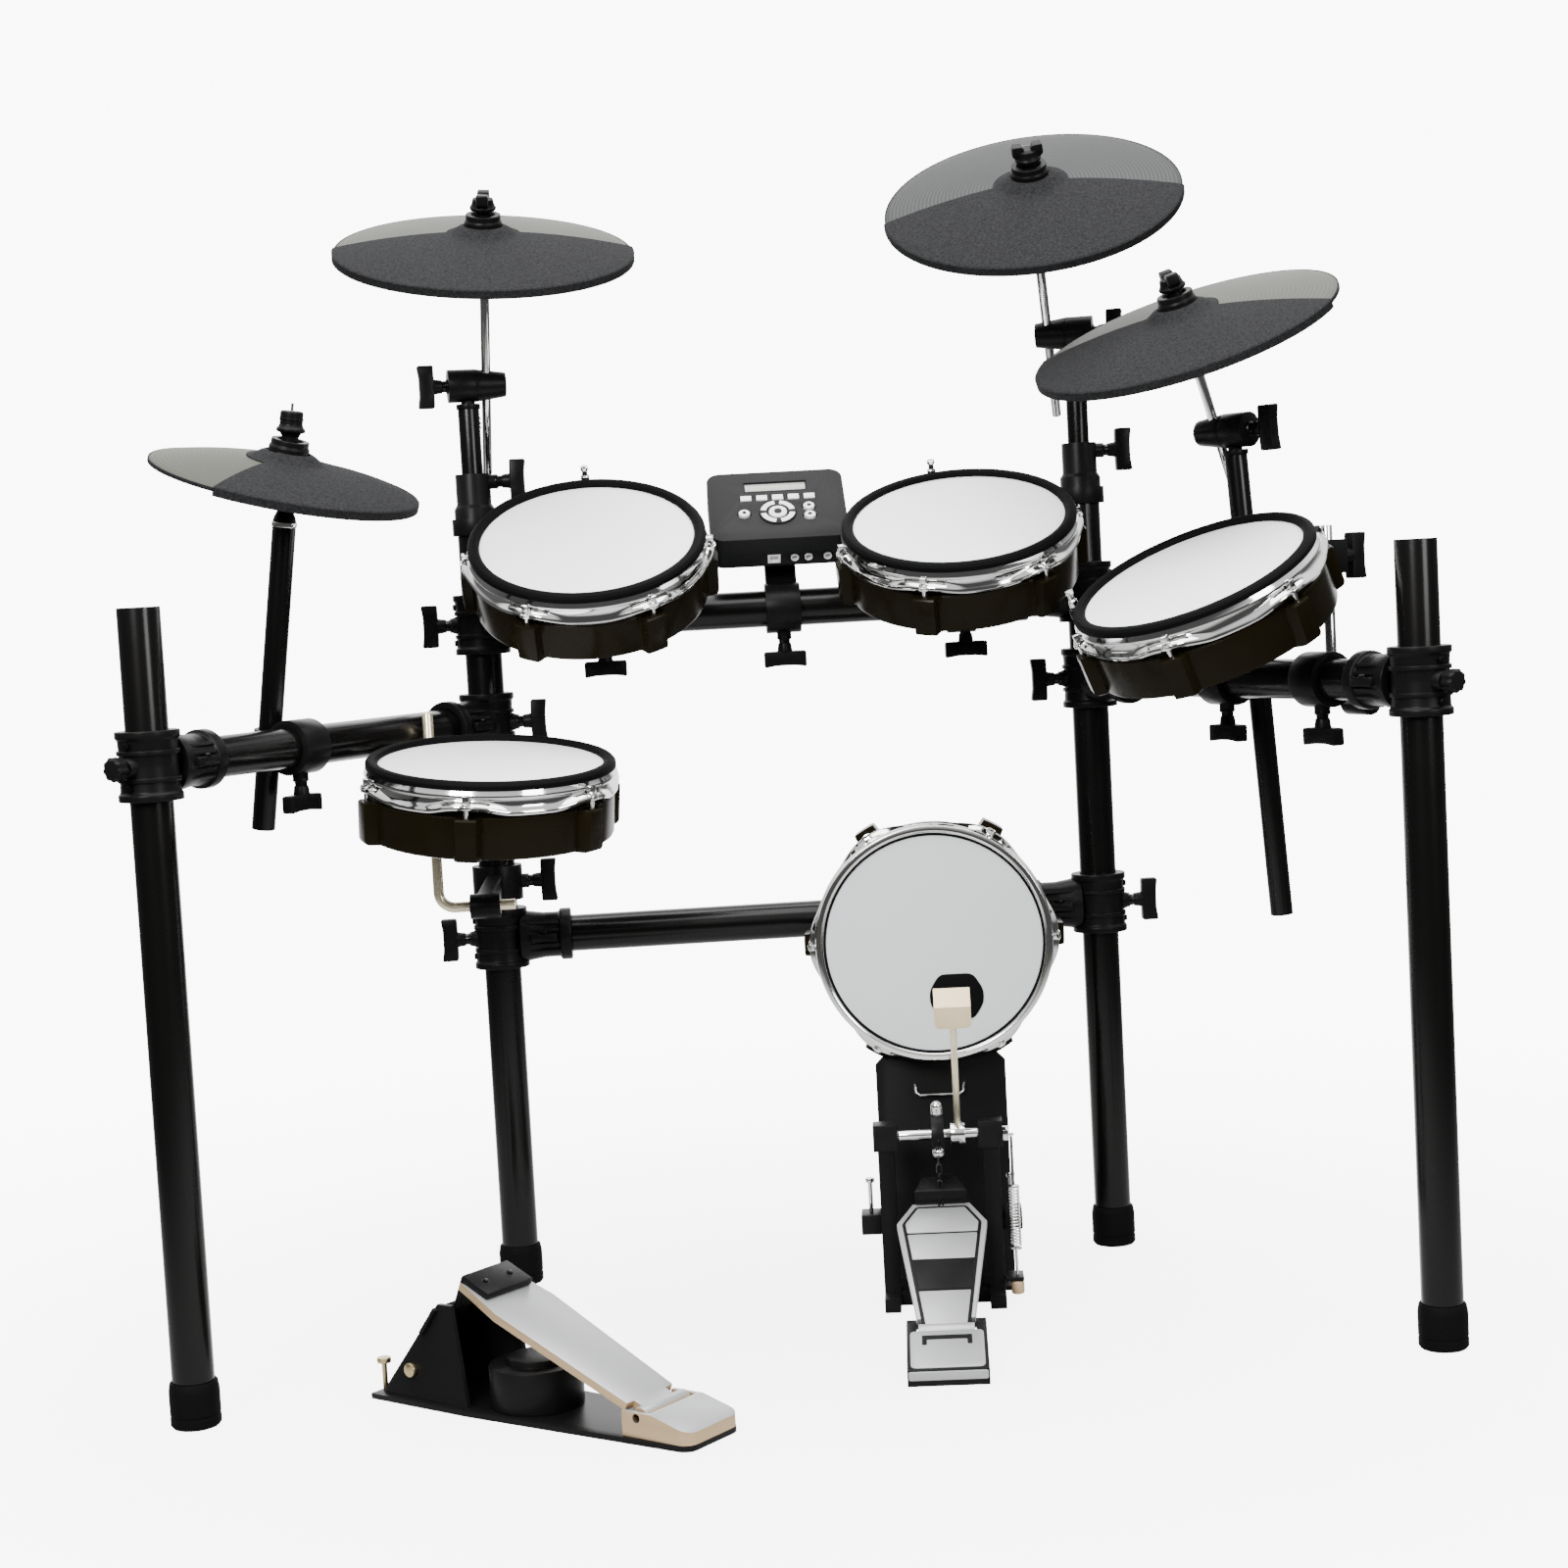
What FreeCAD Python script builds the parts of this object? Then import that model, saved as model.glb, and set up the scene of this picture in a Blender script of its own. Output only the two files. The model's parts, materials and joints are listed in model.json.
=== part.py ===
"""Electronic drum kit: a four-post tube rack with four drum pads, four cymbal pads, a sound
module, a kick pad on its own tower with a chain pedal, and a hi-hat pedal.

Millimetres and degrees. +Z is up, the drummer sits on the -Y side, and X runs to the drummer's
right. The origin is on the floor, under the middle of the whole kit.
"""
import FreeCAD, Part
import math
import os

Vector = FreeCAD.Vector
UP = Vector(0, 0, 1)
RIGHT = Vector(1, 0, 0)
BACK = Vector(0, 1, 0)

# General fits
overrun = 2.0
clamp_fit = 0.05
running_fit = 0.3
seat_fit = 0.15

# Rack layout: places are given from the floor point midway between the two rear posts
rack_x = 26.5
rack_y = 251.7
rear_post_half_span = 316.2
left_front_x = -588.5
left_front_y = -428.7
right_front_x = 539.2
right_front_y = -449.6
upper_bar_z = 696.0
lower_bar_z = 367.8
left_bar_z = 593.0
right_bar_z = 606.0
front_post_top = 732.0
rear_post_top = 815.0

# Rack tube, feet and caps
tube_r = 19.05
tube_wall = 1.6
foot_r = 22.6
foot_h = 41.0
foot_floor = 5.0
cap_h = 8.0

# Tee clamps
clamp_r = 26.5
clamp_h = 62.0
clamp_rim_r = 28.5
clamp_rim_h = 6.0
socket_r = 23.6
socket_reach = 74.0
socket_rim_r = 27.0
socket_rim_len = 12.0
bar_setback = 23.0
boss_r = 7.5
boss_reach = 31.0
clamp_seam_deg = 68.0

# Wing bolts
bolt_r = 4.0
bolt_stem = 13.0
wing_span = 44.0
wing_depth = 18.0
wing_thick = 13.0
wing_round = 4.0
knob_r = 11.0
knob_h = 12.0
knob_stem = 5.0

# Arm collars on the rear posts
collar_low = 788.0
collar_top = 851.0
collar_r = 24.0
collar_neck_r = 21.0
collar_head_r = 18.0
collar_ring_h = 17.0

# Thin tubes and boom tilters
thin_r = 11.1
thin_wall = 1.5
arm_tube_low = 690.0
left_tilter_z = 942.0
right_tilter_z = 965.0
ring_r = 12.4
ring_h = 5.0
neck_gap = 24.0
neck_r = 7.0
barrel_r = 17.0
barrel_half = 20.0
barrel_step = 7.3
eye_offset = 19.8
right_eye_offset = 27.0
eye_len = 32.0
eye_end_r = 12.5

# Boom rods, their studs and the nuts on top
rod_r = 4.8
rod_tail = 96.0
stud_r = 3.0
stud_below = 36.0
nut_ball_r = 8.6
nut_neck_r = 8.0
nut_neck_h = 8.0
nut_wing_w = 32.0
nut_wing_t = 13.0
nut_wing_h = 17.0
sleeve_r = 10.5
sleeve_h = 33.0
pin_r = 1.6
pin_h = 9.0

# Cymbal pads: crash and ride share one size, the hi-hat is smaller
crash_r = 152.4
hihat_r = 127.5
bow_t = 3.2
bow_rise = 17.0
bell_r = 38.0
bell_rise = 25.0
bell_flat_r = 20.0
cymbal_hole_r = 9.0
rubber_t = 2.2
rubber_lip = 2.0
rubber_skirt = 4.0
cup_r = 19.0
cup_h = 13.0
cup_pivot = 7.5
cup_mouth_share = 0.8
rock_room_deg = 9.0
hihat_room_deg = 29.0
sensor_box_r = 34.0
sensor_box_h = 28.0
sensor_bore_r = 21.0

# Where the cymbals stand: rim centre from the tilter along the rod, and how each leans
left_boom_reach = 137.0
right_boom_reach = 152.0
ride_boom_reach = 104.0
left_crash_tilt_deg = 21.8
left_crash_turn_deg = -80.5
right_crash_tilt_deg = 33.0
right_crash_turn_deg = -105.0
ride_tilt_deg = 23.9
ride_turn_deg = -139.0
hihat_tilt_deg = 17.8
hihat_turn_deg = -36.2
left_crash_rubber_deg = (-180.0, 8.0)
right_crash_rubber_deg = (-180.0, -12.0)
ride_rubber_deg = (-209.0, -34.0)
hihat_rubber_deg = (-113.0, 35.0)

# Hi-hat stand tube on the left side bar, ride tube on the right side bar
hihat_clamp_along = 305.0
hihat_tube_off = 36.0
hihat_tube_low = 515.0
hihat_tube_top = 800.0
hihat_lean_deg = 10.0
hihat_cone_h = 17.0
hihat_seat_z = 875.0
ride_clamp_along = 228.0
ride_tube_off = 40.0
ride_tube_low = 367.0
ride_tilter_z = 847.0
ride_lean_deg = 4.35

# Drum pads: one size for the snare, both toms and the floor tom
head_r = 113.4
head_t = 2.0
rim_in_r = 106.5
rim_out_r = 117.6
rim_h = 6.0
hoop_in_r = 113.6
hoop_out_r = 117.4
hoop_h = 27.0
hoop_flange_r = 122.5
hoop_flange_h = 3.0
shell_r = 117.0
shell_foot_r = 115.0
shell_lip_r = 113.0
shell_lip_low = 28.0
shell_depth = 68.0
shell_wall = 4.0
lug_count = 6
lug_r = 9.0
lug_circle_r = 118.0
lug_bolt_circle_r = 122.0
lug_bolt_r = 2.6
lug_bolt_low = 46.0
lug_bolt_top = 15.0
lug_head_r = 4.4
lug_head_h = 8.0
ear_r = 8.0
ear_h = 5.0
ear_top = 15.0
sensor_r = 24.0
foam_r = 14.0
foam_top_r = 7.0
sensor_plate_t = 3.0

# Pad places, leans and the angle of the first lug
snare_x = -300.0
snare_y = -258.0
snare_z = 567.5
snare_tilt_deg = 8.6
snare_turn_deg = -65.6
snare_lug_deg = -98.0
left_tom_inset = 116.5
left_tom_y = -131.5
left_tom_z = 775.0
left_tom_tilt_deg = 30.7
left_tom_turn_deg = -92.7
left_tom_lug_deg = -60.0
right_tom_reach = 104.5
right_tom_y = -110.0
right_tom_z = 776.0
right_tom_tilt_deg = 25.3
right_tom_turn_deg = -100.4
right_tom_lug_deg = -114.0
floor_tom_x = 363.0
floor_tom_y = -334.0
floor_tom_z = 709.8
floor_tom_tilt_deg = 25.7
floor_tom_turn_deg = -146.6
floor_tom_lug_deg = -117.0

# Pad mounts: bent rods, their clamps on the rack and the brackets on the shells
pad_rod_r = 5.25
pad_rod_bend = 16.0
pad_clamp_r = 26.0
pad_clamp_len = 34.0
knuckle_r = 12.5
knuckle_len = 30.0
knuckle_arm_t = 15.0
leg_len = 39.0
leg_drop = 24.0
tom_leg_back = 34.0
floor_leg_back = 47.0
rod_above = 14.0
left_bracket_shift = -29.0
right_bracket_shift = -24.0
floor_bracket_shift = 9.0
bracket_depth_share = 0.66
bracket_back = 12.0
bracket_w = 30.0
bracket_h = 32.0
snare_leg_z = 417.0
snare_clamp_z = 426.0
snare_clamp_len = 36.0
snare_bracket_deg = 118.0
snare_bracket_reach = 22.0
snare_knuckle_x = -322.0
snare_rod_above = 56.0

# Sound module
module_x = -2.5
module_near_y = -40.0
module_near_z = 768.0
module_tilt_deg = 39.0
module_w = 143.0
module_d = 114.0
module_t = 36.0
module_top_t = 17.0
module_round = 14.0
module_wall = 2.6
display_w = 66.0
display_d = 17.0
display_y = 88.0
display_sink = 1.4
key_w = 13.0
key_d = 8.0
key_pitch = 16.6
key_y = 69.0
key_x = 1.5
nav_y = 43.0
nav_r = 19.0
nav_centre_r = 9.4
round_key_r = 7.0
click_key_x = -35.0
step_key_x = 33.0
plus_key_y = 51.0
minus_key_y = 36.0
key_stand = 2.2
key_depth = 8.0
key_fit = 0.3
board_margin = 7.0
board_t = 1.6
board_below = 12.0
board_post_r = 3.0
jack_r = 4.2
jack_wall = 1.4
jack_len = 14.0
jack_drop = 27.0
jack_x_shares = (0.10, 0.20, 0.34)
usb_w = 13.0
usb_h = 11.0
usb_x_share = -0.05
module_post_w = 32.0
module_post_t = 18.0
module_pin_r = 5.0
module_ear_t = 6.0
module_pivot_drop = 13.0
module_pivot_y = 48.0
module_knuckle_r = 9.0
module_clamp_len = 36.0

# Kick pad and its tower: the pad faces the drummer, u runs to the right and v towards the drummer
kick_x = 123.6
kick_y = -150.0
kick_z = 355.0
kick_yaw_deg = 5.8
patch_u = 20.0
patch_drop = 55.0
patch_w = 54.0
patch_h = 46.0
patch_t = 1.2
tower_w = 132.0
tower_h = 241.0
tower_chamfer = 13.0
tower_t = 6.0
tower_back = 34.0
tower_base_t = 5.0
tower_base_len = 250.0
tower_base_front = 8.0
brace_t = 5.0
brace_h = 190.0
brace_len = 150.0
brace_inset = 10.0
saddle_h = 18.0

# Kick pedal
pedal_u = -6.0
axle_v = 38.0
axle_z = 169.0
axle_r = 5.5
bearing_w = 24.0
bearing_h = 26.0
bearing_d = 24.0
upright_gap = 104.0
upright_w = 16.0
upright_d = 20.0
pedal_foot_v = 74.0
pedal_foot_h = 14.0
pedal_plate_w = 58.0
pedal_plate_t = 4.0
heel_v = 238.0
heel_len = 80.0
heel_w = 74.0
heel_h = 30.0
heel_nose = 16.0
hinge_z = 26.0
hinge_r = 4.0
board_toe_v = 62.0
board_toe_z = 102.0
board_toe_w = 56.0
board_wide_w = 88.0
board_heel_w = 54.0
board_plate_t = 7.0
board_wide_share = 0.16
toe_block_w = 48.0
toe_block_len = 22.0
toe_block_h = 17.0
toe_gap = 12.0
cam_r = 26.0
cam_w = 12.0
hub_w = 14.0
hub_r = 12.0
beater_u = 14.0
beater_rod_r = 3.2
beater_reach = 172.0
beater_tilt_deg = 36.0
beater_w = 35.0
beater_h = 33.0
beater_t = 38.0
beater_round = 5.0
chain_w = 7.0
chain_t = 4.5
chain_link = 9.0
side_clamp_w = 20.0
side_clamp_h = 20.0
side_clamp_z = 80.0
side_screw_r = 2.2
side_screw_h = 30.0
side_screw_head_r = 4.5

# Pedal return spring at the right upright
spring_u = 66.0
spring_low = 58.0
spring_turns = 18
spring_pitch = 3.1
spring_r = 5.0
spring_wire_r = 0.9
crank_r = 5.0
crank_reach = 14.0
spring_knob_r = 6.5
spring_knob_h = 13.0
spring_anchor_z = 26.0
spring_hook_r = 1.4
crank_w = 5.0
anchor_t = 4.0
seat_t = 2.5
quarter_turns = 4
gap_samples = 48

# Hi-hat pedal: s runs from the back tip to the heel and w across it
hat_pedal_x = -433.0
hat_pedal_y = -380.0
hat_pedal_turn_deg = -39.7
hat_len = 362.0
hat_end_round = 12.0
hat_w = 100.0
hat_heel_w = 72.0
hat_mid_w = 44.0
hat_wide_s = 120.0
hat_cover_share = 0.72
hat_base_t = 5.0
hat_cheek_t = 5.0
hat_cheek_top = 96.0
hat_cheek_back = 12.0
hat_cheek_top_s = 84.0
hat_cheek_front_s = 114.0
hat_drum_s = 160.0
hat_drum_r = 42.0
hat_drum_h = 38.0
hat_plunger_r = 26.0
hat_plunger_h = 6.0
hat_hinge_s = 305.0
hat_hinge_z = 22.0
hat_heel_h = 27.0
hat_heel_end_h = 16.0
hat_toe_s = 100.0
hat_toe_z = 112.0
hat_toe_w = 60.0
hat_wide_w = 76.0
hat_board_heel_w = 62.0
hat_board_t = 8.0
hat_cap_len = 34.0
hat_cap_t = 7.0
hat_wide_share = 0.24
hat_screw_r = 2.4
hat_screw_h = 26.0
hat_bolt_r = 6.5
hat_bolt_s = 48.0
hat_bolt_z = 32.0


def unit(v):
    return v * (1.0 / v.Length)


def at(x, y, z):
    """A point given from the floor point midway between the rear posts"""
    return Vector(rack_x + x, rack_y + y, z)


def level(turn_deg):
    """The level direction turned from +X by an angle"""
    turn = math.radians(turn_deg)
    return Vector(math.cos(turn), math.sin(turn), 0)


def lean(tilt_deg, turn_deg):
    """The vertical leaned over by a tilt, towards a level direction"""
    tilt = math.radians(tilt_deg)
    return level(turn_deg) * math.sin(tilt) + UP * math.cos(tilt)


def flat_of(v):
    return unit(Vector(v.x, v.y, 0))


class Frame:
    """A piece's own right-handed frame: an origin and three directions"""

    def __init__(self, origin, z_dir, x_hint=RIGHT):
        self.origin = origin
        self.z = unit(z_dir)
        self.x = unit(x_hint - self.z * x_hint.dot(self.z))
        self.y = self.z.cross(self.x)

    def point(self, x, y, z):
        return self.origin + self.x * x + self.y * y + self.z * z

    def place(self, shape):
        """The shape, drawn at the origin, moved into this frame"""
        a, b, c, o = self.x, self.y, self.z, self.origin
        rows = (a.x, b.x, c.x, o.x, a.y, b.y, c.y, o.y, a.z, b.z, c.z, o.z, 0, 0, 0, 1)
        moved = shape.copy()
        moved.Placement = FreeCAD.Placement(FreeCAD.Matrix(*rows)).multiply(shape.Placement)
        return moved


def rod(start, end, radius):
    return Part.makeCylinder(radius, (end - start).Length, start, end - start)


def pipe(start, end, radius, wall):
    along = unit(end - start)
    bore = rod(start - along * overrun, end + along * overrun, radius - wall)
    return rod(start, end, radius).cut(bore)


def cone(start, end, start_r, end_r):
    return Part.makeCone(start_r, end_r, (end - start).Length, start, end - start)


def block(x0, x1, y0, y1, z0, z1):
    return Part.makeBox(x1 - x0, y1 - y0, z1 - z0, Vector(x0, y0, z0))


def prism(points, along):
    """A flat outline swept straight along a vector"""
    return Part.Face(Part.makePolygon(points + points[:1])).extrude(along)


def lathe(profile, angle=360.0):
    """A solid turned about Z from (radius, height) points"""
    points = [Vector(r, 0, z) for r, z in profile]
    face = Part.Face(Part.makePolygon(points + points[:1]))
    return face.revolve(Vector(0, 0, 0), UP, angle)


def rounded_slab(w, d, t, corner):
    """A slab on the XY plane, centred, with its four upright edges rounded"""
    slab = block(-w / 2, w / 2, -d / 2, d / 2, 0, t)
    upright = [e for e in slab.Edges if abs(e.tangentAt(e.FirstParameter).z) > 0.99]
    return slab.makeFillet(corner, upright)


def fuse(shapes):
    return shapes[0].multiFuse(shapes[1:]).removeSplitter() if len(shapes) > 1 else shapes[0]


def spun(shape, count, first_deg):
    """Copies of a shape turned evenly about Z"""
    copies = []
    for i in range(count):
        copy = shape.copy()
        copy.rotate(Vector(0, 0, 0), UP, first_deg + 360.0 * i / count)
        copies.append(copy)
    return copies


nodes = {}
pivots = {}


def add(name, *solids):
    nodes.setdefault(name, []).extend(solids)


# Rack posts, bars and feet
left_rear = at(-rear_post_half_span, 0, 0)
right_rear = at(rear_post_half_span, 0, 0)
left_front = at(left_front_x, left_front_y, 0)
right_front = at(right_front_x, right_front_y, 0)
left_bar_dir = flat_of(left_front - left_rear)
right_bar_dir = flat_of(right_front - right_rear)
left_outward = Vector(left_bar_dir.y, -left_bar_dir.x, 0)
right_outward = Vector(-right_bar_dir.y, right_bar_dir.x, 0)


def post(foot_point, top):
    return pipe(foot_point + UP * foot_floor, foot_point + UP * top, tube_r, tube_wall)


def post_cap(foot_point, top):
    """A plug that closes the top of a front post"""
    return rod(foot_point + UP * (top - cap_h), foot_point + UP * top, tube_r - tube_wall - clamp_fit)


def foot(foot_point):
    sock = rod(foot_point + UP * foot_floor, foot_point + UP * (foot_h + overrun), tube_r + clamp_fit)
    return rod(foot_point, foot_point + UP * foot_h, foot_r).cut(sock)


def bar(post_a, post_b, z):
    along = flat_of(post_b - post_a)
    start = post_a + along * bar_setback + UP * z
    end = post_b - along * bar_setback + UP * z
    return pipe(start, end, tube_r, tube_wall)


def wing_bolt(start, along, across):
    """A threaded stem with a moulded tee handle on its end"""
    stem = rod(start, start + along * bolt_stem, bolt_r)
    frame = Frame(start + along * bolt_stem, along, across)
    half = wing_span / 2
    handle = block(-half, half, -wing_thick / 2, wing_thick / 2, 0, wing_depth)
    ends = [e for e in handle.Edges if abs(e.tangentAt(e.FirstParameter).y) > 0.99]
    handle = handle.makeFillet(wing_round, ends)
    return fuse([stem, frame.place(handle)])


def knob_bolt(start, along):
    """A short threaded stem with a round knob on its end"""
    seat = start + along * knob_stem
    return fuse([rod(start, seat, bolt_r), rod(seat, seat + along * knob_h, knob_r)])


def tee_clamp(post_point, z, bar_dir, post_fit, bolt_dir, has_knob=False):
    """A sleeve on a post with a socket for a bar's end, and its wing or knob bolt"""
    centre = post_point + UP * z
    low, high = -clamp_h / 2, clamp_h / 2
    sleeve = lathe([(0, low), (clamp_rim_r, low), (clamp_rim_r, low + clamp_rim_h),
                    (clamp_r, low + clamp_rim_h), (clamp_r, high - clamp_rim_h),
                    (clamp_rim_r, high - clamp_rim_h), (clamp_rim_r, high), (0, high)])
    quiet_side = level(clamp_seam_deg)
    sleeve = Frame(centre, UP, quiet_side).place(sleeve)
    mouth = centre + bar_dir * socket_reach
    socket = rod(centre, mouth, socket_r)
    rim = rod(mouth - bar_dir * socket_rim_len, mouth, socket_rim_r)
    boss = rod(centre, centre + bolt_dir * boss_reach, boss_r)
    body = fuse([sleeve, socket, rim, boss])
    post_bore = Frame(centre - UP * clamp_h, UP, quiet_side).place(
        Part.makeCylinder(tube_r + post_fit, clamp_h * 2))
    bar_bore = rod(centre + bar_dir * bar_setback, mouth + bar_dir * overrun, tube_r + clamp_fit)
    body = body.cut([post_bore, bar_bore])
    seat = centre + bolt_dir * boss_reach
    bolt = knob_bolt(seat, bolt_dir) if has_knob else wing_bolt(seat, bolt_dir, UP)
    return body, bolt


add("rear_posts", post(left_rear, rear_post_top), post(right_rear, rear_post_top))
add("rear_feet", foot(left_rear), foot(right_rear))
add("cross_bars", bar(left_rear, right_rear, upper_bar_z), bar(left_rear, right_rear, lower_bar_z))
add("rack_clamps", *tee_clamp(left_rear, upper_bar_z, RIGHT, clamp_fit, -RIGHT))
add("rack_clamps", *tee_clamp(left_rear, lower_bar_z, RIGHT, clamp_fit, -RIGHT))
add("rack_clamps", *tee_clamp(right_rear, upper_bar_z, -RIGHT, clamp_fit, BACK))
add("rack_clamps", *tee_clamp(right_rear, lower_bar_z, -RIGHT, clamp_fit, RIGHT))

add("left_wing_tubes", post(left_front, front_post_top), bar(left_rear, left_front, left_bar_z),
    post_cap(left_front, front_post_top))
add("left_wing_fittings", foot(left_front))
add("left_wing_fittings", *tee_clamp(left_rear, left_bar_z, left_bar_dir, running_fit, RIGHT))
add("left_wing_fittings",
    *tee_clamp(left_front, left_bar_z, -left_bar_dir, clamp_fit, left_bar_dir, True))
add("right_wing_tubes", post(right_front, front_post_top),
    bar(right_rear, right_front, right_bar_z), post_cap(right_front, front_post_top))
add("right_wing_fittings", foot(right_front))
add("right_wing_fittings", *tee_clamp(right_rear, right_bar_z, right_bar_dir, running_fit, -RIGHT))
add("right_wing_fittings",
    *tee_clamp(right_front, right_bar_z, -right_bar_dir, clamp_fit, right_bar_dir, True))


# Cymbal arms: collars on the rear posts, sliding thin tubes and their tilters
def arm_collar(post_point, bolt_dir):
    """The stepped collar that closes a rear post and guides a thin tube, with its wing bolt"""
    profile = [(0, collar_low), (collar_r, collar_low), (collar_r, collar_low + collar_ring_h),
               (collar_neck_r, collar_low + collar_ring_h),
               (collar_neck_r, rear_post_top), (collar_head_r, rear_post_top + ring_h),
               (collar_head_r, collar_top), (0, collar_top)]
    body = lathe(profile)
    body.translate(Vector(post_point.x, post_point.y, 0))
    grip = post_point + UP * (collar_top - collar_ring_h / 2)
    body = fuse([body, rod(grip, grip + bolt_dir * collar_r, boss_r)])
    post_bore = rod(post_point, post_point + UP * rear_post_top, tube_r + clamp_fit)
    tube_bore = rod(post_point, post_point + UP * (collar_top + overrun), thin_r + seat_fit)
    bolt = wing_bolt(grip + bolt_dir * collar_r, bolt_dir, UP)
    return body.cut(post_bore).cut(tube_bore), bolt


def tilter_frame(tube_top, side, rod_dir, offset):
    """The tilter's frame at the rod's eye: x along the barrel from the tube, z along the rod"""
    axis = unit(Vector(-rod_dir.y, rod_dir.x, 0)) * side
    return Frame(tube_top + axis * offset, rod_dir, axis)


def tilter(tube_top, tube_dir, frame):
    """The barrel on a thin tube's end, with the wing bolt through it"""
    axis = frame.x
    ring_top = tube_top - tube_dir * (neck_gap - ring_h)
    ring = rod(tube_top - tube_dir * neck_gap, ring_top, ring_r)
    neck = rod(ring_top, tube_top, neck_r)
    barrel = rod(tube_top - axis * barrel_half, tube_top + axis * barrel_step, barrel_r)
    bolt = wing_bolt(tube_top - axis * barrel_half, -axis, tube_dir)
    return fuse([ring, neck, barrel]), bolt


def boom_eye(frame, offset):
    """The turning half of the tilter, with the bored eye that grips the rod"""
    start = frame.point(barrel_step + running_fit - offset, 0, 0)
    end = start + frame.x * eye_len
    body = cone(start, end, barrel_r, eye_end_r)
    bore = rod(frame.point(0, 0, -barrel_r * 2), frame.point(0, 0, barrel_r * 2), rod_r + clamp_fit)
    return body.cut(bore)


def boom_rod(frame, pivot):
    """The straight rod, thinned to a stud where it passes through the cymbal"""
    shoulder = pivot - frame.z * stud_below
    thick = rod(frame.point(0, 0, -rod_tail), shoulder, rod_r)
    return fuse([thick, rod(shoulder, pivot, stud_r)])


def wing_nut(frame):
    """The nut on the stud: a ball that seats in the cymbal's cup, a neck and two wings"""
    ball = Part.makeSphere(nut_ball_r)
    neck = Part.makeCylinder(nut_neck_r, nut_neck_h + nut_ball_r)
    base = nut_ball_r + nut_neck_h
    half = nut_wing_w / 2
    wings = prism([Vector(-nut_neck_r, -nut_wing_t / 2, base), Vector(nut_neck_r, -nut_wing_t / 2, base),
                   Vector(half, -nut_wing_t / 2, base + nut_wing_h),
                   Vector(-half, -nut_wing_t / 2, base + nut_wing_h)], Vector(0, nut_wing_t, 0))
    bore = Part.makeCylinder(stud_r + clamp_fit, nut_ball_r * 2, Vector(0, 0, -nut_ball_r * 2))
    return frame.place(fuse([ball, neck, wings]).cut(bore))


def cymbal(rim_r, rim_frame, rubber_deg, tilt_room_deg):
    """A cymbal pad: moulded bow, rubber playing zone over part of it, and the bell's rocker cup"""
    bow_r = rim_r - rubber_lip
    bow = lathe([(bow_r, 0), (bow_r, bow_t), (bell_r, bow_rise + bow_t),
                 (bell_flat_r, bell_rise + bow_t), (cymbal_hole_r, bell_rise + bow_t),
                 (cymbal_hole_r, bell_rise), (bell_flat_r, bell_rise), (bell_r, bow_rise)])
    start, end = rubber_deg
    skin = lathe([(bow_r, -rubber_skirt), (rim_r, -rubber_skirt), (rim_r, bow_t + rubber_t),
                  (bell_r, bow_rise + bow_t + rubber_t), (bell_flat_r, bell_rise + bow_t + rubber_t),
                  (bell_flat_r, bell_rise + bow_t), (bell_r, bow_rise + bow_t), (bow_r, bow_t)],
                 end - start)
    skin.rotate(Vector(0, 0, 0), UP, start)
    base = bell_rise + bow_t
    mouth = math.tan(math.radians(tilt_room_deg)) * cup_h + nut_neck_r + running_fit
    cup_top_r = cup_r * cup_mouth_share + mouth / 4
    cup = lathe([(0, base), (cup_r, base), (cup_top_r, base + cup_h), (0, base + cup_h)])
    pivot = Vector(0, 0, base + cup_pivot)
    ball = Part.makeSphere(nut_ball_r + running_fit, pivot)
    opening = Part.makeCone(nut_neck_r, mouth, cup_h, pivot)
    drain = Part.makeCylinder(cymbal_hole_r * cup_mouth_share, cup_h, Vector(0, 0, base - overrun))
    cup = cup.cut(ball).cut(opening).cut(drain)
    return [rim_frame.place(piece) for piece in (bow, skin, cup)], rim_frame.point(0, 0, pivot.z)


pivot_height = bell_rise + bow_t + cup_pivot


def add_boom(name, cymbal_name, tube_top, tube_dir, side, offset, reach, rod_dir, rubber_deg):
    """A tilter on a tube, its rod, and the cymbal pad that rocks on top"""
    frame = tilter_frame(tube_top, side, rod_dir, offset)
    rim = Frame(frame.point(0, 0, reach), rod_dir)
    solids, pivot = cymbal(crash_r, rim, rubber_deg, rock_room_deg)
    add(cymbal_name, *solids)
    add(name, boom_rod(frame, pivot - frame.z * nut_ball_r), boom_eye(frame, offset),
        wing_nut(Frame(pivot, rod_dir, frame.x)))
    pivots[name] = (frame.origin, frame.x * side)
    pivots[cymbal_name] = (pivot, rim.x)
    return tilter(tube_top, tube_dir, frame)


def add_arm(side_name, post_point, tilter_z, side, offset, reach, rod_dir, rubber_deg):
    """A rear post's collar, the thin tube that slides in it and the boom on top"""
    tube_top = post_point + UP * tilter_z
    add("rack_clamps", *arm_collar(post_point, RIGHT))
    tube = pipe(post_point + UP * arm_tube_low, tube_top - UP * neck_gap, thin_r, thin_wall)
    boom = add_boom(side_name + "_boom", side_name + "_crash", tube_top, UP, side, offset, reach,
                    rod_dir, rubber_deg)
    add(side_name + "_arm", tube, *boom)


add_arm("left", left_rear, left_tilter_z, 1, eye_offset, left_boom_reach,
        lean(left_crash_tilt_deg, left_crash_turn_deg), left_crash_rubber_deg)
add_arm("right", right_rear, right_tilter_z, -1, right_eye_offset, right_boom_reach,
        lean(right_crash_tilt_deg, right_crash_turn_deg), right_crash_rubber_deg)


def bar_point(post_point, along_dir, along, z):
    return post_point + along_dir * along + UP * z


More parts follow.
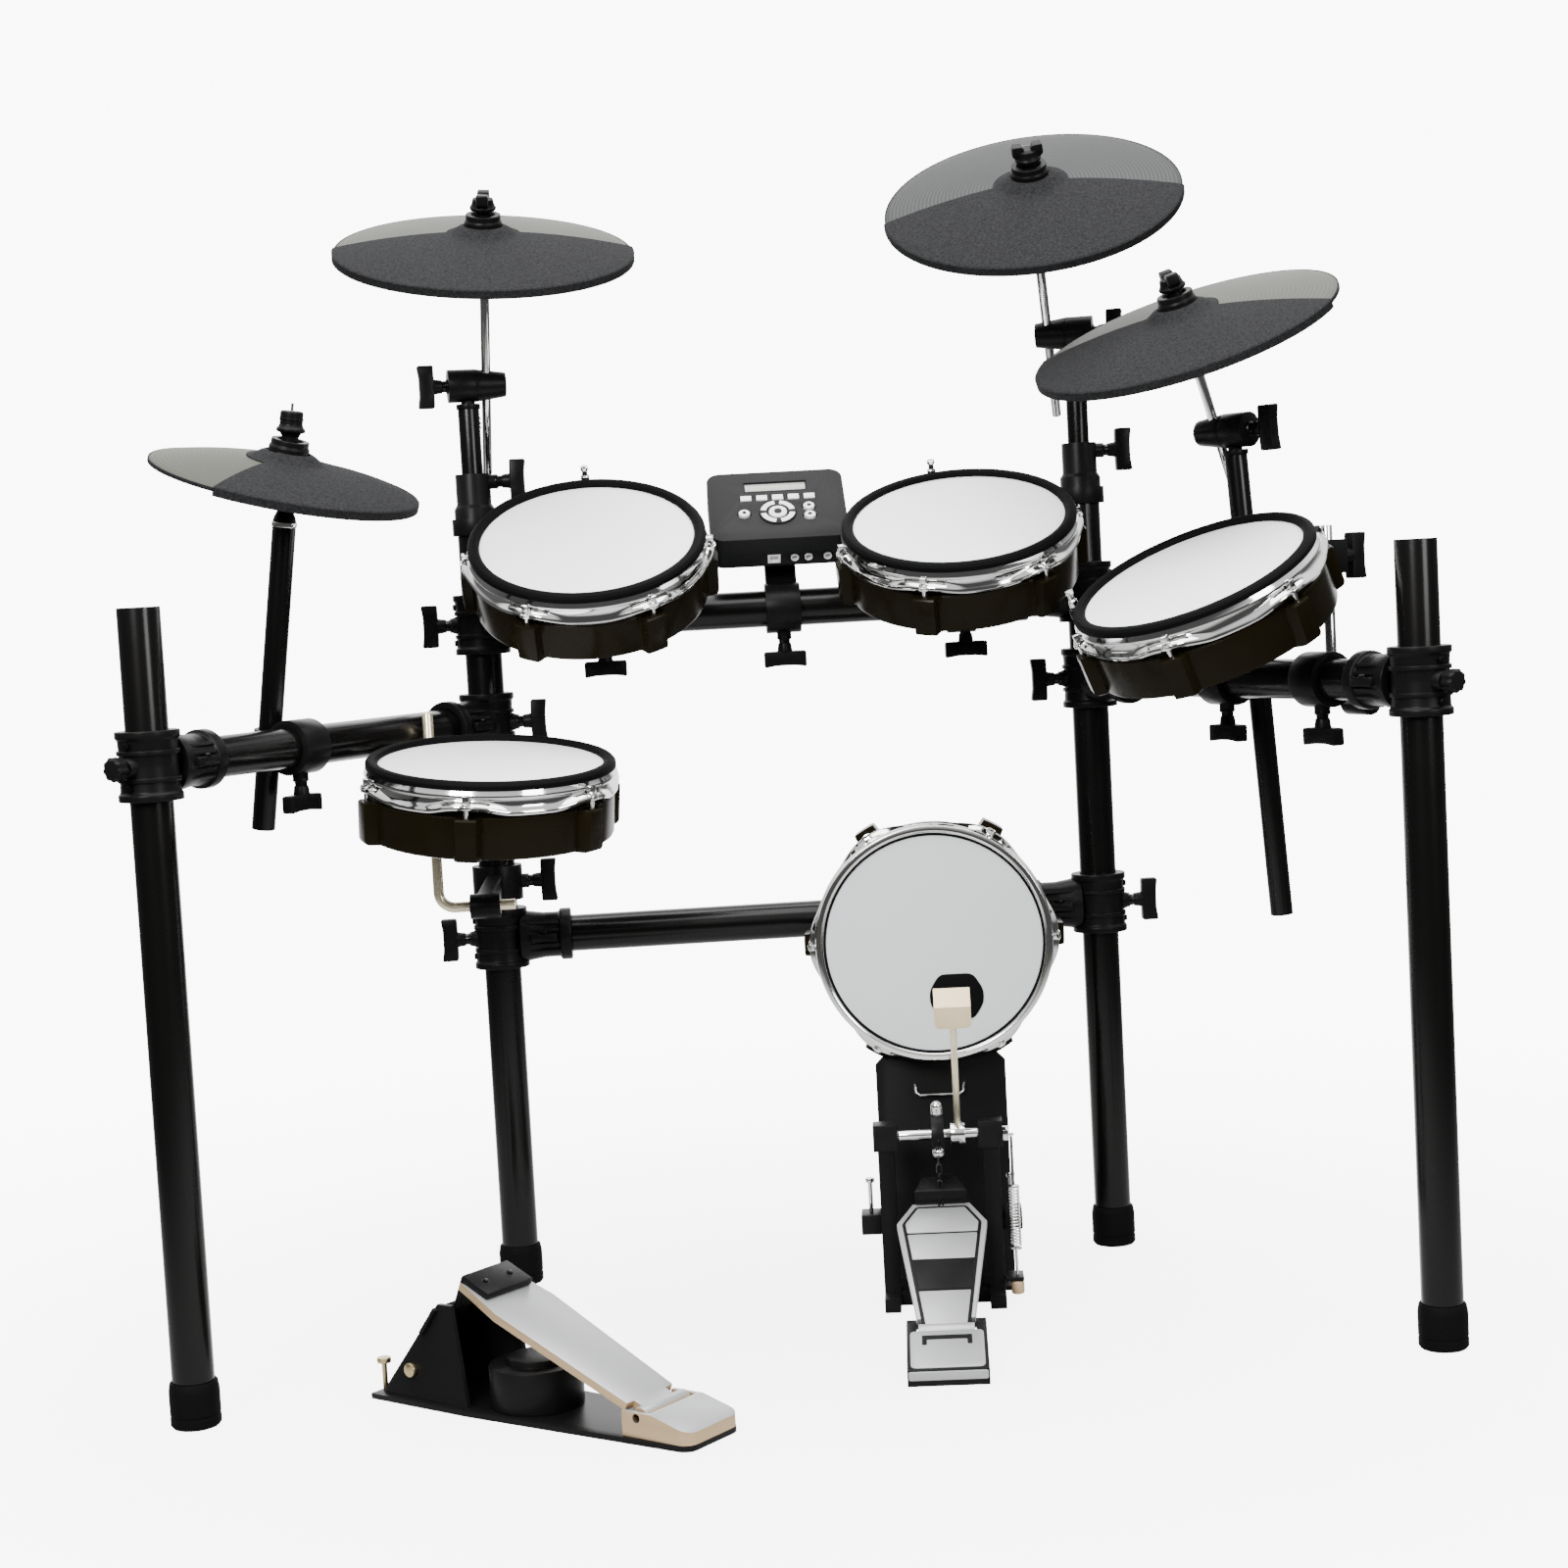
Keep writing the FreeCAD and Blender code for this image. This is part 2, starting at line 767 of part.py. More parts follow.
def tube_clamp(bar_centre, bar_dir, tube_centre, tube_dir):
    """A clamp that holds a thin tube beside a bar, with its wing bolt below"""
    half = bar_dir * (pad_clamp_len / 2)
    ring = rod(bar_centre - half, bar_centre + half, pad_clamp_r)
    grip_half = tube_dir * (pad_clamp_len / 2)
    grip = rod(tube_centre - grip_half, tube_centre + grip_half, thin_r + shell_wall)
    boss = rod(bar_centre, bar_centre - UP * boss_reach, boss_r)
    body = fuse([ring, grip, boss])
    bar_bore = rod(bar_centre - half * 2, bar_centre + half * 2, tube_r + clamp_fit)
    tube_bore = rod(tube_centre - grip_half * 2, tube_centre + grip_half * 2, thin_r + seat_fit)
    return body.cut(bar_bore).cut(tube_bore), wing_bolt(bar_centre - UP * boss_reach, -UP, bar_dir)


# Hi-hat stand on the left side bar
hihat_bar_point = bar_point(left_rear, left_bar_dir, hihat_clamp_along, left_bar_z)
hihat_tube_point = hihat_bar_point + left_outward * hihat_tube_off
hihat_dir = unit(UP - left_outward * math.tan(math.radians(hihat_lean_deg)))


def on_hihat_tube(z):
    return hihat_tube_point + hihat_dir * ((z - left_bar_z) / hihat_dir.z)


add("left_wing_fittings", *tube_clamp(hihat_bar_point, left_bar_dir, hihat_tube_point, hihat_dir))
hihat_pivot = on_hihat_tube(hihat_seat_z)
hihat_normal = lean(hihat_tilt_deg, hihat_turn_deg)
hihat_rim = Frame(hihat_pivot - hihat_normal * pivot_height, hihat_normal)


def hihat_stand():
    """The stand's tube, the rod through it and the clutch sleeve on top"""
    tube = pipe(on_hihat_tube(hihat_tube_low), on_hihat_tube(hihat_tube_top), thin_r, thin_wall)
    ring_end = on_hihat_tube(hihat_tube_top + ring_h)
    cone_end = on_hihat_tube(hihat_tube_top + ring_h + hihat_cone_h)
    tip = fuse([rod(on_hihat_tube(hihat_tube_top), ring_end, thin_r),
                cone(ring_end, cone_end, neck_r, stud_r),
                rod(ring_end, hihat_pivot - hihat_dir * nut_ball_r, stud_r)])
    frame = Frame(hihat_pivot, hihat_dir)
    bore = Part.makeCylinder(stud_r + clamp_fit, nut_ball_r * 2, Vector(0, 0, -nut_ball_r * 2))
    clutch = fuse([Part.makeSphere(nut_ball_r),
                   Part.makeCylinder(nut_neck_r, nut_neck_h + nut_ball_r),
                   Part.makeCylinder(sleeve_r, sleeve_h - nut_neck_h, Vector(0, 0, nut_ball_r + nut_neck_h)),
                   Part.makeCylinder(pin_r, sleeve_h + nut_ball_r + pin_h)]).cut(bore)
    return tube, tip, frame.place(clutch)


def sensor_box(rim_frame):
    """The switch housing under the hi-hat's bow, bored clear of the stand"""
    top = bell_rise
    body = lathe([(sensor_bore_r, top - sensor_box_h), (sensor_box_r, top - sensor_box_h),
                  (sensor_box_r, top), (sensor_bore_r, top)])
    bow_inside = lathe([(0, top - sensor_box_h), (0, bell_rise), (bell_flat_r, bell_rise), (bell_r, bow_rise),
                        (hihat_r - rubber_lip, 0), (hihat_r - rubber_lip, top - sensor_box_h)])
    return rim_frame.place(body.common(bow_inside))


add("hihat_stand", *hihat_stand())
hihat_solids, hihat_pivot = cymbal(hihat_r, hihat_rim, hihat_rubber_deg, hihat_room_deg)
pivots["hihat_cymbal"] = (hihat_pivot, hihat_rim.x)
add("hihat_cymbal", *hihat_solids, sensor_box(hihat_rim))

# Ride tube on the right side bar
ride_bar_point = bar_point(right_rear, right_bar_dir, ride_clamp_along, right_bar_z)
ride_tube_point = ride_bar_point + right_outward * ride_tube_off
ride_dir = unit(UP - right_outward * math.tan(math.radians(ride_lean_deg)))


def on_ride_tube(z):
    return ride_tube_point + ride_dir * ((z - right_bar_z) / ride_dir.z)


ride_top = on_ride_tube(ride_tilter_z)
add("right_wing_tubes", pipe(on_ride_tube(ride_tube_low), ride_top - ride_dir * neck_gap, thin_r, thin_wall))
add("right_wing_fittings", *tube_clamp(ride_bar_point, right_bar_dir, ride_tube_point, ride_dir))
add("right_wing_fittings", *add_boom("ride_boom", "ride_cymbal", ride_top, ride_dir, -1, eye_offset,
                                     ride_boom_reach, lean(ride_tilt_deg, ride_turn_deg), ride_rubber_deg))


# Drum pads
def pad_shell_outer():
    return lathe([(0, -shell_depth), (shell_foot_r, -shell_depth), (shell_r, -shell_lip_low),
                  (shell_lip_r, -shell_lip_low), (shell_lip_r, -head_t), (0, -head_t)])


def pad_lugs(first_deg, low, high):
    lug = Part.makeCylinder(lug_r, high - low, Vector(lug_circle_r, 0, low))
    return spun(lug, lug_count, first_deg)


def pad_shell(first_deg):
    """A moulded pan with a raised bearing edge and a bulge for each tension bolt"""
    inner_r = shell_foot_r - shell_wall
    cavity = lathe([(0, shell_wall - shell_depth), (inner_r - shell_wall, shell_wall - shell_depth),
                    (inner_r, overrun), (0, overrun)])
    outer = fuse([pad_shell_outer()] + pad_lugs(first_deg, -shell_depth, -shell_lip_low))
    holes = spun(Part.makeCylinder(lug_bolt_r + clamp_fit, shell_depth,
                                   Vector(lug_bolt_circle_r, 0, -lug_bolt_low)), lug_count, first_deg)
    return outer.cut(cavity).cut(Part.makeCompound(holes))


def pad_sensor():
    """The beam across the pan with the pick-up disc and its foam cone under the head"""
    low = shell_wall - shell_depth
    top = -head_t - overrun
    return lathe([(0, low), (sensor_r, low), (sensor_r, low + sensor_plate_t), (foam_r, low + sensor_plate_t),
                  (foam_top_r, top), (0, top)])


def pad_hoop(first_deg, height):
    """The pressed steel hoop with an ear for each tension bolt"""
    ring = lathe([(hoop_in_r, -height), (hoop_flange_r, -height), (hoop_flange_r, hoop_flange_h - height),
                  (hoop_out_r, hoop_flange_h - height), (hoop_out_r, 0), (hoop_in_r, 0)])
    ear = Part.makeCylinder(ear_r, ear_h, Vector(lug_bolt_circle_r, 0, -ear_top - ear_h))
    keep = Part.makeCylinder(hoop_in_r, height * 2, Vector(0, 0, -height - overrun))
    ring = fuse([ring] + spun(ear, lug_count, first_deg)).cut(keep)
    holes = spun(Part.makeCylinder(lug_bolt_r + clamp_fit, height * 2,
                                   Vector(lug_bolt_circle_r, 0, -height * 2)), lug_count, first_deg)
    return ring.cut(Part.makeCompound(holes))


def tension_bolts(first_deg):
    """The tension bolts, each with a square-cut head on its ear"""
    at_circle = Vector(lug_bolt_circle_r, 0, 0)
    shank = rod(at_circle - UP * lug_bolt_low, at_circle - UP * lug_bolt_top, lug_bolt_r)
    head = rod(at_circle - UP * lug_bolt_top, at_circle - UP * (lug_bolt_top - lug_head_h), lug_head_r)
    return spun(fuse([shank, head]), lug_count, first_deg)


def pad_rim():
    """The rubber rim over the hoop's edge, with a crowned top"""
    mid = (rim_in_r + rim_out_r) / 2
    arc = Part.Arc(Vector(rim_out_r, 0, rim_h / 2), Vector(mid, 0, rim_h), Vector(rim_in_r, 0, rim_h / 3))
    corners = [Vector(rim_in_r, 0, rim_h / 3), Vector(rim_in_r, 0, 0), Vector(rim_out_r, 0, 0),
               Vector(rim_out_r, 0, rim_h / 2)]
    edges = [arc.toShape()] + [Part.makeLine(a, b) for a, b in zip(corners, corners[1:])]
    return Part.Face(Part.Wire(edges)).revolve(Vector(0, 0, 0), UP, 360.0)


def pad_head(radius):
    return Part.makeCylinder(radius, head_t, Vector(0, 0, -head_t))


def bent_rod(tail, bend, top):
    """A round rod from its tail to a rounded bend and on to its top"""
    first, second = unit(bend - tail), unit(top - bend)
    half_turn = first.getAngle(second) / 2
    back = pad_rod_bend * math.tan(half_turn)
    start, end = bend - first * back, bend + second * back
    middle = bend + unit(second - first) * (pad_rod_bend / math.cos(half_turn) - pad_rod_bend)
    path = Part.Wire([Part.makeLine(tail, start), Part.Arc(start, middle, end).toShape(),
                      Part.makeLine(end, top)])
    section = Part.Wire([Part.makeCircle(pad_rod_r, tail, first)])
    return path.makePipeShell([section], True, False)


def rod_clamp(ring_centre, ring_dir, ring_len, knuckle, leg_dir, bolt_dir):
    """A clamp round a tube with an arm to the knuckle that grips a bent rod's leg"""
    half = ring_dir * (ring_len / 2)
    ring = rod(ring_centre - half, ring_centre + half, pad_clamp_r)
    grip_half = leg_dir * (knuckle_len / 2)
    grip = rod(knuckle - grip_half, knuckle + grip_half, knuckle_r)
    reach = knuckle - ring_centre
    arm_frame = Frame(ring_centre, reach, ring_dir)
    side = ring_len / 3
    arm = arm_frame.place(block(-side, side, -knuckle_arm_t / 2, knuckle_arm_t / 2, 0, reach.Length))
    boss = rod(ring_centre, ring_centre + bolt_dir * boss_reach, boss_r)
    body = fuse([ring, grip, arm, boss])
    bore = rod(ring_centre - half * 2, ring_centre + half * 2, tube_r + clamp_fit)
    leg = rod(knuckle - grip_half * 2, knuckle + grip_half * 2, pad_rod_r + running_fit)
    across = leg_dir if abs(bolt_dir.dot(leg_dir)) < 0.5 else UP
    return body.cut(bore).cut(leg), wing_bolt(ring_centre + bolt_dir * boss_reach, bolt_dir, across)


def bracket(rod_point, outward, frame):
    """The block on a pad's shell that grips the upright leg, with its wing bolt"""
    own = Frame(rod_point, UP, outward)
    half_w, half_h = bracket_w / 2, bracket_h / 2
    body = own.place(block(-shell_r, bracket_back, -half_w, half_w, -half_h, half_h))
    solid_shell = frame.place(Part.makeCylinder(shell_r, shell_depth * 2, Vector(0, 0, -shell_depth * 2)))
    hoop_room_r = lug_bolt_circle_r + ear_r + running_fit
    hoop_room = frame.place(Part.makeCylinder(hoop_room_r, shell_depth, Vector(0, 0, -hoop_h - running_fit)))
    body = body.cut([solid_shell, hoop_room])
    body = max(body.Solids, key=lambda s: s.Volume)
    body = body.cut(rod(rod_point - UP * bracket_h, rod_point + UP * bracket_h, pad_rod_r + clamp_fit))
    bolt = wing_bolt(own.point(bracket_back, 0, 0), outward, UP)
    return body, bolt


def add_pad(name, centre, normal, first_deg):
    """A whole drum pad in its own frame, the head's top face at the origin"""
    frame = Frame(centre, normal)
    add(name + "_shell", frame.place(pad_shell(first_deg)), frame.place(pad_sensor()))
    add(name + "_hoop", frame.place(pad_hoop(first_deg, hoop_h)), frame.place(pad_rim()))
    add(name + "_hoop", *[frame.place(b) for b in tension_bolts(first_deg)])
    add(name + "_head", frame.place(pad_head(head_r)))
    return frame


def shell_side(frame, outward):
    """The middle of a shell's wall on the side that faces outward"""
    in_plane = unit(outward - frame.z * outward.dot(frame.z))
    return frame.origin - frame.z * (shell_depth * bracket_depth_share) + in_plane * shell_r


def add_tom(name, frame, bar_origin, bar_dir, outward, leg_back, shift, clamp_node):
    """A tom's bent rod, bracket and clamp: the leg runs along its bar, below and behind it"""
    side = shell_side(frame, outward)
    along = (side - bar_origin).dot(bar_dir) + shift
    bend = bar_origin + bar_dir * along + outward * leg_back - UP * leg_drop
    stand = Vector(bend.x, bend.y, side.z)
    knuckle = bend + bar_dir * leg_len
    ring = bar_origin + bar_dir * (along + leg_len)
    tail = knuckle + bar_dir * knuckle_len
    top = stand + UP * (bracket_h / 2 + rod_above)
    add(name + "_mount", bent_rod(tail, bend, top), *bracket(stand, outward, frame))
    add(clamp_node, *rod_clamp(ring, bar_dir, pad_clamp_len, knuckle, bar_dir, -UP))
    pivots[name] = (knuckle, bar_dir)


left_tom = add_pad("left_tom", at(left_tom_inset - rear_post_half_span, left_tom_y, left_tom_z),
                   lean(left_tom_tilt_deg, left_tom_turn_deg), left_tom_lug_deg)
right_tom_x = module_x + module_w / 2 + right_tom_reach
right_tom = add_pad("right_tom", at(right_tom_x, right_tom_y, right_tom_z),
                    lean(right_tom_tilt_deg, right_tom_turn_deg), right_tom_lug_deg)
floor_tom = add_pad("floor_tom", at(floor_tom_x, floor_tom_y, floor_tom_z),
                    lean(floor_tom_tilt_deg, floor_tom_turn_deg), floor_tom_lug_deg)
snare = add_pad("snare", at(snare_x, snare_y, snare_z),
                lean(snare_tilt_deg, snare_turn_deg), snare_lug_deg)
upper_bar_start = left_rear + UP * upper_bar_z
right_bar_start = right_rear + UP * right_bar_z
add_tom("left_tom", left_tom, upper_bar_start, RIGHT, BACK, tom_leg_back, left_bracket_shift, "rack_clamps")
add_tom("right_tom", right_tom, upper_bar_start, RIGHT, BACK, tom_leg_back, right_bracket_shift,
        "rack_clamps")
add_tom("floor_tom", floor_tom, right_bar_start, right_bar_dir, right_outward, floor_leg_back,
        floor_bracket_shift, "right_wing_fittings")


def add_snare_mount():
    """The snare's bent rod, from a clamp low on the left rear post to the bracket on its far side"""
    outward = level(snare_bracket_deg)
    stand = shell_side(snare, outward) + outward * snare_bracket_reach
    bend = Vector(stand.x, stand.y, snare_leg_z)
    knuckle = Vector(at(snare_knuckle_x, 0, 0).x, stand.y, snare_leg_z)
    tail = knuckle + RIGHT * knuckle_len
    top = stand + UP * (bracket_h / 2 + snare_rod_above)
    ring = left_rear + UP * snare_clamp_z
    add("snare_mount", bent_rod(tail, bend, top), *bracket(stand, outward, snare))
    add("rack_clamps", *rod_clamp(ring, UP, snare_clamp_len, knuckle, RIGHT, RIGHT))
    pivots["snare"] = (knuckle, RIGHT)


add_snare_mount()

# Sound module
module = Frame(at(module_x, module_near_y, module_near_z), lean(module_tilt_deg, -90.0))


def key_blank(kind, grow, depth):
    """A button's body, grown all round by a clearance, standing on zero height"""
    if kind == "bar":
        half_w, half_d = key_w / 2 + grow, key_d / 2 + grow
        return block(-half_w, half_w, -half_d, half_d, 0, depth)
    if kind == "ring":
        core = Part.makeCylinder(nav_centre_r + key_fit, depth)
        return Part.makeCylinder(nav_r + grow, depth).cut(core)
    radius = nav_centre_r if kind == "centre" else round_key_r
    return Part.makeCylinder(radius + grow, depth)


def key_places():
    """Each button's node, kind and place on the face"""
    bars = [("function_key_%d" % (i + 1), "bar", key_x + (i - 2) * key_pitch, key_y) for i in range(5)]
    return bars + [("click_key", "round", click_key_x, nav_y), ("nav_ring", "ring", 0, nav_y),
                   ("nav_key", "centre", 0, nav_y), ("plus_key", "round", step_key_x, plus_key_y),
                   ("minus_key", "round", step_key_x, minus_key_y)]


def module_case():
    """The two halves of the case: hollow, bored for its buttons and sockets, the lower with board posts"""
    outer = rounded_slab(module_w, module_d, module_t, module_round)
    inner = rounded_slab(module_w - module_wall * 2, module_d - module_wall * 2,
                         module_t - module_wall * 2, module_round - module_wall)
    inner.translate(Vector(0, 0, module_wall))
    shell = outer.cut(inner)
    shell.translate(Vector(0, module_d / 2, -module_t))
    split = block(-module_w, module_w, -module_d, module_d * 2, -module_top_t, module_t)
    top, bottom = shell.common(split), shell.cut(split)
    for name, kind, x, y in key_places():
        if kind != "centre":
            whole = Part.makeCylinder(nav_r + key_fit, key_depth + overrun)
            hole = whole if kind == "ring" else key_blank(kind, key_fit, key_depth + overrun)
            hole.translate(Vector(x, y, -key_depth))
            top = top.cut(hole)
    half = display_w / 2
    top = top.cut(block(-half, half, display_y - display_d / 2, display_y + display_d / 2,
                        -display_sink, overrun))
    for x, shape in socket_shapes(seat_fit):
        shape.translate(Vector(x, -overrun, -jack_drop))
        bottom = bottom.cut(shape)
    reach = module_t - module_wall - board_below - board_t
    inset = board_margin * 2
    for x in (inset - module_w / 2, module_w / 2 - inset):
        for y in (inset, module_d - inset):
            bottom = bottom.fuse(Part.makeCylinder(board_post_r, reach, Vector(x, y, module_wall - module_t)))
    return top, fuse([bottom] + module_ears())


def socket_shapes(grow):
    """The sockets on the case's front edge, as plain plugs along the depth"""
    plugs = [(module_w * s, Part.makeCylinder(jack_r + jack_wall + grow, jack_len, Vector(0, 0, 0), BACK))
             for s in jack_x_shares]
    half_w, half_h = usb_w / 2 + grow, usb_h / 2 + grow
    plugs.append((module_w * usb_x_share, block(-half_w, half_w, 0, jack_len, -half_h, half_h)))
    return plugs


def module_sockets():
    """Socket barrels with their bores, flush with the case's front edge"""
    made = []
    for x, shape in socket_shapes(0):
        is_round = shape.Faces[0].Surface.TypeId == "Part::GeomCylinder"
        slot = block(-usb_w / 3, usb_w / 3, -overrun, jack_len / 2, -usb_h / 3, usb_h / 3)
        bore = Part.makeCylinder(jack_r, jack_len * 2, Vector(0, -overrun, 0), BACK) if is_round else slot
        piece = shape.cut(bore)
        piece.translate(Vector(x, 0, -jack_drop))
        made.append(piece)
    return made


def module_ears():
    """Two ears under the case that hold its tilt pin"""
    inner = module_post_w / 2 + running_fit
    hole = Part.makeCylinder(module_pin_r, module_w, Vector(-module_w / 2, module_pivot_y, pivot_z), RIGHT)
    ears = []
    for x in (inner, -inner - module_ear_t):
        ear = Part.makeCylinder(module_knuckle_r, module_ear_t, Vector(x, module_pivot_y, pivot_z), RIGHT)
        web = block(x, x + module_ear_t, module_pivot_y - module_knuckle_r, module_pivot_y + module_knuckle_r,
                    pivot_z, -module_t)
        ears.append(ear.fuse(web).cut(hole))
    return ears


pivot_z = -module_t - module_pivot_drop
module_pivot = module.point(0, module_pivot_y, pivot_z)
pivots["module"] = (module_pivot, RIGHT)
pin_half = module_post_w / 2 + running_fit + module_ear_t
add("module_case", *[module.place(half) for half in module_case()])
add("module_case", module.place(Part.makeCylinder(module_pin_r, pin_half * 2,
                                                  Vector(-pin_half, module_pivot_y, pivot_z), RIGHT)))
display = block(-display_w / 2, display_w / 2, display_y - display_d / 2, display_y + display_d / 2,
                -display_sink, -display_sink / 2)
circuit = block(board_margin - module_w / 2, module_w / 2 - board_margin, board_margin,
                module_d - board_margin, -board_below - board_t, -board_below)
add("module_board", *[module.place(piece) for piece in [circuit, display] + module_sockets()])
for key_name, kind, x, y in key_places():
    cap = key_blank(kind, 0, key_depth + key_stand)
    cap.translate(Vector(x, y, -key_depth))
    add(key_name, module.place(cap))
    pivots[key_name] = (module.point(x, y, 0), module.z)


def module_bracket():
    """The clamp on the upper bar with a post up to the module's tilt pin, and its wing bolt"""
    ring_centre = Vector(module_pivot.x, left_rear.y, upper_bar_z)
    half = RIGHT * (module_clamp_len / 2)
    ring = rod(ring_centre - half, ring_centre + half, pad_clamp_r)
    reach = module_pivot - ring_centre
    own = Frame(ring_centre, reach, RIGHT)
    side = module_post_w / 2
    arm = own.place(block(-side, side, -module_post_t / 2, module_post_t / 2, 0, reach.Length))
    knuckle = rod(module_pivot - RIGHT * side, module_pivot + RIGHT * side, module_knuckle_r)
    boss = rod(ring_centre, ring_centre - UP * boss_reach, boss_r)
    body = fuse([ring, arm, knuckle, boss])
    bar_bore = rod(ring_centre - half * 2, ring_centre + half * 2, tube_r + clamp_fit)
    pin_bore = rod(module_pivot - half * 2, module_pivot + half * 2, module_pin_r + running_fit)
    return body.cut(bar_bore).cut(pin_bore), wing_bolt(ring_centre - UP * boss_reach, -UP, RIGHT)


add("module_bracket", *module_bracket())

# Kick pad: its own frame looks towards the drummer
kick_out = level(kick_yaw_deg * -1 - 90.0)
kick_right = level(-kick_yaw_deg)
kick_face = Frame(at(kick_x, kick_y, kick_z), kick_out, kick_right)
kick_floor = Frame(at(kick_x, kick_y, 0), UP, kick_right)


def kick_patch():
    """The rubber patch that the beater strikes"""
    return block(patch_u - patch_w / 2, patch_u + patch_w / 2, -patch_drop - patch_h / 2,
                 patch_h / 2 - patch_drop, 0, patch_t)


add("kick_shell", kick_face.place(pad_shell(0)), kick_face.place(pad_sensor()))
add("kick_hoop", kick_face.place(pad_hoop(0, hoop_h)), kick_face.place(pad_rim()))
add("kick_hoop", *[kick_face.place(b) for b in tension_bolts(0)])
add("kick_head", kick_face.place(pad_head(head_r)), kick_face.place(kick_patch()))


def kick_tower():
    """The upright plate under the kick pad, its braces, saddle and floor plate"""
    half = tower_w / 2
    face = [Vector(-half, tower_back, tower_base_t), Vector(half, tower_back, tower_base_t),
            Vector(half, tower_back, tower_h - tower_chamfer),
            Vector(half - tower_chamfer, tower_back, tower_h),
            Vector(tower_chamfer - half, tower_back, tower_h),
            Vector(-half, tower_back, tower_h - tower_chamfer)]
    plate = prism(face, BACK * tower_t)
    behind = tower_back + tower_t
    saddle = block(-sensor_r * 2, sensor_r * 2, behind, shell_depth, tower_h - saddle_h, tower_h)
    shell_hole = Part.makeCylinder(shell_r + clamp_fit, shell_depth * 2, Vector(0, 0, kick_z), BACK)
    base = block(-half, half, -tower_base_front, tower_base_len - tower_base_front, 0, tower_base_t)
    braces = []
    for x in (brace_inset - half, half - brace_inset - brace_t):
        side = [Vector(x, behind, tower_base_t), Vector(x, behind + brace_len, tower_base_t),
                Vector(x, behind, brace_h)]
        braces.append(prism(side, RIGHT * brace_t))
    return fuse([plate, saddle, base] + braces).cut(shell_hole)


add("kick_tower", kick_floor.place(kick_tower()))


# Kick pedal, in the tower's floor frame: x to the right, y away from the drummer
def pedal_frame():
    """The pedal's floor plate, uprights, axle bearings and heel plate"""
    left, right = pedal_u - upright_gap / 2, pedal_u + upright_gap / 2
    pieces = [block(pedal_u - pedal_plate_w / 2, pedal_u + pedal_plate_w / 2, -heel_v, -tower_base_front,
                    0, pedal_plate_t)]
    half_w, half_d = upright_w / 2, upright_d / 2
    cross = block(left - half_w, right + half_w, -axle_v - half_d, half_d - axle_v, 0, pedal_foot_h)
    pieces.append(cross)
    for u in (left, right):
        pieces.append(block(u - half_w, u + half_w, -axle_v - half_d, half_d - axle_v, 0, axle_z))
        pieces.append(block(u - half_w, u + half_w, -pedal_foot_v, -axle_v, 0, pedal_foot_h))
        pieces.append(block(u - bearing_w / 2, u + bearing_w / 2, -axle_v - bearing_d / 2,
                            bearing_d / 2 - axle_v, axle_z - bearing_h / 2, axle_z + bearing_h / 2))
    nose = heel_v - heel_nose
    profile = [Vector(pedal_u - heel_w / 2, -nose, 0), Vector(pedal_u - heel_w / 2, -heel_v - heel_len, 0),
               Vector(pedal_u - heel_w / 2, -heel_v - heel_len, heel_h / 2),
               Vector(pedal_u - heel_w / 2, -heel_v, heel_h + hinge_r),
               Vector(pedal_u - heel_w / 2, -nose, heel_h + hinge_r)]
    pieces.append(prism(profile, RIGHT * heel_w))
    slot_half = board_heel_w / 2 + running_fit * 2
    slot = block(pedal_u - slot_half, pedal_u + slot_half, -heel_v - hinge_r * 3, overrun - nose,
                 pedal_plate_t, heel_h * 2)
    pin = hinge_pin()
    axle_bore = Part.makeCylinder(axle_r + running_fit, upright_gap * 2,
                                  Vector(left - upright_gap / 2, -axle_v, axle_z), RIGHT)
    frame = fuse(pieces).cut(slot).cut(pin).cut(axle_bore)
    anchor_end = spring_u + spring_knob_r
    anchor = block(right + half_w, anchor_end, -axle_v - crank_reach - half_d / 2,
                   half_d - axle_v, spring_anchor_z - anchor_t, spring_anchor_z)
    return [frame, pin, anchor] + side_clamps()


def hinge_pin():
    return Part.makeCylinder(hinge_r, heel_w, Vector(pedal_u - heel_w / 2, -heel_v, hinge_z), RIGHT)


def side_clamps():
    """The blocks and screws that hold the uprights to the tower's sides"""
    made = []
    reach = upright_gap / 2 + upright_w / 2
    for x in (pedal_u - reach - side_clamp_w, pedal_u + reach):
        middle = -(axle_v + tower_base_front) / 2
        body = block(x, x + side_clamp_w, -axle_v, -tower_base_front, side_clamp_z - side_clamp_h / 2,
                     side_clamp_z + side_clamp_h / 2)
        foot_point = Vector(x + side_clamp_w / 2, middle, side_clamp_z + side_clamp_h / 2)
        screw = rod(foot_point, foot_point + UP * side_screw_h, side_screw_r)
        head = rod(foot_point + UP * side_screw_h, foot_point + UP * (side_screw_h + side_screw_head_r),
                   side_screw_head_r)
        made += [body, fuse([screw, head])]
    return made


add("kick_pedal_frame", *[kick_floor.place(piece) for piece in pedal_frame()])


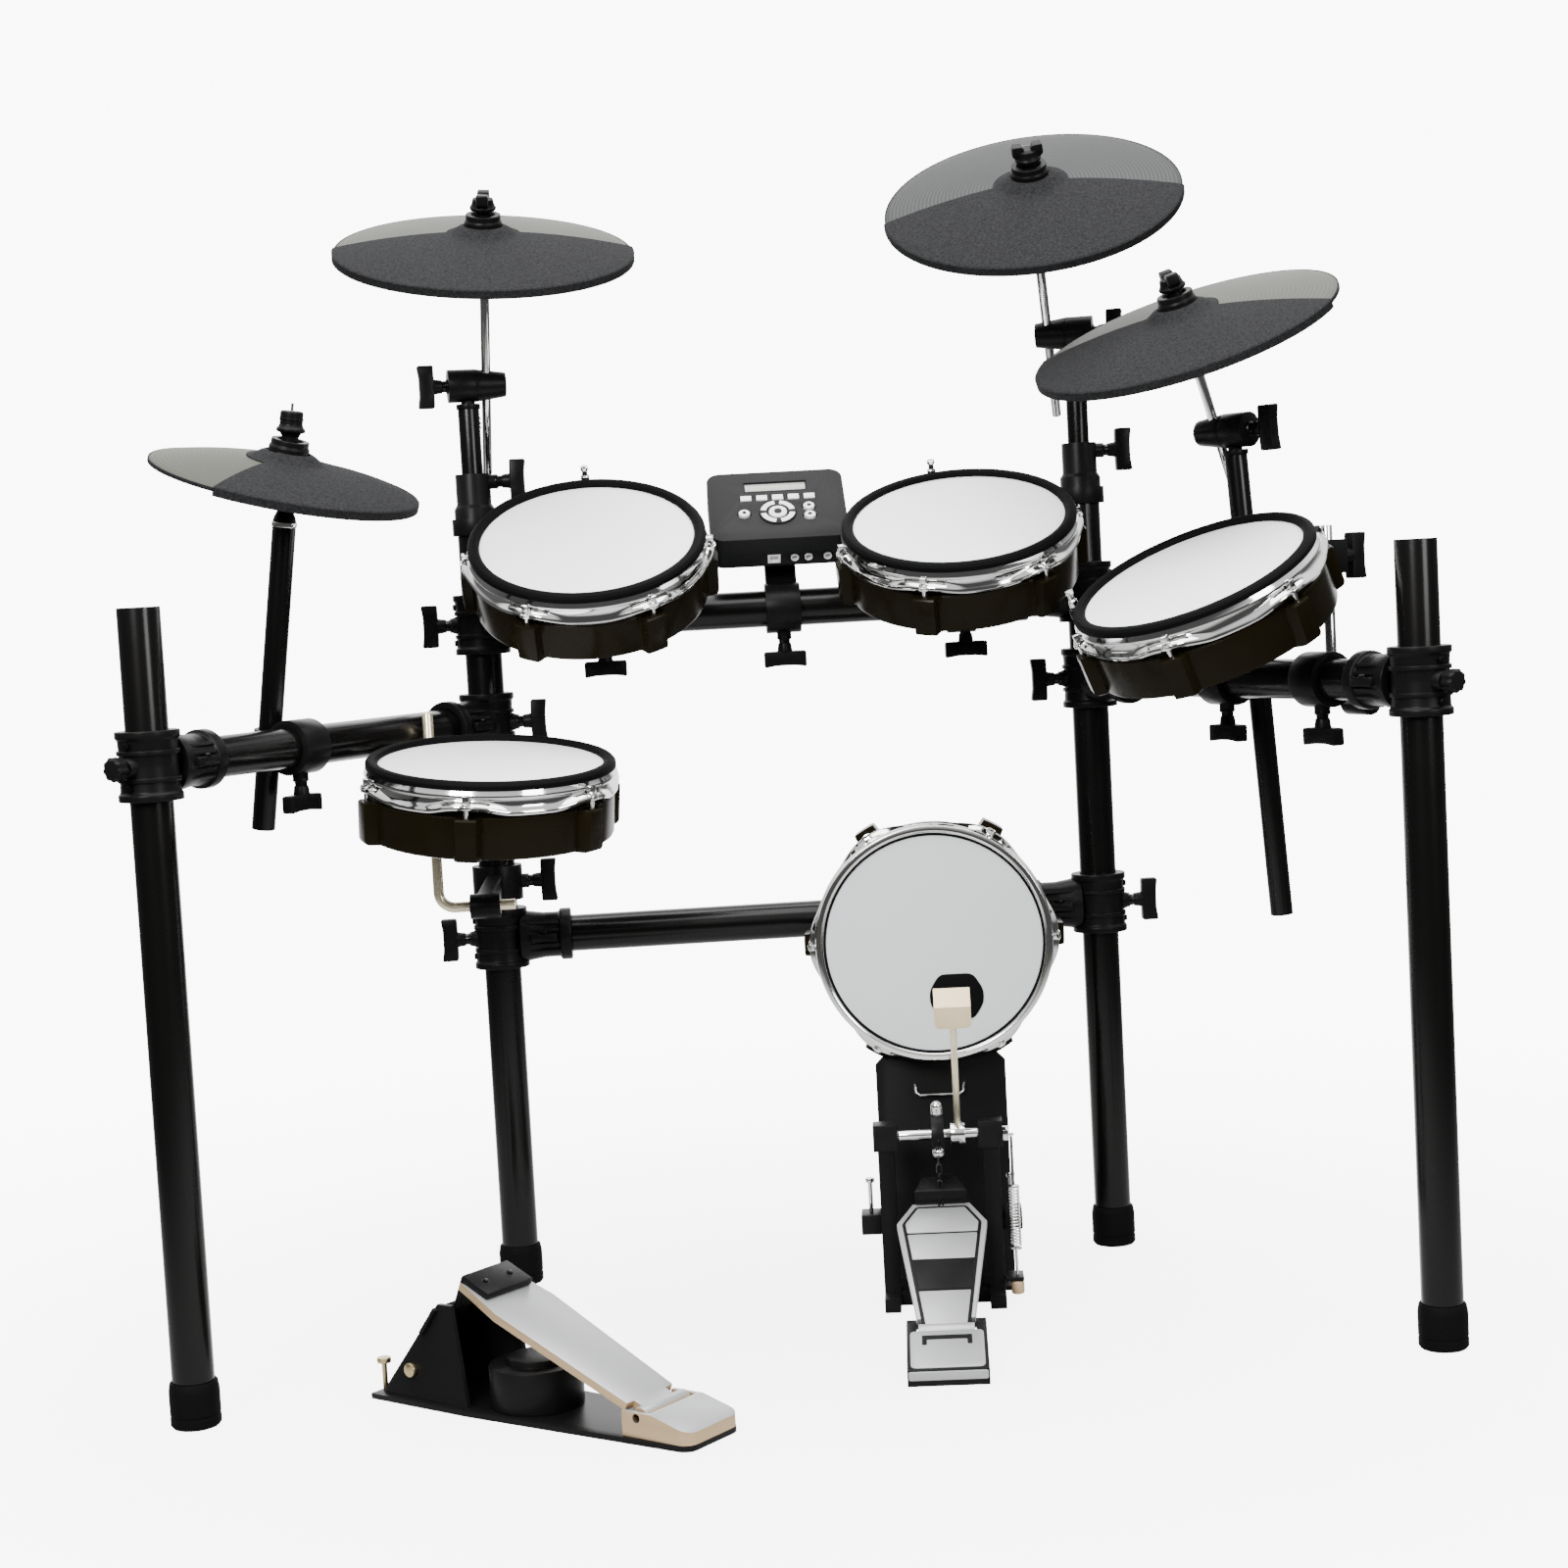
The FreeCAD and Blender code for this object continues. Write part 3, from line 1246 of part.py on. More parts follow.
class Treadle:
    """A footboard's own frame: y runs from its hinge to its toe, z off its upper face"""

    def __init__(self, floor, hinge, toe):
        along = toe - hinge
        self.length = along.Length
        cross = RIGHT if abs(along.x) < abs(along.y) else BACK
        own = Frame(hinge, unit(cross.cross(along)), cross)
        if own.z.z < 0:
            own = Frame(hinge, unit(along.cross(cross)), cross * -1)
        self.own = own
        self.floor = floor

    def place(self, shape):
        return self.floor.place(self.own.place(shape))

    def plate(self, end_w, wide_w, toe_w, wide_share, thick, clear):
        """The board's plate with its hinge knuckle"""
        points = [(-end_w / 2, clear), (-wide_w / 2, self.length * (1 - wide_share)),
                  (-toe_w / 2, self.length), (toe_w / 2, self.length),
                  (wide_w / 2, self.length * (1 - wide_share)), (end_w / 2, clear)]
        board = prism([Vector(x, y, -thick / 2) for x, y in points], UP * thick)
        inner_w = end_w - overrun
        knuckle = Part.makeCylinder(hinge_r * 2, inner_w, Vector(-inner_w / 2, 0, 0), RIGHT)
        neck = block(-end_w / 3, end_w / 3, 0, clear + overrun, -thick / 2, thick / 2)
        bore = Part.makeCylinder(hinge_r + running_fit, end_w * 2, Vector(-end_w, 0, 0), RIGHT)
        return fuse([board, knuckle, neck]).cut(bore)


kick_board = Treadle(kick_floor, Vector(pedal_u, -heel_v, hinge_z),
                     Vector(pedal_u, -board_toe_v, board_toe_z))
kick_plate = kick_board.plate(board_heel_w, board_wide_w, board_toe_w, board_wide_share, board_plate_t,
                              hinge_r * 4)
toe_start = kick_board.length - toe_block_len - toe_gap
toe_block = block(-toe_block_w / 2, toe_block_w / 2, toe_start, toe_start + toe_block_len,
                  board_plate_t / 2, board_plate_t / 2 + toe_block_h)
add("kick_footboard", kick_board.place(kick_plate), kick_board.place(toe_block))
pivots["kick_footboard"] = (kick_board.floor.point(pedal_u, -heel_v, hinge_z), kick_right)


def drive_chain():
    """The chain from the cam's front down to the board's toe, link by link"""
    y = -axle_v - cam_r - running_fit - chain_t
    links = []
    count = int((axle_z - board_toe_z) / chain_link) + 1
    for i in range(count):
        wide = chain_w / 2 if i % 2 else chain_w / 3
        low = axle_z - chain_link * (i + 1)
        links.append(block(pedal_u - wide, pedal_u + wide, y, y + chain_t, low, low + chain_link))
    chain = kick_floor.place(fuse(links)).cut(kick_board.place(kick_plate))
    return max(chain.Solids, key=lambda s: s.CenterOfMass.z)


add("drive_chain", drive_chain())


def beater_axle():
    """The axle with its cam, its beater hub and the spring's crank on the right end"""
    left, right = pedal_u - upright_gap / 2, pedal_u + upright_gap / 2
    crank_u = right + bearing_w / 2 + running_fit
    along = Vector(left - bearing_w / 2, -axle_v, axle_z)
    shaft = Part.makeCylinder(axle_r, crank_u + crank_w - along.x, along, RIGHT)
    cam = Part.makeCylinder(cam_r, cam_w, Vector(pedal_u - cam_w / 2, -axle_v, axle_z), RIGHT)
    hub = Part.makeCylinder(hub_r, hub_w, Vector(beater_u - hub_w / 2, -axle_v, axle_z), RIGHT)
    pin_end = Vector(crank_u + crank_w, -axle_v - crank_reach, axle_z)
    arm = block(crank_u, crank_u + crank_w, -axle_v - crank_reach - crank_r, crank_r - axle_v,
                axle_z - crank_r, axle_z + crank_r)
    pin = Part.makeCylinder(spring_hook_r, spring_u + spring_hook_r * 2 - pin_end.x, pin_end, RIGHT)
    return fuse([shaft, cam, hub, arm, pin])


beater_tilt = math.radians(beater_tilt_deg)
beater_dir = Vector(0, -math.sin(beater_tilt), math.cos(beater_tilt))
beater_frame = Frame(Vector(beater_u, -axle_v, axle_z), beater_dir, RIGHT)


def beater():
    """The beater's rod and its felt head"""
    half_w, half_t = beater_w / 2, beater_t / 2
    low = beater_reach - beater_h / 2
    shaft = rod(Vector(0, 0, hub_r), Vector(0, 0, low), beater_rod_r)
    felt = block(-half_w, half_w, -half_t, half_t, low, low + beater_h)
    along_t = [e for e in felt.Edges if abs(e.tangentAt(e.FirstParameter).y) > 0.99]
    return shaft, felt.makeFillet(beater_round, along_t)


def beater_hub_cut(shape):
    """The axle piece with a flat seat for the beater's rod"""
    seat = beater_frame.place(block(-hub_r, hub_r, -hub_r, hub_r, hub_r, hub_r * 2))
    return shape.cut(seat)


add("beater_axle", kick_floor.place(beater_hub_cut(beater_axle())))
add("beater", *[kick_floor.place(beater_frame.place(piece)) for piece in beater()])
pivots["beater"] = (kick_floor.point(beater_u, -axle_v, axle_z), kick_right)


# Pedal return spring: a helix of quarter-turn biarcs
def spring_point(turn):
    """A point on the coil's centre line and the direction there, after so many turns"""
    angle = turn * math.tau
    rise = spring_pitch / math.tau
    point = Vector(spring_r * math.cos(angle), spring_r * math.sin(angle), spring_pitch * turn)
    return point, unit(Vector(-spring_r * math.sin(angle), spring_r * math.cos(angle), rise))


def arc_from(start, heading, end):
    """The arc that leaves a point along a heading and ends at another point"""
    chord = end - start
    along = unit(chord)
    outward = unit(heading - along * heading.dot(along))
    bulge = chord.Length / 2 * math.tan(heading.getAngle(along) / 2)
    return Part.Arc(start, start + chord * 0.5 + outward * bulge, end).toShape()


def biarc(start, heading, end, end_heading):
    """Two arcs with one shared tangent, from a point and heading to another"""
    v = end - start
    t = heading + end_heading
    spread = 2.0 * (1.0 - heading.dot(end_heading))
    reach = (-v.dot(t) + math.sqrt(v.dot(t) ** 2 + spread * v.dot(v))) / spread
    middle = (start + end + (heading - end_heading) * reach) * 0.5
    second = arc_from(end, end_heading * -1, middle)
    return [arc_from(start, heading, middle), second]


def spring_coil():
    """One unbroken wire through every turn, with a short straight end at each side"""
    steps = spring_turns * quarter_turns
    stops = [spring_point(i / quarter_turns) for i in range(steps + 1)]
    straight = spring_wire_r * 2
    first, heading = stops[0]
    last, end_heading = stops[-1]
    edges = [Part.makeLine(first - heading * straight, first)]
    for (a, a_dir), (b, b_dir) in zip(stops, stops[1:]):
        edges += biarc(a, a_dir, b, b_dir)
    edges.append(Part.makeLine(last, last + end_heading * straight))
    section = Part.Wire([Part.makeCircle(spring_wire_r, first - heading * straight, heading)])
    return Part.Wire(edges).makePipeShell([section], True, False)


def least_spring_gap():
    """The smallest clear distance between the wire and its own next turns, on points along it"""
    points = [spring_point(i / gap_samples)[0] for i in range(spring_turns * gap_samples + 1)]
    apart = gap_samples // 2
    least = min(a.distanceToPoint(b) for i, a in enumerate(points) for b in points[i + apart:])
    return least - spring_wire_r * 2


def spring_end(low, high, plate_low):
    """A spring seat on its straight link"""
    axis_point = Vector(0, 0, plate_low)
    plate = Part.makeCylinder(spring_r + spring_wire_r, seat_t, axis_point)
    return fuse([plate, rod(Vector(0, 0, low), Vector(0, 0, high), spring_hook_r)])


coil_len = spring_turns * spring_pitch
end_room = spring_wire_r + spring_wire_r * spring_pitch / spring_r + seat_fit
spring_frame = Frame(Vector(spring_u, -axle_v - crank_reach, spring_low), UP)
top_seat = coil_len + end_room
crank_under = axle_z - spring_low - spring_hook_r - seat_fit
upper_end = spring_end(top_seat, crank_under, top_seat)
lower_end = spring_end(spring_anchor_z - spring_low, -end_room, -end_room - seat_t)
knob = Part.makeCylinder(spring_knob_r, spring_knob_h, Vector(0, 0, spring_anchor_z - anchor_t - spring_low
                                                              - spring_knob_h))
add("pedal_spring", *[kick_floor.place(spring_frame.place(piece))
                      for piece in (spring_coil(), upper_end, lower_end)])
add("kick_pedal_frame", kick_floor.place(spring_frame.place(knob)))
print("pedal spring: least gap to itself %.2f mm" % least_spring_gap())

# Hi-hat pedal, in its own floor frame: x from the back tip to the heel, y across
hat_floor = Frame(at(hat_pedal_x, hat_pedal_y, 0), UP, level(hat_pedal_turn_deg))


def upright_edges(solid, s):
    """The upright edges of a solid at a place along the pedal"""
    return [e for e in solid.Edges if all(abs(v.X - s) < seat_fit for v in e.Vertexes)
            and abs(e.Vertexes[0].Z - e.Vertexes[-1].Z) > seat_fit]


def hat_pedal_base():
    """The floor plate, cheeks, back cover, sensor drum and heel block"""
    mid = hat_mid_w
    half, heel_half = hat_w / 2, hat_heel_w / 2
    base = prism([Vector(0, mid - half, 0), Vector(hat_wide_s, mid - half, 0),
                  Vector(hat_len, mid - heel_half, 0),
                  Vector(hat_len, mid + heel_half, 0), Vector(hat_wide_s, mid + half, 0),
                  Vector(0, mid + half, 0)], UP * hat_base_t)
    base = base.makeFillet(hat_end_round, upright_edges(base, hat_len))
    cheek_profile = [(hat_cheek_back, hat_base_t), (hat_cheek_back, hat_base_t * 2),
                     (hat_cheek_top_s, hat_cheek_top), (hat_toe_s, hat_cheek_top),
                     (hat_cheek_front_s, hat_base_t)]
    inner = hat_wide_w / 2
    pieces = [base]
    for w in (mid - inner - hat_cheek_t, mid + inner):
        pieces.append(prism([Vector(s, w, z) for s, z in cheek_profile], BACK * hat_cheek_t))
    slope = Vector(hat_cheek_top_s - hat_cheek_back, 0, hat_cheek_top - hat_base_t * 2)
    foot_point = Vector(hat_cheek_back, mid - inner, hat_base_t * 2)
    crest = foot_point + slope * hat_cover_share
    cover_t = RIGHT * hat_cheek_t
    cover = prism([foot_point, crest, crest + cover_t, foot_point + cover_t], BACK * hat_wide_w)
    pieces.append(cover)
    nose = hat_hinge_s - hinge_r * 4
    heel = prism([Vector(nose, mid - heel_half, hat_base_t), Vector(nose, mid - heel_half, hat_heel_h),
                  Vector(hat_hinge_s + hinge_r * 4, mid - heel_half, hat_heel_h),
                  Vector(hat_len, mid - heel_half, hat_heel_end_h),
                  Vector(hat_len, mid - heel_half, hat_base_t)],
                 BACK * hat_heel_w)
    heel = heel.makeFillet(hat_end_round, upright_edges(heel, hat_len))
    slot_half = hat_board_heel_w / 2 + running_fit * 2
    slot = block(nose - overrun, hat_hinge_s + hinge_r * 3, mid - slot_half, mid + slot_half, hat_base_t,
                 hat_heel_h * 2)
    pin = Part.makeCylinder(hinge_r, hat_heel_w, Vector(hat_hinge_s, mid - heel_half, hat_hinge_z), BACK)
    pieces.append(heel.cut(slot))
    drum = [Part.makeCylinder(hat_drum_r, hat_drum_h, Vector(hat_drum_s, mid, hat_base_t)),
            Part.makeCylinder(hat_plunger_r, hat_drum_h + hat_plunger_h, Vector(hat_drum_s, mid, hat_base_t))]
    screw_at = Vector(hat_cheek_back / 2, mid - half + hat_bolt_r * 2, hat_base_t)
    screw = fuse([rod(screw_at, screw_at + UP * hat_screw_h, hat_screw_r),
                  rod(screw_at + UP * hat_screw_h, screw_at + UP * (hat_screw_h + hat_base_t), hat_bolt_r)])
    bolt_at = Vector(hat_bolt_s, mid - inner - hat_cheek_t, hat_bolt_z)
    bolt = rod(bolt_at - BACK * hat_cheek_t, bolt_at, hat_bolt_r)
    return [fuse(pieces).cut(pin), pin, fuse(drum), screw, bolt]


add("hihat_pedal_base", *[hat_floor.place(piece) for piece in hat_pedal_base()])
hat_board = Treadle(hat_floor, Vector(hat_hinge_s, hat_mid_w, hat_hinge_z),
                    Vector(hat_toe_s, hat_mid_w, hat_toe_z))
hat_plate = hat_board.plate(hat_board_heel_w, hat_wide_w, hat_toe_w, hat_wide_share, hat_board_t, hinge_r * 4)
hat_cap = block(-hat_toe_w / 2, hat_toe_w / 2, hat_board.length - hat_cap_len, hat_board.length,
                hat_board_t / 2, hat_board_t / 2 + hat_cap_t)
add("hihat_footboard", hat_board.place(hat_plate), hat_board.place(hat_cap))
pivots["hihat_footboard"] = (hat_floor.point(hat_hinge_s, hat_mid_w, hat_hinge_z), hat_floor.y)

os.makedirs("parts", exist_ok=True)
for node_name, solids in nodes.items():
    Part.makeCompound(solids).exportStep("parts/%s.step" % node_name)
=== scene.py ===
"""The visible pieces of an electronic drum kit, built on its moving frame."""
import json
import math

import bmesh
import bpy
import numpy as np
from bpy.props import FloatProperty, FloatVectorProperty, IntProperty, PointerProperty
from mathutils import Matrix, Vector

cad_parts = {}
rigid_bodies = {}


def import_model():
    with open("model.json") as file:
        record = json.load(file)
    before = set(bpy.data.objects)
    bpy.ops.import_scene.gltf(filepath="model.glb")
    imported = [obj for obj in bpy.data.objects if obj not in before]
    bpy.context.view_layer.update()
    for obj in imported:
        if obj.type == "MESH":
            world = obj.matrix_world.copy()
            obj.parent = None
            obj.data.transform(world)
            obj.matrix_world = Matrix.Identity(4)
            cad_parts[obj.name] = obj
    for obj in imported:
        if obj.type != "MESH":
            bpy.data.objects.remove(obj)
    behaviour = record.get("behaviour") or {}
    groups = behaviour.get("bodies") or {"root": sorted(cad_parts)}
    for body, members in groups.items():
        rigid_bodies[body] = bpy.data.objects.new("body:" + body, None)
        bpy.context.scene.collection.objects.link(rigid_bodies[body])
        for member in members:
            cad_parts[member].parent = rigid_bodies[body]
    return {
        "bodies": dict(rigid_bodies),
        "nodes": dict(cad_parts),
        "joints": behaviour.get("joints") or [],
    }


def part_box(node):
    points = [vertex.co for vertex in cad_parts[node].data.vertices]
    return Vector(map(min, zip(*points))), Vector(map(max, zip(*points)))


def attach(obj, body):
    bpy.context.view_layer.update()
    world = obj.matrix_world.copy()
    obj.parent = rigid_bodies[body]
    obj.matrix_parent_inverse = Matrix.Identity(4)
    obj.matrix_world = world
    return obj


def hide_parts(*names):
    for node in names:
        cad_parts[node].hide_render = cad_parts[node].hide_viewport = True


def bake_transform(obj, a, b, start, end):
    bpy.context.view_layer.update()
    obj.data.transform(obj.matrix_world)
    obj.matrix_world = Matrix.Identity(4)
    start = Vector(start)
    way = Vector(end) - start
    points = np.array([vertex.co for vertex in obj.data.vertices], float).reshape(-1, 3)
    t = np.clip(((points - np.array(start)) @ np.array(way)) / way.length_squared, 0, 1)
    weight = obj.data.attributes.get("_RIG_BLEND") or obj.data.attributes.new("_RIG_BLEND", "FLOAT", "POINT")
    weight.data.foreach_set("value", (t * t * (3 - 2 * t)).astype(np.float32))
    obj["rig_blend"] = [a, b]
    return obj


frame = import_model()

bl_info = {
    "name": "Electronic drum kit",
    "version": (1, 0, 0),
    "blender": (4, 5, 0),
    "location": "View3D > Sidebar > Drum kit",
    "description": "Builds the visible pieces of an electronic drum kit on its moving frame",
    "category": "Add Mesh",
}

UP = Vector((0, 0, 1))
RIGHT = Vector((1, 0, 0))
BACK = Vector((0, 1, 0))

# Tolerances: of spans, of points and of a film that is too thin to show; how slender a tube is
SAME_SIZE = 0.0012
SAME_POINT = 1e-6
FILM = 0.001
SLENDER = 3

# Faces within the first angle are one face, edges over the second are rounded, over the third look sharp
FLAT_ANGLE, HARD_ANGLE, SHARP_ANGLE = (math.radians(a) for a in (0.4, 50, 38))

# How many sides small, plain, large and lobed round shapes have
COARSE, ROUND, FINE, LOBED = 24, 48, 120, 300


def length(text, default):
    return FloatProperty(name=text, description=text, default=default, unit="LENGTH", precision=4)


def angle(text, degrees):
    return FloatProperty(name=text, description=text, default=math.radians(degrees), subtype="ANGLE")


def amount(text, default):
    return IntProperty(name=text, description=text, default=default, min=1)


def level(text, default, unit="NONE"):
    return FloatProperty(name=text, description=text, default=default, unit=unit)


def colour(text, default):
    return FloatVectorProperty(name=text, description=text, default=default, subtype="COLOR", size=3, min=0,
                               max=1)


class RackSizes(bpy.types.PropertyGroup):
    tube_r: length("Outside radius of the rack's posts and bars", 0.01905)
    wall: length("Wall of every tube", 0.0016)
    foot_r: length("Outside radius of a rubber foot", 0.0226)
    foot_h: length("Height of a rubber foot", 0.041)
    clamp_r: length("Outside radius of a tee clamp's sleeve", 0.0265)
    clamp_h: length("Height of a tee clamp's sleeve", 0.062)
    clamp_rim: length("Radius of the sleeve's end rims", 0.0285)
    socket_r: length("Radius of a tee clamp's bar socket", 0.0236)
    socket_rim: length("Radius of the socket's mouth", 0.027)
    socket_reach: length("From the post's middle to the socket's mouth", 0.074)
    boss_reach: length("From the post's middle to the bolt boss's face", 0.031)
    boss_r: length("Radius of the bolt boss", 0.0075)
    upper_bar_z: length("Height of the upper cross bar", 0.696)
    lower_bar_z: length("Height of the lower cross bar", 0.3678)
    left_bar_z: length("Height of the left side bar", 0.593)
    right_bar_z: length("Height of the right side bar", 0.606)
    wing_span: length("Length of a wing bolt's handle", 0.044)
    wing_depth: length("Depth of a wing bolt's handle along its stem", 0.018)
    wing_thick: length("Thickness of a wing bolt's handle", 0.013)
    stem: length("Free length of a wing bolt's stem", 0.013)
    stem_r: length("Radius of a wing bolt's stem", 0.004)
    knob_r: length("Radius of a front clamp's hand knob", 0.011)
    knob_h: length("Height of a hand knob", 0.012)
    knob_stem: length("Free length of a hand knob's stem", 0.005)
    edge: length("Rounding of moulded edges", 0.0009)


class PadSizes(bpy.types.PropertyGroup):
    head_r: length("Radius of the head under the rim", 0.1134)
    head_t: length("Thickness of the head", 0.002)
    rim_in: length("Inside radius of the rubber rim", 0.1065)
    rim_out: length("Outside radius of the rubber rim", 0.1184)
    rim_h: length("Height of the rim over the head", 0.006)
    rim_skirt: length("How far the rim reaches down outside the hoop", 0.0022)
    hoop_in: length("Inside radius of the steel hoop", 0.1136)
    hoop_out: length("Outside radius of the hoop's wall", 0.1176)
    hoop_h: length("Height of the hoop between its bolts", 0.027)
    flare: length("Radius of the hoop's lower flange at its ears", 0.1255)
    shell_r: length("Radius of the shell's wall", 0.117)
    shell_top: length("Depth of the shell's shoulder under the head", 0.0275)
    shell_depth: length("Depth of the shell's floor under the head", 0.068)
    lug_out: length("How far a lug bulges out of the wall", 0.0115)
    kick_lug: length("How far a lug of the kick pad bulges out", 0.0145)
    lug_half: angle("Half the width of a lug, as an angle", 6.0)
    lugs: amount("Tension bolts round a pad", 6)
    bolt_circle: length("Radius of the circle of tension bolts", 0.122)
    bolt_r: length("Radius of a tension bolt", 0.0026)
    bolt_low: length("Depth of a bolt's lower end under the head", 0.046)
    bolt_top: length("Depth of the ears' tops under the head", 0.015)
    bolt_head: length("Half the width of a square bolt head", 0.0036)
    patch_w: length("Width of the kick head's beater patch", 0.054)
    patch_h: length("Height of the beater patch", 0.046)


class CymbalSizes(bpy.types.PropertyGroup):
    crash_r: length("Radius of the crash and ride pads", 0.1524)
    hat_r: length("Radius of the hi-hat pad", 0.1275)
    bow_t: length("Thickness of the moulded bow", 0.0032)
    bow_rise: length("Rise of the bow from rim to bell", 0.017)
    bow_swell: length("How far the bow curves above a straight cone", 0.0022)
    bell_r: length("Radius where the bell starts", 0.038)
    bell_rise: length("Height of the bell over the rim", 0.025)
    bell_flat: length("Radius of the bell's flat top", 0.02)
    hole_r: length("Radius of the middle hole", 0.009)
    rubber_t: length("Thickness of the rubber zone", 0.0022)
    skirt: length("How far the rubber hangs over the rim", 0.004)
    lip: length("Width of the rubber outside the bow", 0.002)
    cup_r: length("Radius of the rocker cup", 0.019)
    cup_h: length("Height of the rocker cup", 0.013)
    left_start: angle("Where the left crash's rubber starts", -180)
    left_end: angle("Where the left crash's rubber ends", 8)
    right_start: angle("Where the right crash's rubber starts", -180)
    right_end: angle("Where the right crash's rubber ends", -12)
    ride_start: angle("Where the ride's rubber starts", -209)
    ride_end: angle("Where the ride's rubber ends", -34)
    hat_start: angle("Where the hi-hat's rubber starts", -113)
    hat_end: angle("Where the hi-hat's rubber ends", 35)


class PedalSizes(bpy.types.PropertyGroup):
    spring_r: length("Middle radius of the return spring", 0.005)
    wire_r: length("Radius of the spring's wire", 0.001)
    coils: amount("Turns of the return spring", 18)
    cam_w: length("Width of the cam on the axle", 0.0126)
    link: length("Length of one chain link", 0.009)
    link_w: length("Width of one chain link", 0.007)
    link_r: length("Radius of a link's wire", 0.0011)
    panel_sink: length("Depth of the footboards' lines", 0.0006)
    screw_r: length("Radius of the two screws on the cam's rim", 0.0058)
    felt_trim: length("How much the felt is thinned on the player's side", 0.012)
    felt_top: length("How much the felt's top is lowered", 0.004)


class Finishes(bpy.types.PropertyGroup):
    tube: colour("Black gloss tube", (0.0030, 0.0028, 0.0026))
    moulding: colour("Black moulded plastic", (0.0045, 0.0045, 0.0045))
    shell: colour("Brownish black gloss pad shell", (0.0080, 0.0062, 0.0028))
    chrome: colour("Chromed steel", (0.80, 0.80, 0.79))
    satin: colour("Satin cast metal", (0.386, 0.391, 0.395))
    # This colour is the spring knob's own tan, and also a painted warm reflection on the upright sides of the
    # hi-hat footboard and heel
    tan: colour("Warm sides of the cast footboard", (0.50, 0.36, 0.21))
    rubber: colour("Black rubber", (0.0032, 0.0032, 0.0034))
    zone: colour("Charcoal rubber of the playing zones", (0.0148, 0.015, 0.0158))
    bow: colour("Grey moulded bow", (0.058, 0.060, 0.050))
    dark_bow: colour("Darker grey bow of the right crash", (0.030, 0.031, 0.031))
    hat_bow: colour("Olive grey bow of the hi-hat", (0.046, 0.049, 0.038))
    head: colour("White drum head", (0.93, 0.94, 0.94))
    kick_head: colour("Light grey kick head", (0.60, 0.62, 0.63))
    case: colour("Dark grey module case", (0.0095, 0.0095, 0.0102))
    key: colour("White buttons", (0.80, 0.80, 0.79))
    display: colour("Pale display", (0.27, 0.28, 0.25))
    felt: colour("Cream beater felt", (0.90, 0.74, 0.46))
    warm: colour("Yellowish plated rods", (0.86, 0.76, 0.55))
    brass: colour("Yellowish plated screws", (0.55, 0.45, 0.25))


class StageSettings(bpy.types.PropertyGroup):
    camera: FloatVectorProperty(name="Where the camera stands", description="Where the camera stands", size=3,
                                unit="LENGTH", precision=5, default=(-0.118986, -2.564749, 0.728243))
    yaw: angle("Turn of the camera from straight ahead", -2.733)
    pitch: angle("How far the camera looks down", 4.3946)
    roll: angle("How far the camera leans over", 3.0825)
    lens: level("Focal length on a 36 mm sensor", 61.823)
    floor: length("Radius of the floor, which fades out to its edge", 1.9)
    floor_colour: colour("Pale floor", (0.93, 0.93, 0.93))
    back_light: level("Brightness of the backdrop", 10.0)
    rear_light: level("Brightness of the surroundings behind", 3.0)
    side_light: level("Brightness of the surroundings at the sides", 0.7)
    front_light: level("Brightness of the surroundings in front", 0.4)
    dark_below: level("Height of direction under which the surroundings are dark", 0.1)
    bright_above: level("Height of direction over which the surroundings are bright", 0.45)
    low_share: level("Share of the surroundings' light near the horizon", 0.2)
    high_share: level("Share of the surroundings' light from above", 2.4)
    key_power: level("Power of the front light", 150.0, "POWER")
    fill_power: level("Power of the side light", 60.0, "POWER")
    top_power: level("Power of the big light overhead", 260.0, "POWER")


# Shapes: each gives its points and faces, drawn about its own origin
class Form:
    """The points and faces of one piece, gathered shape by shape"""

    def __init__(self, shape=None, place=None):
        self.points = []
        self.faces = []
        if shape:
            self.add(shape, place)

    def add(self, shape, place=None):
        points, faces = shape
        base = len(self.points)
        for p in points:
            p = Vector(p)
            self.points.append(place @ p if place else p)
        self.faces += [[base + i for i in face] for face in faces]
        return self


def axes(origin, z, x_hint=RIGHT):
    """A place with its z along a direction and its x nearest a hint"""
    z = Vector(z).normalized()
    x = (Vector(x_hint) - z * z.dot(Vector(x_hint))).normalized()
    y = z.cross(x)
    place = Matrix((x, y, z)).transposed().to_4x4()
    place.translation = Vector(origin)
    return place


def skin(rings, wrap, loop):
    """Faces over a row of rings that all have the same number of points"""
    n = len(rings[0])
    points = [p for ring in rings for p in ring]
    faces = []
    for i in range(len(rings) if loop else len(rings) - 1):
        j = (i + 1) % len(rings)
        for k in range(n if wrap else n - 1):
            m = (k + 1) % n
            faces.append((i * n + k, i * n + m, j * n + m, j * n + k))
    if wrap and not loop:
        last = (len(rings) - 1) * n
        faces.append(tuple(reversed(range(n))))
        faces.append(tuple(last + k for k in range(n)))
    return points, faces


def oblong(x0, y0, x1, y1):
    """A rectangle's corners, anticlockwise"""
    return [(x0, y0), (x1, y0), (x1, y1), (x0, y1)]


def rounded(points, radius, steps=3):
    """A closed outline with its corners rounded"""
    made = []
    n = len(points)
    for i in range(n):
        before, here, after = (Vector(points[j % n]) for j in (i - 1, i, i + 1))
        a, b = before - here, after - here
        reach = min(radius, a.length * 0.45, b.length * 0.45)
        start, end = here + a.normalized() * reach, here + b.normalized() * reach
        for s in range(steps + 1):
            t = s / steps
            made.append(tuple(start * (1 - t) ** 2 + here * 2 * t * (1 - t) + end * t * t))
    return made


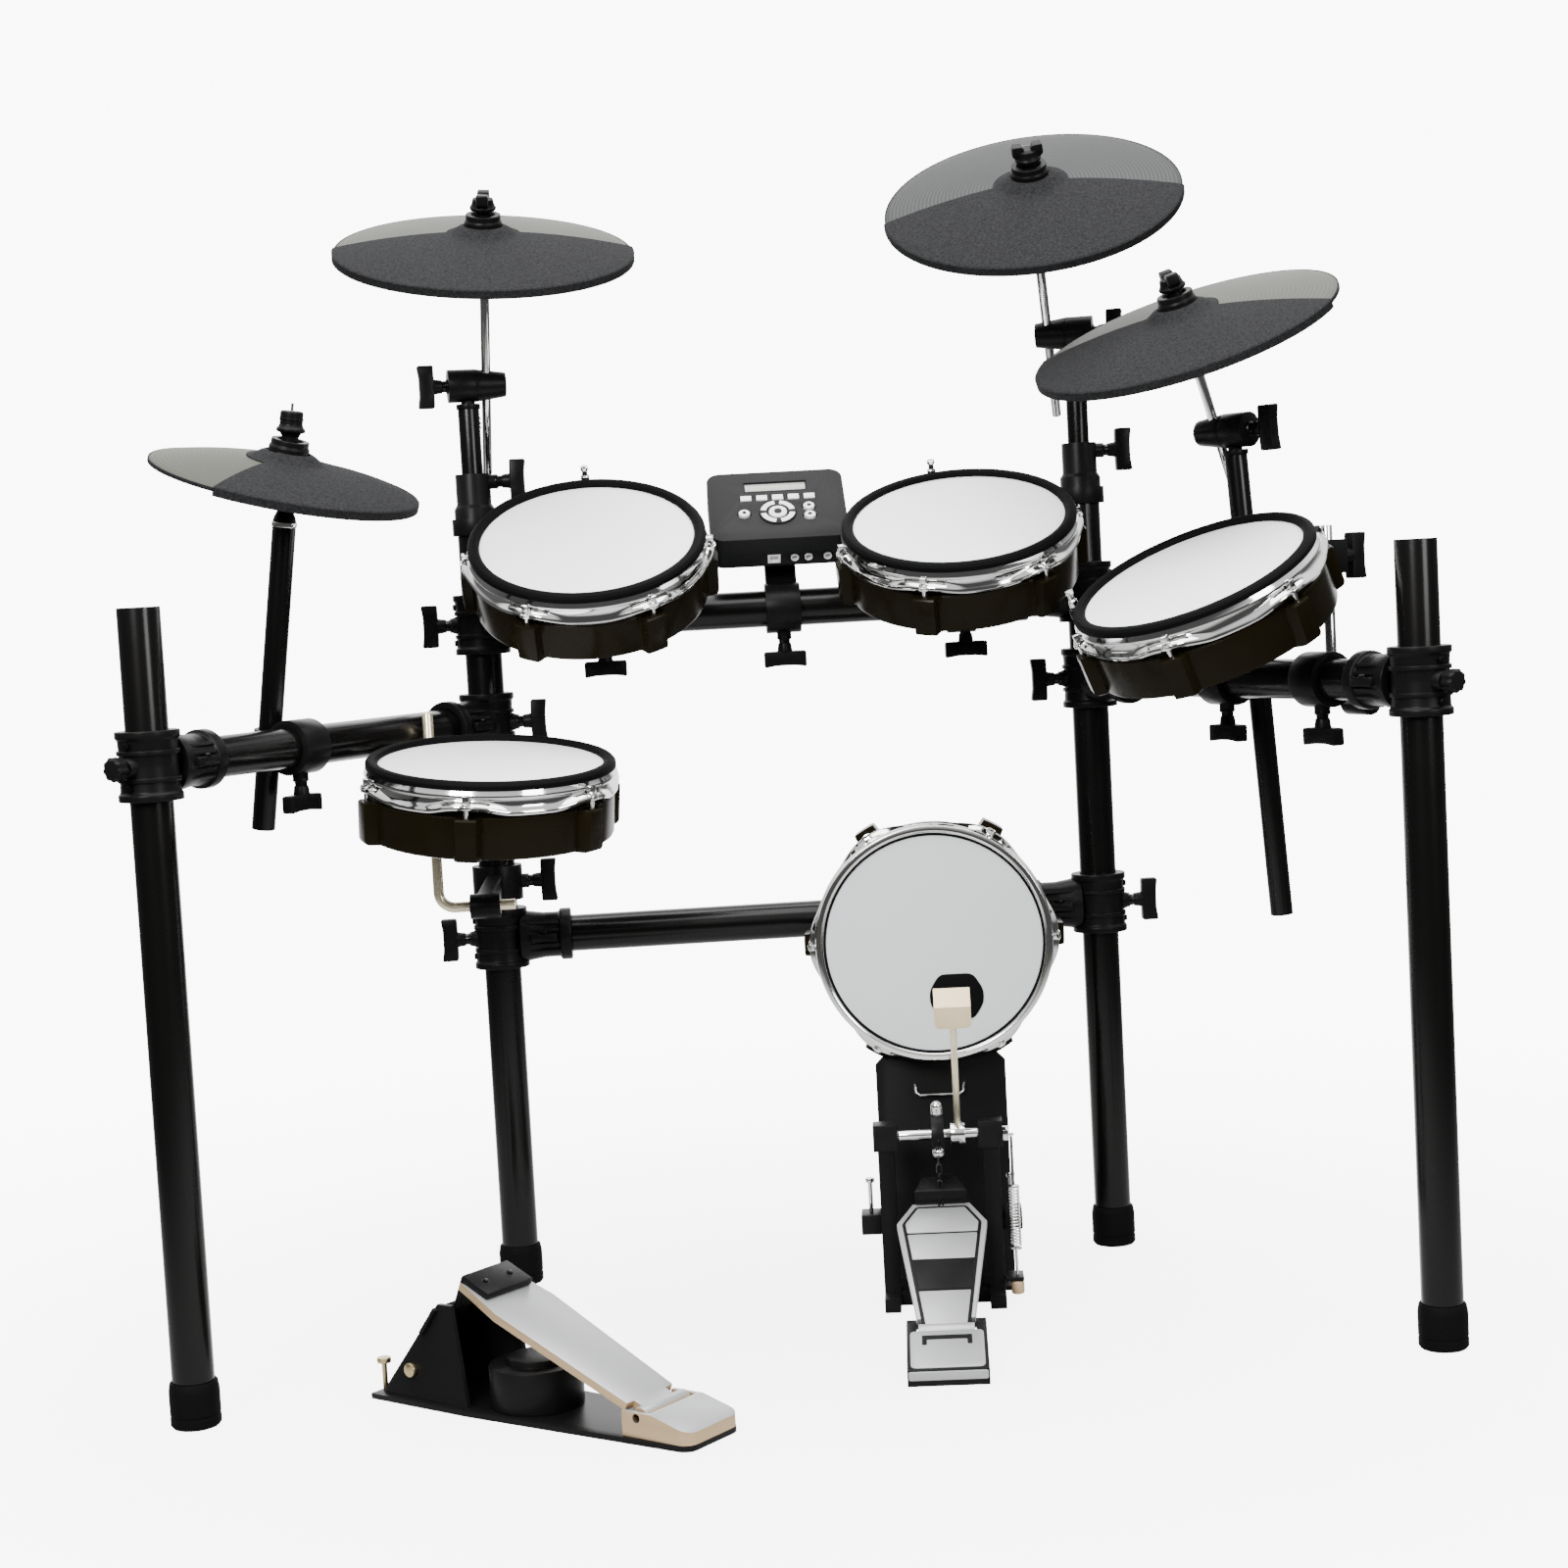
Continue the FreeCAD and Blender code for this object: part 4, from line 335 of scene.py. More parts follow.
def turned(profile_at, segments=72, start=0.0, span=math.tau):
    """A turned solid whose closed (radius, height) outline may change round the axis"""
    full = abs(span - math.tau) < 1e-6
    rings = []
    for i in range(segments if full else segments + 1):
        a = start + span * i / segments
        rings.append([(r * math.cos(a), r * math.sin(a), z) for r, z in profile_at(a)])
    return skin(rings, True, full)


def lathe(profile, segments=ROUND, radius=0.0, start=0.0, span=math.tau):
    """A turned solid from one closed (radius, height) outline"""
    outline = rounded(profile, radius) if radius else profile
    outline = [(max(r, 0.0), z) for r, z in outline]
    return turned(lambda a: outline, segments, start, span)


def inset(outline, d):
    """An outline, drawn anticlockwise, moved in by a distance"""
    made = []
    n = len(outline)
    for i in range(n):
        before, here, after = (Vector(outline[j % n]) for j in (i - 1, i, i + 1))
        a = (here - before).normalized()
        b = (after - here).normalized()
        na, nb = Vector((-a.y, a.x)), Vector((-b.y, b.x))
        made.append(here + (na + nb) * (d / max(1 + na.dot(nb), 0.3)))
    return made


def prism(outline, low, high, edge, steps=2):
    """A flat outline raised from low to high, its two rims rounded"""
    lower, upper = [], []
    for turn in (math.pi / 2 * s / steps for s in range(steps + 1)):
        rise = edge * (1 - math.cos(turn))
        ring = inset(outline, edge * (1 - math.sin(turn)))
        lower.append([(p.x, p.y, low + rise) for p in ring])
        upper.append([(p.x, p.y, high - rise) for p in ring])
    return skin(lower + upper[::-1], True, False)


def slab(w, d, low, high, corner, edge):
    """A box with rounded corners and rims"""
    return prism(rounded(oblong(-w / 2, -d / 2, w / 2, d / 2), corner), low, high, edge)


def sweep(path, radius, segments=14):
    """A round wire along a path of points"""
    path = [Vector(p) for p in path]
    rings = []
    side = None
    for i, p in enumerate(path):
        ahead = (path[min(i + 1, len(path) - 1)] - path[max(i - 1, 0)]).normalized()
        if side is None:
            side = ahead.orthogonal().normalized()
        side = (side - ahead * side.dot(ahead)).normalized()
        other = ahead.cross(side)
        rings.append([tuple(p + (side * math.cos(a) + other * math.sin(a)) * radius)
                      for a in (math.tau * k / segments for k in range(segments))])
    return skin(rings, True, False)


# The CAD frame's own solids, read for places and sizes
class Solid:
    """One loose solid of a CAD node, with its middle, its own axes and its spans along them"""

    def __init__(self, points, faces):
        self.points = points
        self.faces = faces
        a, b, c = self.corners()
        area = np.linalg.norm(np.cross(b - a, c - a), axis=1) + 1e-15
        middle = (a + b + c) / 3
        self.centre = (middle * area[:, None]).sum(0) / area.sum()
        a, b, c = a - self.centre, b - self.centre, c - self.centre
        spread = np.zeros((3, 3))
        for corner in (a, b, c, a + b + c):
            spread += (corner * area[:, None]).T @ corner
        _, vectors = np.linalg.eigh(spread)
        spans = [float(np.ptp(points @ vectors[:, k])) for k in range(3)]
        order = sorted(range(3), key=lambda k: -spans[k])
        self.axes = [Vector(vectors[:, k]).normalized() for k in order]
        self.spans = [spans[k] for k in order]
        self.flat = Vector(vectors[:, 0]).normalized()

    def corners(self):
        """The three corners of every triangle"""
        tri = np.array([(f[0], f[i], f[i + 1]) for f in self.faces for i in range(1, len(f) - 1)])
        return [self.points[tri[:, k]] for k in range(3)]

    def reach(self, direction):
        along = self.points @ np.array(direction)
        return float(along.min()), float(along.max())

    def at(self, along, place):
        """The point at a place along a direction, on the line through the middle"""
        middle = Vector(self.centre)
        return middle + along * (place - middle.dot(along))

    def upward(self):
        """The long axis, pointing up"""
        return self.axes[0] * (1 if self.axes[0].z > 0 else -1)

    def slender(self):
        return self.spans[0] > self.spans[1] * SLENDER

    def shape(self):
        return [tuple(p) for p in self.points], self.faces


def solids(name):
    """The loose solids of a CAD node, from a merged copy of its mesh"""
    bm = bmesh.new()
    bm.from_mesh(frame["nodes"][name].data)
    bmesh.ops.remove_doubles(bm, verts=bm.verts, dist=SAME_POINT)
    found, seen = [], set()
    for seed in bm.faces:
        if seed in seen:
            continue
        stack, island = [seed], []
        seen.add(seed)
        while stack:
            face = stack.pop()
            island.append(face)
            for e in face.edges:
                for other in e.link_faces if len(e.link_faces) == 2 else ():
                    if other not in seen:
                        seen.add(other)
                        stack.append(other)
        corners = sorted({v.index for f in island for v in f.verts})
        index = {v: i for i, v in enumerate(corners)}
        bm.verts.ensure_lookup_table()
        found.append(Solid(np.array([bm.verts[v].co[:] for v in corners]),
                           [[index[v.index] for v in f.verts] for f in island]))
    bm.free()
    if not found:
        raise RuntimeError("no solid in " + name)
    return found


def thick_solids(name):
    """The solids of a CAD node without its thin films"""
    return [s for s in solids(name) if s.spans[2] > FILM]


def drawn(bm):
    """The points and faces of a working mesh, which is freed"""
    bm.verts.index_update()
    shape = [tuple(v.co) for v in bm.verts], [[v.index for v in f.verts] for f in bm.faces]
    bm.free()
    return shape


def softened(solid, width):
    """A CAD solid with its hard edges rounded"""
    mesh = bpy.data.meshes.new("soft")
    points, faces = solid.shape()
    mesh.from_pydata(points, [], faces)
    bm = bmesh.new()
    bm.from_mesh(mesh)
    bpy.data.meshes.remove(mesh)
    bmesh.ops.dissolve_limit(bm, angle_limit=FLAT_ANGLE, verts=bm.verts, edges=bm.edges)
    hard = [e for e in bm.edges if len(e.link_faces) == 2 and e.calc_face_angle(0) > HARD_ANGLE]
    if hard and width:
        bmesh.ops.bevel(bm, geom=hard, offset=width, segments=2, profile=0.5, affect="EDGES",
                        clamp_overlap=True)
    return drawn(bm)


def pick(parts, sizes, axis, hint=None):
    """The places of the solids with certain spans, standing along one of their axes, and the other solids"""
    places, others = [], []
    for s in parts:
        if all(abs(span - size) < SAME_SIZE for span, size in zip(s.spans, sizes)):
            along = s.axes[axis]
            low, high = s.reach(along)
            if Vector(s.centre).dot(along) < (low + high) / 2:
                along, low = -along, -high
            places.append(axes(s.at(along, low), along, s.axes[0] if hint is None else hint))
        else:
            others.append(s)
    return places, others


def wing_frames(name, rack):
    """The places of a CAD node's wing bolts, and its other solids"""
    return pick(solids(name), (rack.wing_span, rack.stem + rack.wing_depth, rack.wing_thick), 1)


def knob_places(parts, rack):
    """The places of the hand knobs among some solids, and the other solids"""
    return pick(parts, (rack.knob_r * 2, rack.knob_r * 2, rack.knob_stem + rack.knob_h), 2, UP)


# Materials
MID_GREY = (0.5, 0.5, 0.5, 1)
RUBBED = (0.35, 0.35, 0.34, 1)
RELIEF_DEPTH = 0.0004
COAT_ROUGHNESS = 0.06
BROAD_GRAIN, FINE_DETAIL = 18.0, 3.0
WORN_FROM, WORN_FULL = 0.52, 0.64
# Heights of a face's normal under which a finish's upright sides carry a painted warm reflection, and over which
# its top keeps its own colour
SIDE_UNTIL, TOP_FROM = 0.35, 0.65


def feed(tree, made, inputs):
    """Sets a node's inputs: an output is linked in, anything else is a fixed value"""
    for key, value in inputs.items():
        if isinstance(value, bpy.types.NodeSocket):
            tree.links.new(value, made.inputs[key])
        else:
            made.inputs[key].default_value = value


def node(tree, kind, inputs=None, **settings):
    """A new node with its settings and inputs"""
    made = tree.nodes.new(kind)
    for name, value in settings.items():
        setattr(made, name, value)
    feed(tree, made, inputs or {})
    return made


def sums(tree, operation, *values):
    """The outcome of one sum on numbers or outputs"""
    return node(tree, "ShaderNodeMath", dict(enumerate(values)), operation=operation).outputs[0]


def ramp(tree, value, span, shares, kind="LINEAR"):
    """A value's place between two limits, as a share between two others"""
    inputs = dict(zip(("From Min", "From Max", "To Min", "To Max"), (*span, *shares)))
    return node(tree, "ShaderNodeMapRange", {"Value": value, **inputs},
                interpolation_type=kind).outputs["Result"]


def blended(tree, share, first, second):
    """Two colours mixed by a share"""
    return node(tree, "ShaderNodeMix", {0: share, 6: first, 7: second}, data_type="RGBA").outputs[2]


def scaled(tree, tone, share):
    """A colour made brighter or darker by a share"""
    return node(tree, "ShaderNodeVectorMath", {0: tone, "Scale": share}, operation="SCALE").outputs[0]


def group(name, inputs, outputs):
    """A new shader group, with what it is given and the node that takes its results"""
    tree = bpy.data.node_groups.new(name, "ShaderNodeTree")
    kinds = {True: "NodeSocketColor", False: "NodeSocketFloat"}
    for label, value in inputs.items():
        socket = tree.interface.new_socket(label, in_out="INPUT", socket_type=kinds[label == "Colour"])
        socket.default_value = value
    for label in outputs:
        tree.interface.new_socket(label, in_out="OUTPUT", socket_type=kinds[label == "Colour"])
    return tree, tree.nodes.new("NodeGroupInput").outputs, tree.nodes.new("NodeGroupOutput")


def grain_group():
    """Uneven colour, gloss and fine relief, from noise in the piece's own space"""
    tree, given, end = group("Grain", {"Colour": MID_GREY, "Roughness": 0.4, "Scale": 400.0, "Tint": 0.1,
                                       "Unevenness": 0.05}, ("Colour", "Roughness", "Height"))
    place = node(tree, "ShaderNodeTexCoord").outputs["Object"]
    fine = node(tree, "ShaderNodeTexNoise", {"Vector": place, "Scale": given["Scale"],
                                             "Detail": FINE_DETAIL}).outputs["Fac"]
    broad = node(tree, "ShaderNodeTexNoise", {"Vector": place, "Scale": BROAD_GRAIN}).outputs["Fac"]
    swing = sums(tree, "MULTIPLY_ADD", sums(tree, "SUBTRACT", fine, 0.5), given["Tint"], 1.0)
    gloss = sums(tree, "MULTIPLY_ADD", sums(tree, "SUBTRACT", broad, 0.5), given["Unevenness"],
                 given["Roughness"])
    feed(tree, end, {"Colour": scaled(tree, given["Colour"], swing), "Roughness": gloss, "Height": fine})
    return tree


def wear_group():
    """A paler rub along the sharpest edges"""
    tree, given, end = group("Edge wear", {"Colour": MID_GREY, "Amount": 0.1}, ("Colour",))
    sharp = node(tree, "ShaderNodeNewGeometry").outputs["Pointiness"]
    mask = ramp(tree, sharp, (WORN_FROM, WORN_FULL), (0.0, given["Amount"]))
    feed(tree, end, {"Colour": blended(tree, mask, given["Colour"], RUBBED)})
    return tree


def groove_group():
    """Fine turned grooves about a piece's own axis, from its ring attribute, with painted shade in their hollows
    and painted highlight on their crests
    """
    tree, given, end = group("Turned grooves", {"Colour": MID_GREY, "Height": 0.5, "Spacing": 0.004,
                                                "Depth": 0.2}, ("Colour", "Height"))
    ring = node(tree, "ShaderNodeAttribute", attribute_name="ring").outputs["Fac"]
    turns = sums(tree, "DIVIDE", ring, given["Spacing"])
    wave = sums(tree, "SINE", sums(tree, "MULTIPLY", turns, math.tau))
    # The colour is painted darker in the grooves' hollows and lighter on their crests, as shade and highlight
    painted_groove_shade = sums(tree, "MULTIPLY_ADD", wave, given["Depth"], 1.0)
    raised = sums(tree, "MULTIPLY_ADD", wave, given["Depth"], given["Height"])
    feed(tree, end, {"Colour": scaled(tree, given["Colour"], painted_groove_shade), "Height": raised})
    return tree


def shared(tree, name, build, inputs):
    """The results of a shared shader group, which is built at its first use"""
    made = bpy.data.node_groups.get(name) or build()
    return node(tree, "ShaderNodeGroup", inputs, node_tree=made).outputs


def material(name, tone, roughness, metallic=0.0, coat=0.0, scale=400.0, tint=0.1, uneven=0.05, bump=0.0,
             wear=0.0, shine=0.5, grooves=0.0, sides=None):
    """A finish built from the shared groups; its upright sides may take another colour than its top, as a painted
    warm reflection
    """
    made = bpy.data.materials.get("drum_" + name)
    if made:
        return made
    made = bpy.data.materials.new("drum_" + name)
    made.use_nodes = True
    tree = made.node_tree
    grain = shared(tree, "Grain", grain_group, {"Colour": (*tone, 1), "Roughness": roughness, "Scale": scale,
                                                "Tint": tint, "Unevenness": uneven})
    tone_out, height = grain["Colour"], grain["Height"]
    # Turned grooves also paint shade and highlight into the colour
    if grooves:
        turned_in = shared(tree, "Turned grooves", groove_group,
                           {"Colour": tone_out, "Height": height, "Depth": grooves})
        tone_out, height = turned_in["Colour"], turned_in["Height"]
    if wear:
        tone_out = shared(tree, "Edge wear", wear_group, {"Colour": tone_out, "Amount": wear})["Colour"]
    # Upright sides take the given colour as a painted warm reflection; the top keeps the finish's own colour
    if sides is not None:
        normal = node(tree, "ShaderNodeTexCoord").outputs["Normal"]
        upward = node(tree, "ShaderNodeSeparateXYZ", {"Vector": normal}).outputs["Z"]
        is_top = ramp(tree, upward, (SIDE_UNTIL, TOP_FROM), (0.0, 1.0))
        tone_out = blended(tree, is_top, (*sides, 1), tone_out)
    shader = tree.nodes["Principled BSDF"]
    feed(tree, shader, {"Base Color": tone_out, "Roughness": grain["Roughness"], "Metallic": metallic,
                        "Specular IOR Level": shine, "Coat Weight": coat, "Coat Roughness": COAT_ROUGHNESS})
    if bump:
        relief = node(tree, "ShaderNodeBump", {"Strength": bump, "Distance": RELIEF_DEPTH, "Height": height})
        feed(tree, shader, {"Normal": relief.outputs["Normal"]})
    return made


# Each finish: the setting that holds its colour, its slot, its roughness, and what else sets it apart
FINISHES = {
    "black_tube": ("tube", "black_tube", 0.22, {"uneven": 0.06, "shine": 0.22}),
    "black_moulding": ("moulding", "black_moulding", 0.36,
                       {"scale": 900, "bump": 0.12, "wear": 0.01, "shine": 0.09}),
    "gloss_shell": ("shell", "gloss_shell", 0.2, {"uneven": 0.05, "shine": 0.05}),
    "chrome": ("chrome", "chrome", 0.09, {"metallic": 1.0, "tint": 0.02, "uneven": 0.06}),
    "satin_metal": ("satin", "satin_metal", 0.42, {"metallic": 0.55, "scale": 1500, "bump": 0.1}),
    # The hi-hat pedal's metal carries a painted warm reflection in tan on its upright sides
    "pedal_metal": ("satin", "satin_metal", 0.38,
                    {"metallic": 0.6, "scale": 1500, "bump": 0.1, "sides": "tan"}),
    "pedal_side": ("tan", "satin_metal", 0.45, {"metallic": 0.3, "scale": 300}),
    "rubber": ("rubber", "rubber", 0.62, {"scale": 1200, "bump": 0.1, "shine": 0.03}),
    "cymbal_rubber": ("zone", "cymbal_rubber", 0.78, {"scale": 420, "tint": 2.2, "bump": 0.6, "shine": 0.04}),
    "cymbal_bow": ("bow", "cymbal_rubber", 0.5,
                   {"scale": 2000, "tint": 0.3, "bump": 0.1, "shine": 0.1, "grooves": 0.12}),
    "dark_bow": ("dark_bow", "cymbal_rubber", 0.5,
                 {"scale": 2000, "tint": 0.6, "bump": 0.1, "shine": 0.1, "grooves": 0.3}),
    "hat_bow": ("hat_bow", "cymbal_rubber", 0.5,
                {"scale": 2000, "tint": 0.4, "bump": 0.1, "shine": 0.1, "grooves": 0.2}),
    "white_head": ("head", "white_head", 0.55, {"scale": 3000, "tint": 0.03, "bump": 0.05}),
    "grey_head": ("kick_head", "grey_head", 0.5, {"scale": 12, "tint": 0.06}),
    "module_plastic": ("case", "module_plastic", 0.5,
                       {"scale": 2200, "tint": 0.3, "bump": 0.2, "shine": 0.08}),
    "white_key": ("key", "white_key", 0.45, {"tint": 0.03}),
    "display": ("display", "module_plastic", 0.25, {"coat": 0.5, "tint": 0.05}),
    "cream_felt": ("felt", "cream_felt", 0.95, {"scale": 900, "tint": 0.35, "bump": 0.9}),
    "warm_rod": ("warm", "chrome", 0.22, {"metallic": 0.75, "tint": 0.03}),
    "brass": ("brass", "chrome", 0.3, {"metallic": 1.0}),
}


def finish(name):
    """A finish by name: its colours come from the settings"""
    tones = bpy.context.scene.drum_finishes
    tone, _, roughness, options = FINISHES[name]
    options = {key: getattr(tones, value) if key == "sides" else value for key, value in options.items()}
    return material(name, getattr(tones, tone), roughness, **options)


# Objects
SEED = 7


def clean(mesh):
    """Joins doubled points, drops flat faces and turns every face outward"""
    bm = bmesh.new()
    bm.from_mesh(mesh)
    bmesh.ops.remove_doubles(bm, verts=bm.verts, dist=SAME_POINT * 2)
    bmesh.ops.dissolve_degenerate(bm, edges=bm.edges, dist=SAME_POINT)
    bmesh.ops.recalc_face_normals(bm, faces=bm.faces)
    bm.to_mesh(mesh)
    bm.free()


def mesh_object(name, form):
    """A form as a smooth mesh object with sharp edges"""
    mesh = bpy.data.meshes.new(name)
    mesh.from_pydata([tuple(p) for p in form.points], [], form.faces)
    clean(mesh)
    mesh.shade_smooth()
    mesh.set_sharp_from_angle(angle=SHARP_ANGLE)
    made = bpy.data.objects.new(name, mesh)
    bpy.context.scene.collection.objects.link(made)
    return made


def piece(name, form, finish_name, body, nodes=()):
    """A finished piece that rides on a body and may stand for CAD nodes"""
    if not form.faces:
        raise RuntimeError("nothing was built for " + name)
    made = mesh_object(name, form)
    made.data.materials.append(finish(finish_name))
    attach(made, body)
    if nodes:
        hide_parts(*nodes)
    return made


def repeat_tree():
    """Geometry nodes that set one part on every point, turned as the point says"""
    tree = bpy.data.node_groups.get("Repeat on points")
    if tree:
        return tree
    tree = bpy.data.node_groups.new("Repeat on points", "GeometryNodeTree")
    for label, kind in (("Points", "Geometry"), ("Part", "Object"), ("Finish", "Material"),
                        ("Twist", "Float"), ("Seed", "Int")):
        tree.interface.new_socket(label, in_out="INPUT", socket_type="NodeSocket" + kind)
    tree.interface.new_socket("Pieces", in_out="OUTPUT", socket_type="NodeSocketGeometry")
    given = tree.nodes.new("NodeGroupInput").outputs
    part = node(tree, "GeometryNodeObjectInfo", {"Object": given["Part"]}).outputs["Geometry"]
    turn = node(tree, "GeometryNodeInputNamedAttribute", {"Name": "turn"}, data_type="FLOAT_VECTOR")
    facing = node(tree, "FunctionNodeEulerToRotation", {"Euler": turn.outputs["Attribute"]})
    chance = node(tree, "FunctionNodeRandomValue", {3: given["Twist"], "Seed": given["Seed"]},
                  data_type="FLOAT")
    spin = node(tree, "ShaderNodeCombineXYZ", {"Z": chance.outputs[1]})
    spun = node(tree, "FunctionNodeEulerToRotation", {"Euler": spin.outputs["Vector"]})
    both = node(tree, "FunctionNodeRotateRotation", {"Rotation": facing.outputs["Rotation"],
                                                     "Rotate By": spun.outputs["Rotation"]},
                rotation_space="LOCAL")
    put = node(tree, "GeometryNodeInstanceOnPoints", {"Points": given["Points"], "Instance": part,
                                                      "Rotation": both.outputs["Rotation"]})
    real = node(tree, "GeometryNodeRealizeInstances", {"Geometry": put.outputs["Instances"]})
    paint = node(tree, "GeometryNodeSetMaterial", {"Geometry": real.outputs["Geometry"],
                                                   "Material": given["Finish"]})
    node(tree, "NodeGroupOutput", {"Pieces": paint.outputs["Geometry"]})
    return tree


def repeated(name, form, places, finish_name, twist=0.0):
    """One plain mesh object with a part set at every place"""
    if not places:
        raise RuntimeError("no places for " + name)
    part = mesh_object(name + "_part", form)
    mesh = bpy.data.meshes.new(name + "_points")
    mesh.from_pydata([tuple(p.translation) for p in places], [], [])
    turns = mesh.attributes.new("turn", "FLOAT_VECTOR", "POINT")
    turns.data.foreach_set("vector", [c for p in places for c in p.to_euler("XYZ")])
    points = bpy.data.objects.new(name + "_points", mesh)
    bpy.context.scene.collection.objects.link(points)
    modifier = points.modifiers.new("Repeat", "NODES")
    tree = repeat_tree()
    modifier.node_group = tree
    values = {"Part": part, "Finish": finish(finish_name), "Twist": twist, "Seed": SEED}
    for item in tree.interface.items_tree:
        if item.in_out == "INPUT" and item.name in values:
            modifier[item.identifier] = values[item.name]
    bpy.context.view_layer.update()
    seen = points.evaluated_get(bpy.context.evaluated_depsgraph_get())
    result = bpy.data.meshes.new_from_object(seen)
    result.name = name
    for left in [a for a in result.attributes if a.name == "turn"]:
        result.attributes.remove(left)
    points.modifiers.remove(modifier)
    for spare in (points, part):
        data = spare.data
        bpy.data.objects.remove(spare)
        bpy.data.meshes.remove(data)
    if not result.polygons:
        raise RuntimeError("nothing was repeated for " + name)
    made = bpy.data.objects.new(name, result)
    bpy.context.scene.collection.objects.link(made)
    return made


def scatter(name, form, places, finish_name, body, twist=0.0):
    """Like parts at several places on one body"""
    made = repeated(name, form, places, finish_name, twist)
    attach(made, body)
    return made


# Shared fittings: radius and height of the three sizes of hexagon bolt heads
CLAMP_BOLT, ARM_STUD, CAP_SCREW = (0.0034, 0.003), (0.0016, 0.0014), (0.0026, 0.0016)


def wing_handle(rack):
    """A moulded tee handle with flared, ribbed ends, standing on its stem's end"""
    half, waist = rack.wing_span / 2, rack.wing_depth * 0.2
    outline = [(-half, rack.wing_depth * 0.08), (-half * 0.3, rack.wing_depth * 0.06), (0, 0),
               (half * 0.3, rack.wing_depth * 0.06), (half, rack.wing_depth * 0.08), (half, rack.wing_depth),
               (half * 0.42, rack.wing_depth - waist * 0.5), (-half * 0.42, rack.wing_depth - waist * 0.5),
               (-half, rack.wing_depth)]
    form = Form()
    lay = Matrix.Translation((0, 0, rack.stem)) @ Matrix.Rotation(math.pi / 2, 4, "X")
    form.add(prism(rounded(outline, 0.0022), -rack.wing_thick / 2, rack.wing_thick / 2, 0.0012), lay)
    collar = [(0, rack.stem * 0.45), (rack.stem_r * 1.7, rack.stem * 0.45),
              (rack.stem_r * 2.0, rack.stem + 0.002), (0, rack.stem + 0.002)]
    form.add(lathe(collar, 20, 0.0006))
    return form


def wing_stem(rack):
    """The washer and moulded neck of a wing bolt"""
    return Form(lathe([(0, -0.001), (rack.stem_r * 1.9, -0.001), (rack.stem_r * 1.9, 0.0014),
                       (rack.stem_r * 1.5, 0.0022), (rack.stem_r * 1.45, rack.stem * 0.6),
                       (0, rack.stem * 0.6)], COARSE, 0.0003))


def hand_knob(rack):
    """A fluted hand knob on a short stem, standing on zero height"""
    low, high = rack.knob_stem, rack.knob_stem + rack.knob_h

    def outline(a):
        grip = rack.knob_r * (1 - 0.05 * (1 + math.cos(a * 9)))
        return [(0, 0), (rack.stem_r, 0), (rack.stem_r, low - 0.001), (rack.stem_r * 1.6, low),
                (grip - 0.0012, low), (grip, low + 0.0012), (grip, high - 0.0022), (grip - 0.0022, high),
                (0, high + 0.0004)]
    return Form(turned(outline, 108))


def hex_bolt(radius, height):
    """A hexagon bolt head on a washer, standing on zero height"""
    outline = [(radius * math.cos(a), radius * math.sin(a)) for a in (math.tau * k / 6 for k in range(6))]
    form = Form()
    form.add(lathe(oblong(0, 0, radius * 1.35, height * 0.25), 20))
    form.add(prism(outline, height * 0.2, height, height * 0.14))
    return form


def soft_form(parts, width):
    """Some CAD solids with their hard edges rounded, as one form"""
    form = Form()
    for s in parts:
        form.add(softened(s, width))
    return form


def wing_bolts(name, places, body):
    """The handles and stems of some wing bolts"""
    rack = bpy.context.scene.drum_rack
    scatter(name + "_wings", wing_handle(rack), places, "black_moulding", body)
    scatter(name + "_stems", wing_stem(rack), places, "black_tube", body)


def tube_of(solid, wall, edge=0.0005):
    """A smooth tube with eased lips in place of a CAD tube"""
    along = solid.axes[0]
    low, high = solid.reach(along)
    radius = (solid.spans[1] + solid.spans[2]) / 4
    points, faces = lathe(oblong(radius - wall, 0, radius, high - low), ROUND, edge)
    place = axes(solid.at(along, low), along, along.orthogonal())
    return [place @ Vector(p) for p in points], faces


def post_points():
    """The floor points of the four posts, from the CAD boxes: left and right rear, left and right front"""
    r = bpy.context.scene.drum_rack.tube_r
    rear_low, rear_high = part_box("rear_posts")
    left_low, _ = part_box("left_wing_tubes")
    right_low, right_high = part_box("right_wing_tubes")
    y = (rear_low.y + rear_high.y) / 2
    return (Vector((rear_low.x + r, y, 0)), Vector((rear_high.x - r, y, 0)),
            Vector((left_low.x + r, left_low.y + r, 0)), Vector((right_high.x - r, right_low.y + r, 0)))


class DRUM_OT_tubes(bpy.types.Operator):
    """Builds the rack's posts, bars and thin tubes"""
    bl_idname = "drum.tubes"
    bl_label = "Rack tubes"

    def execute(self, context):
        rack = context.scene.drum_rack
        for name, body in (("rear_posts", "rack"), ("cross_bars", "rack"), ("left_wing_tubes", "left_wing"),
                           ("right_wing_tubes", "right_wing")):
            form, caps = Form(), Form()
            for s in solids(name):
                if s.slender():
                    form.add(tube_of(s, rack.wall))
                else:
                    low, high = s.reach(UP)
                    r = s.spans[0] / 2
                    caps.add(lathe([(0, low), (r, low), (r, high - 0.0002), (r * 0.8, high), (0, high)], 40,
                                   0.001), Matrix.Translation((s.centre[0], s.centre[1], 0)))
            piece(name + "_gloss", form, "black_tube", body, [name])
            if caps.faces:
                piece(name + "_plugs", caps, "black_moulding", body)
        return {"FINISHED"}


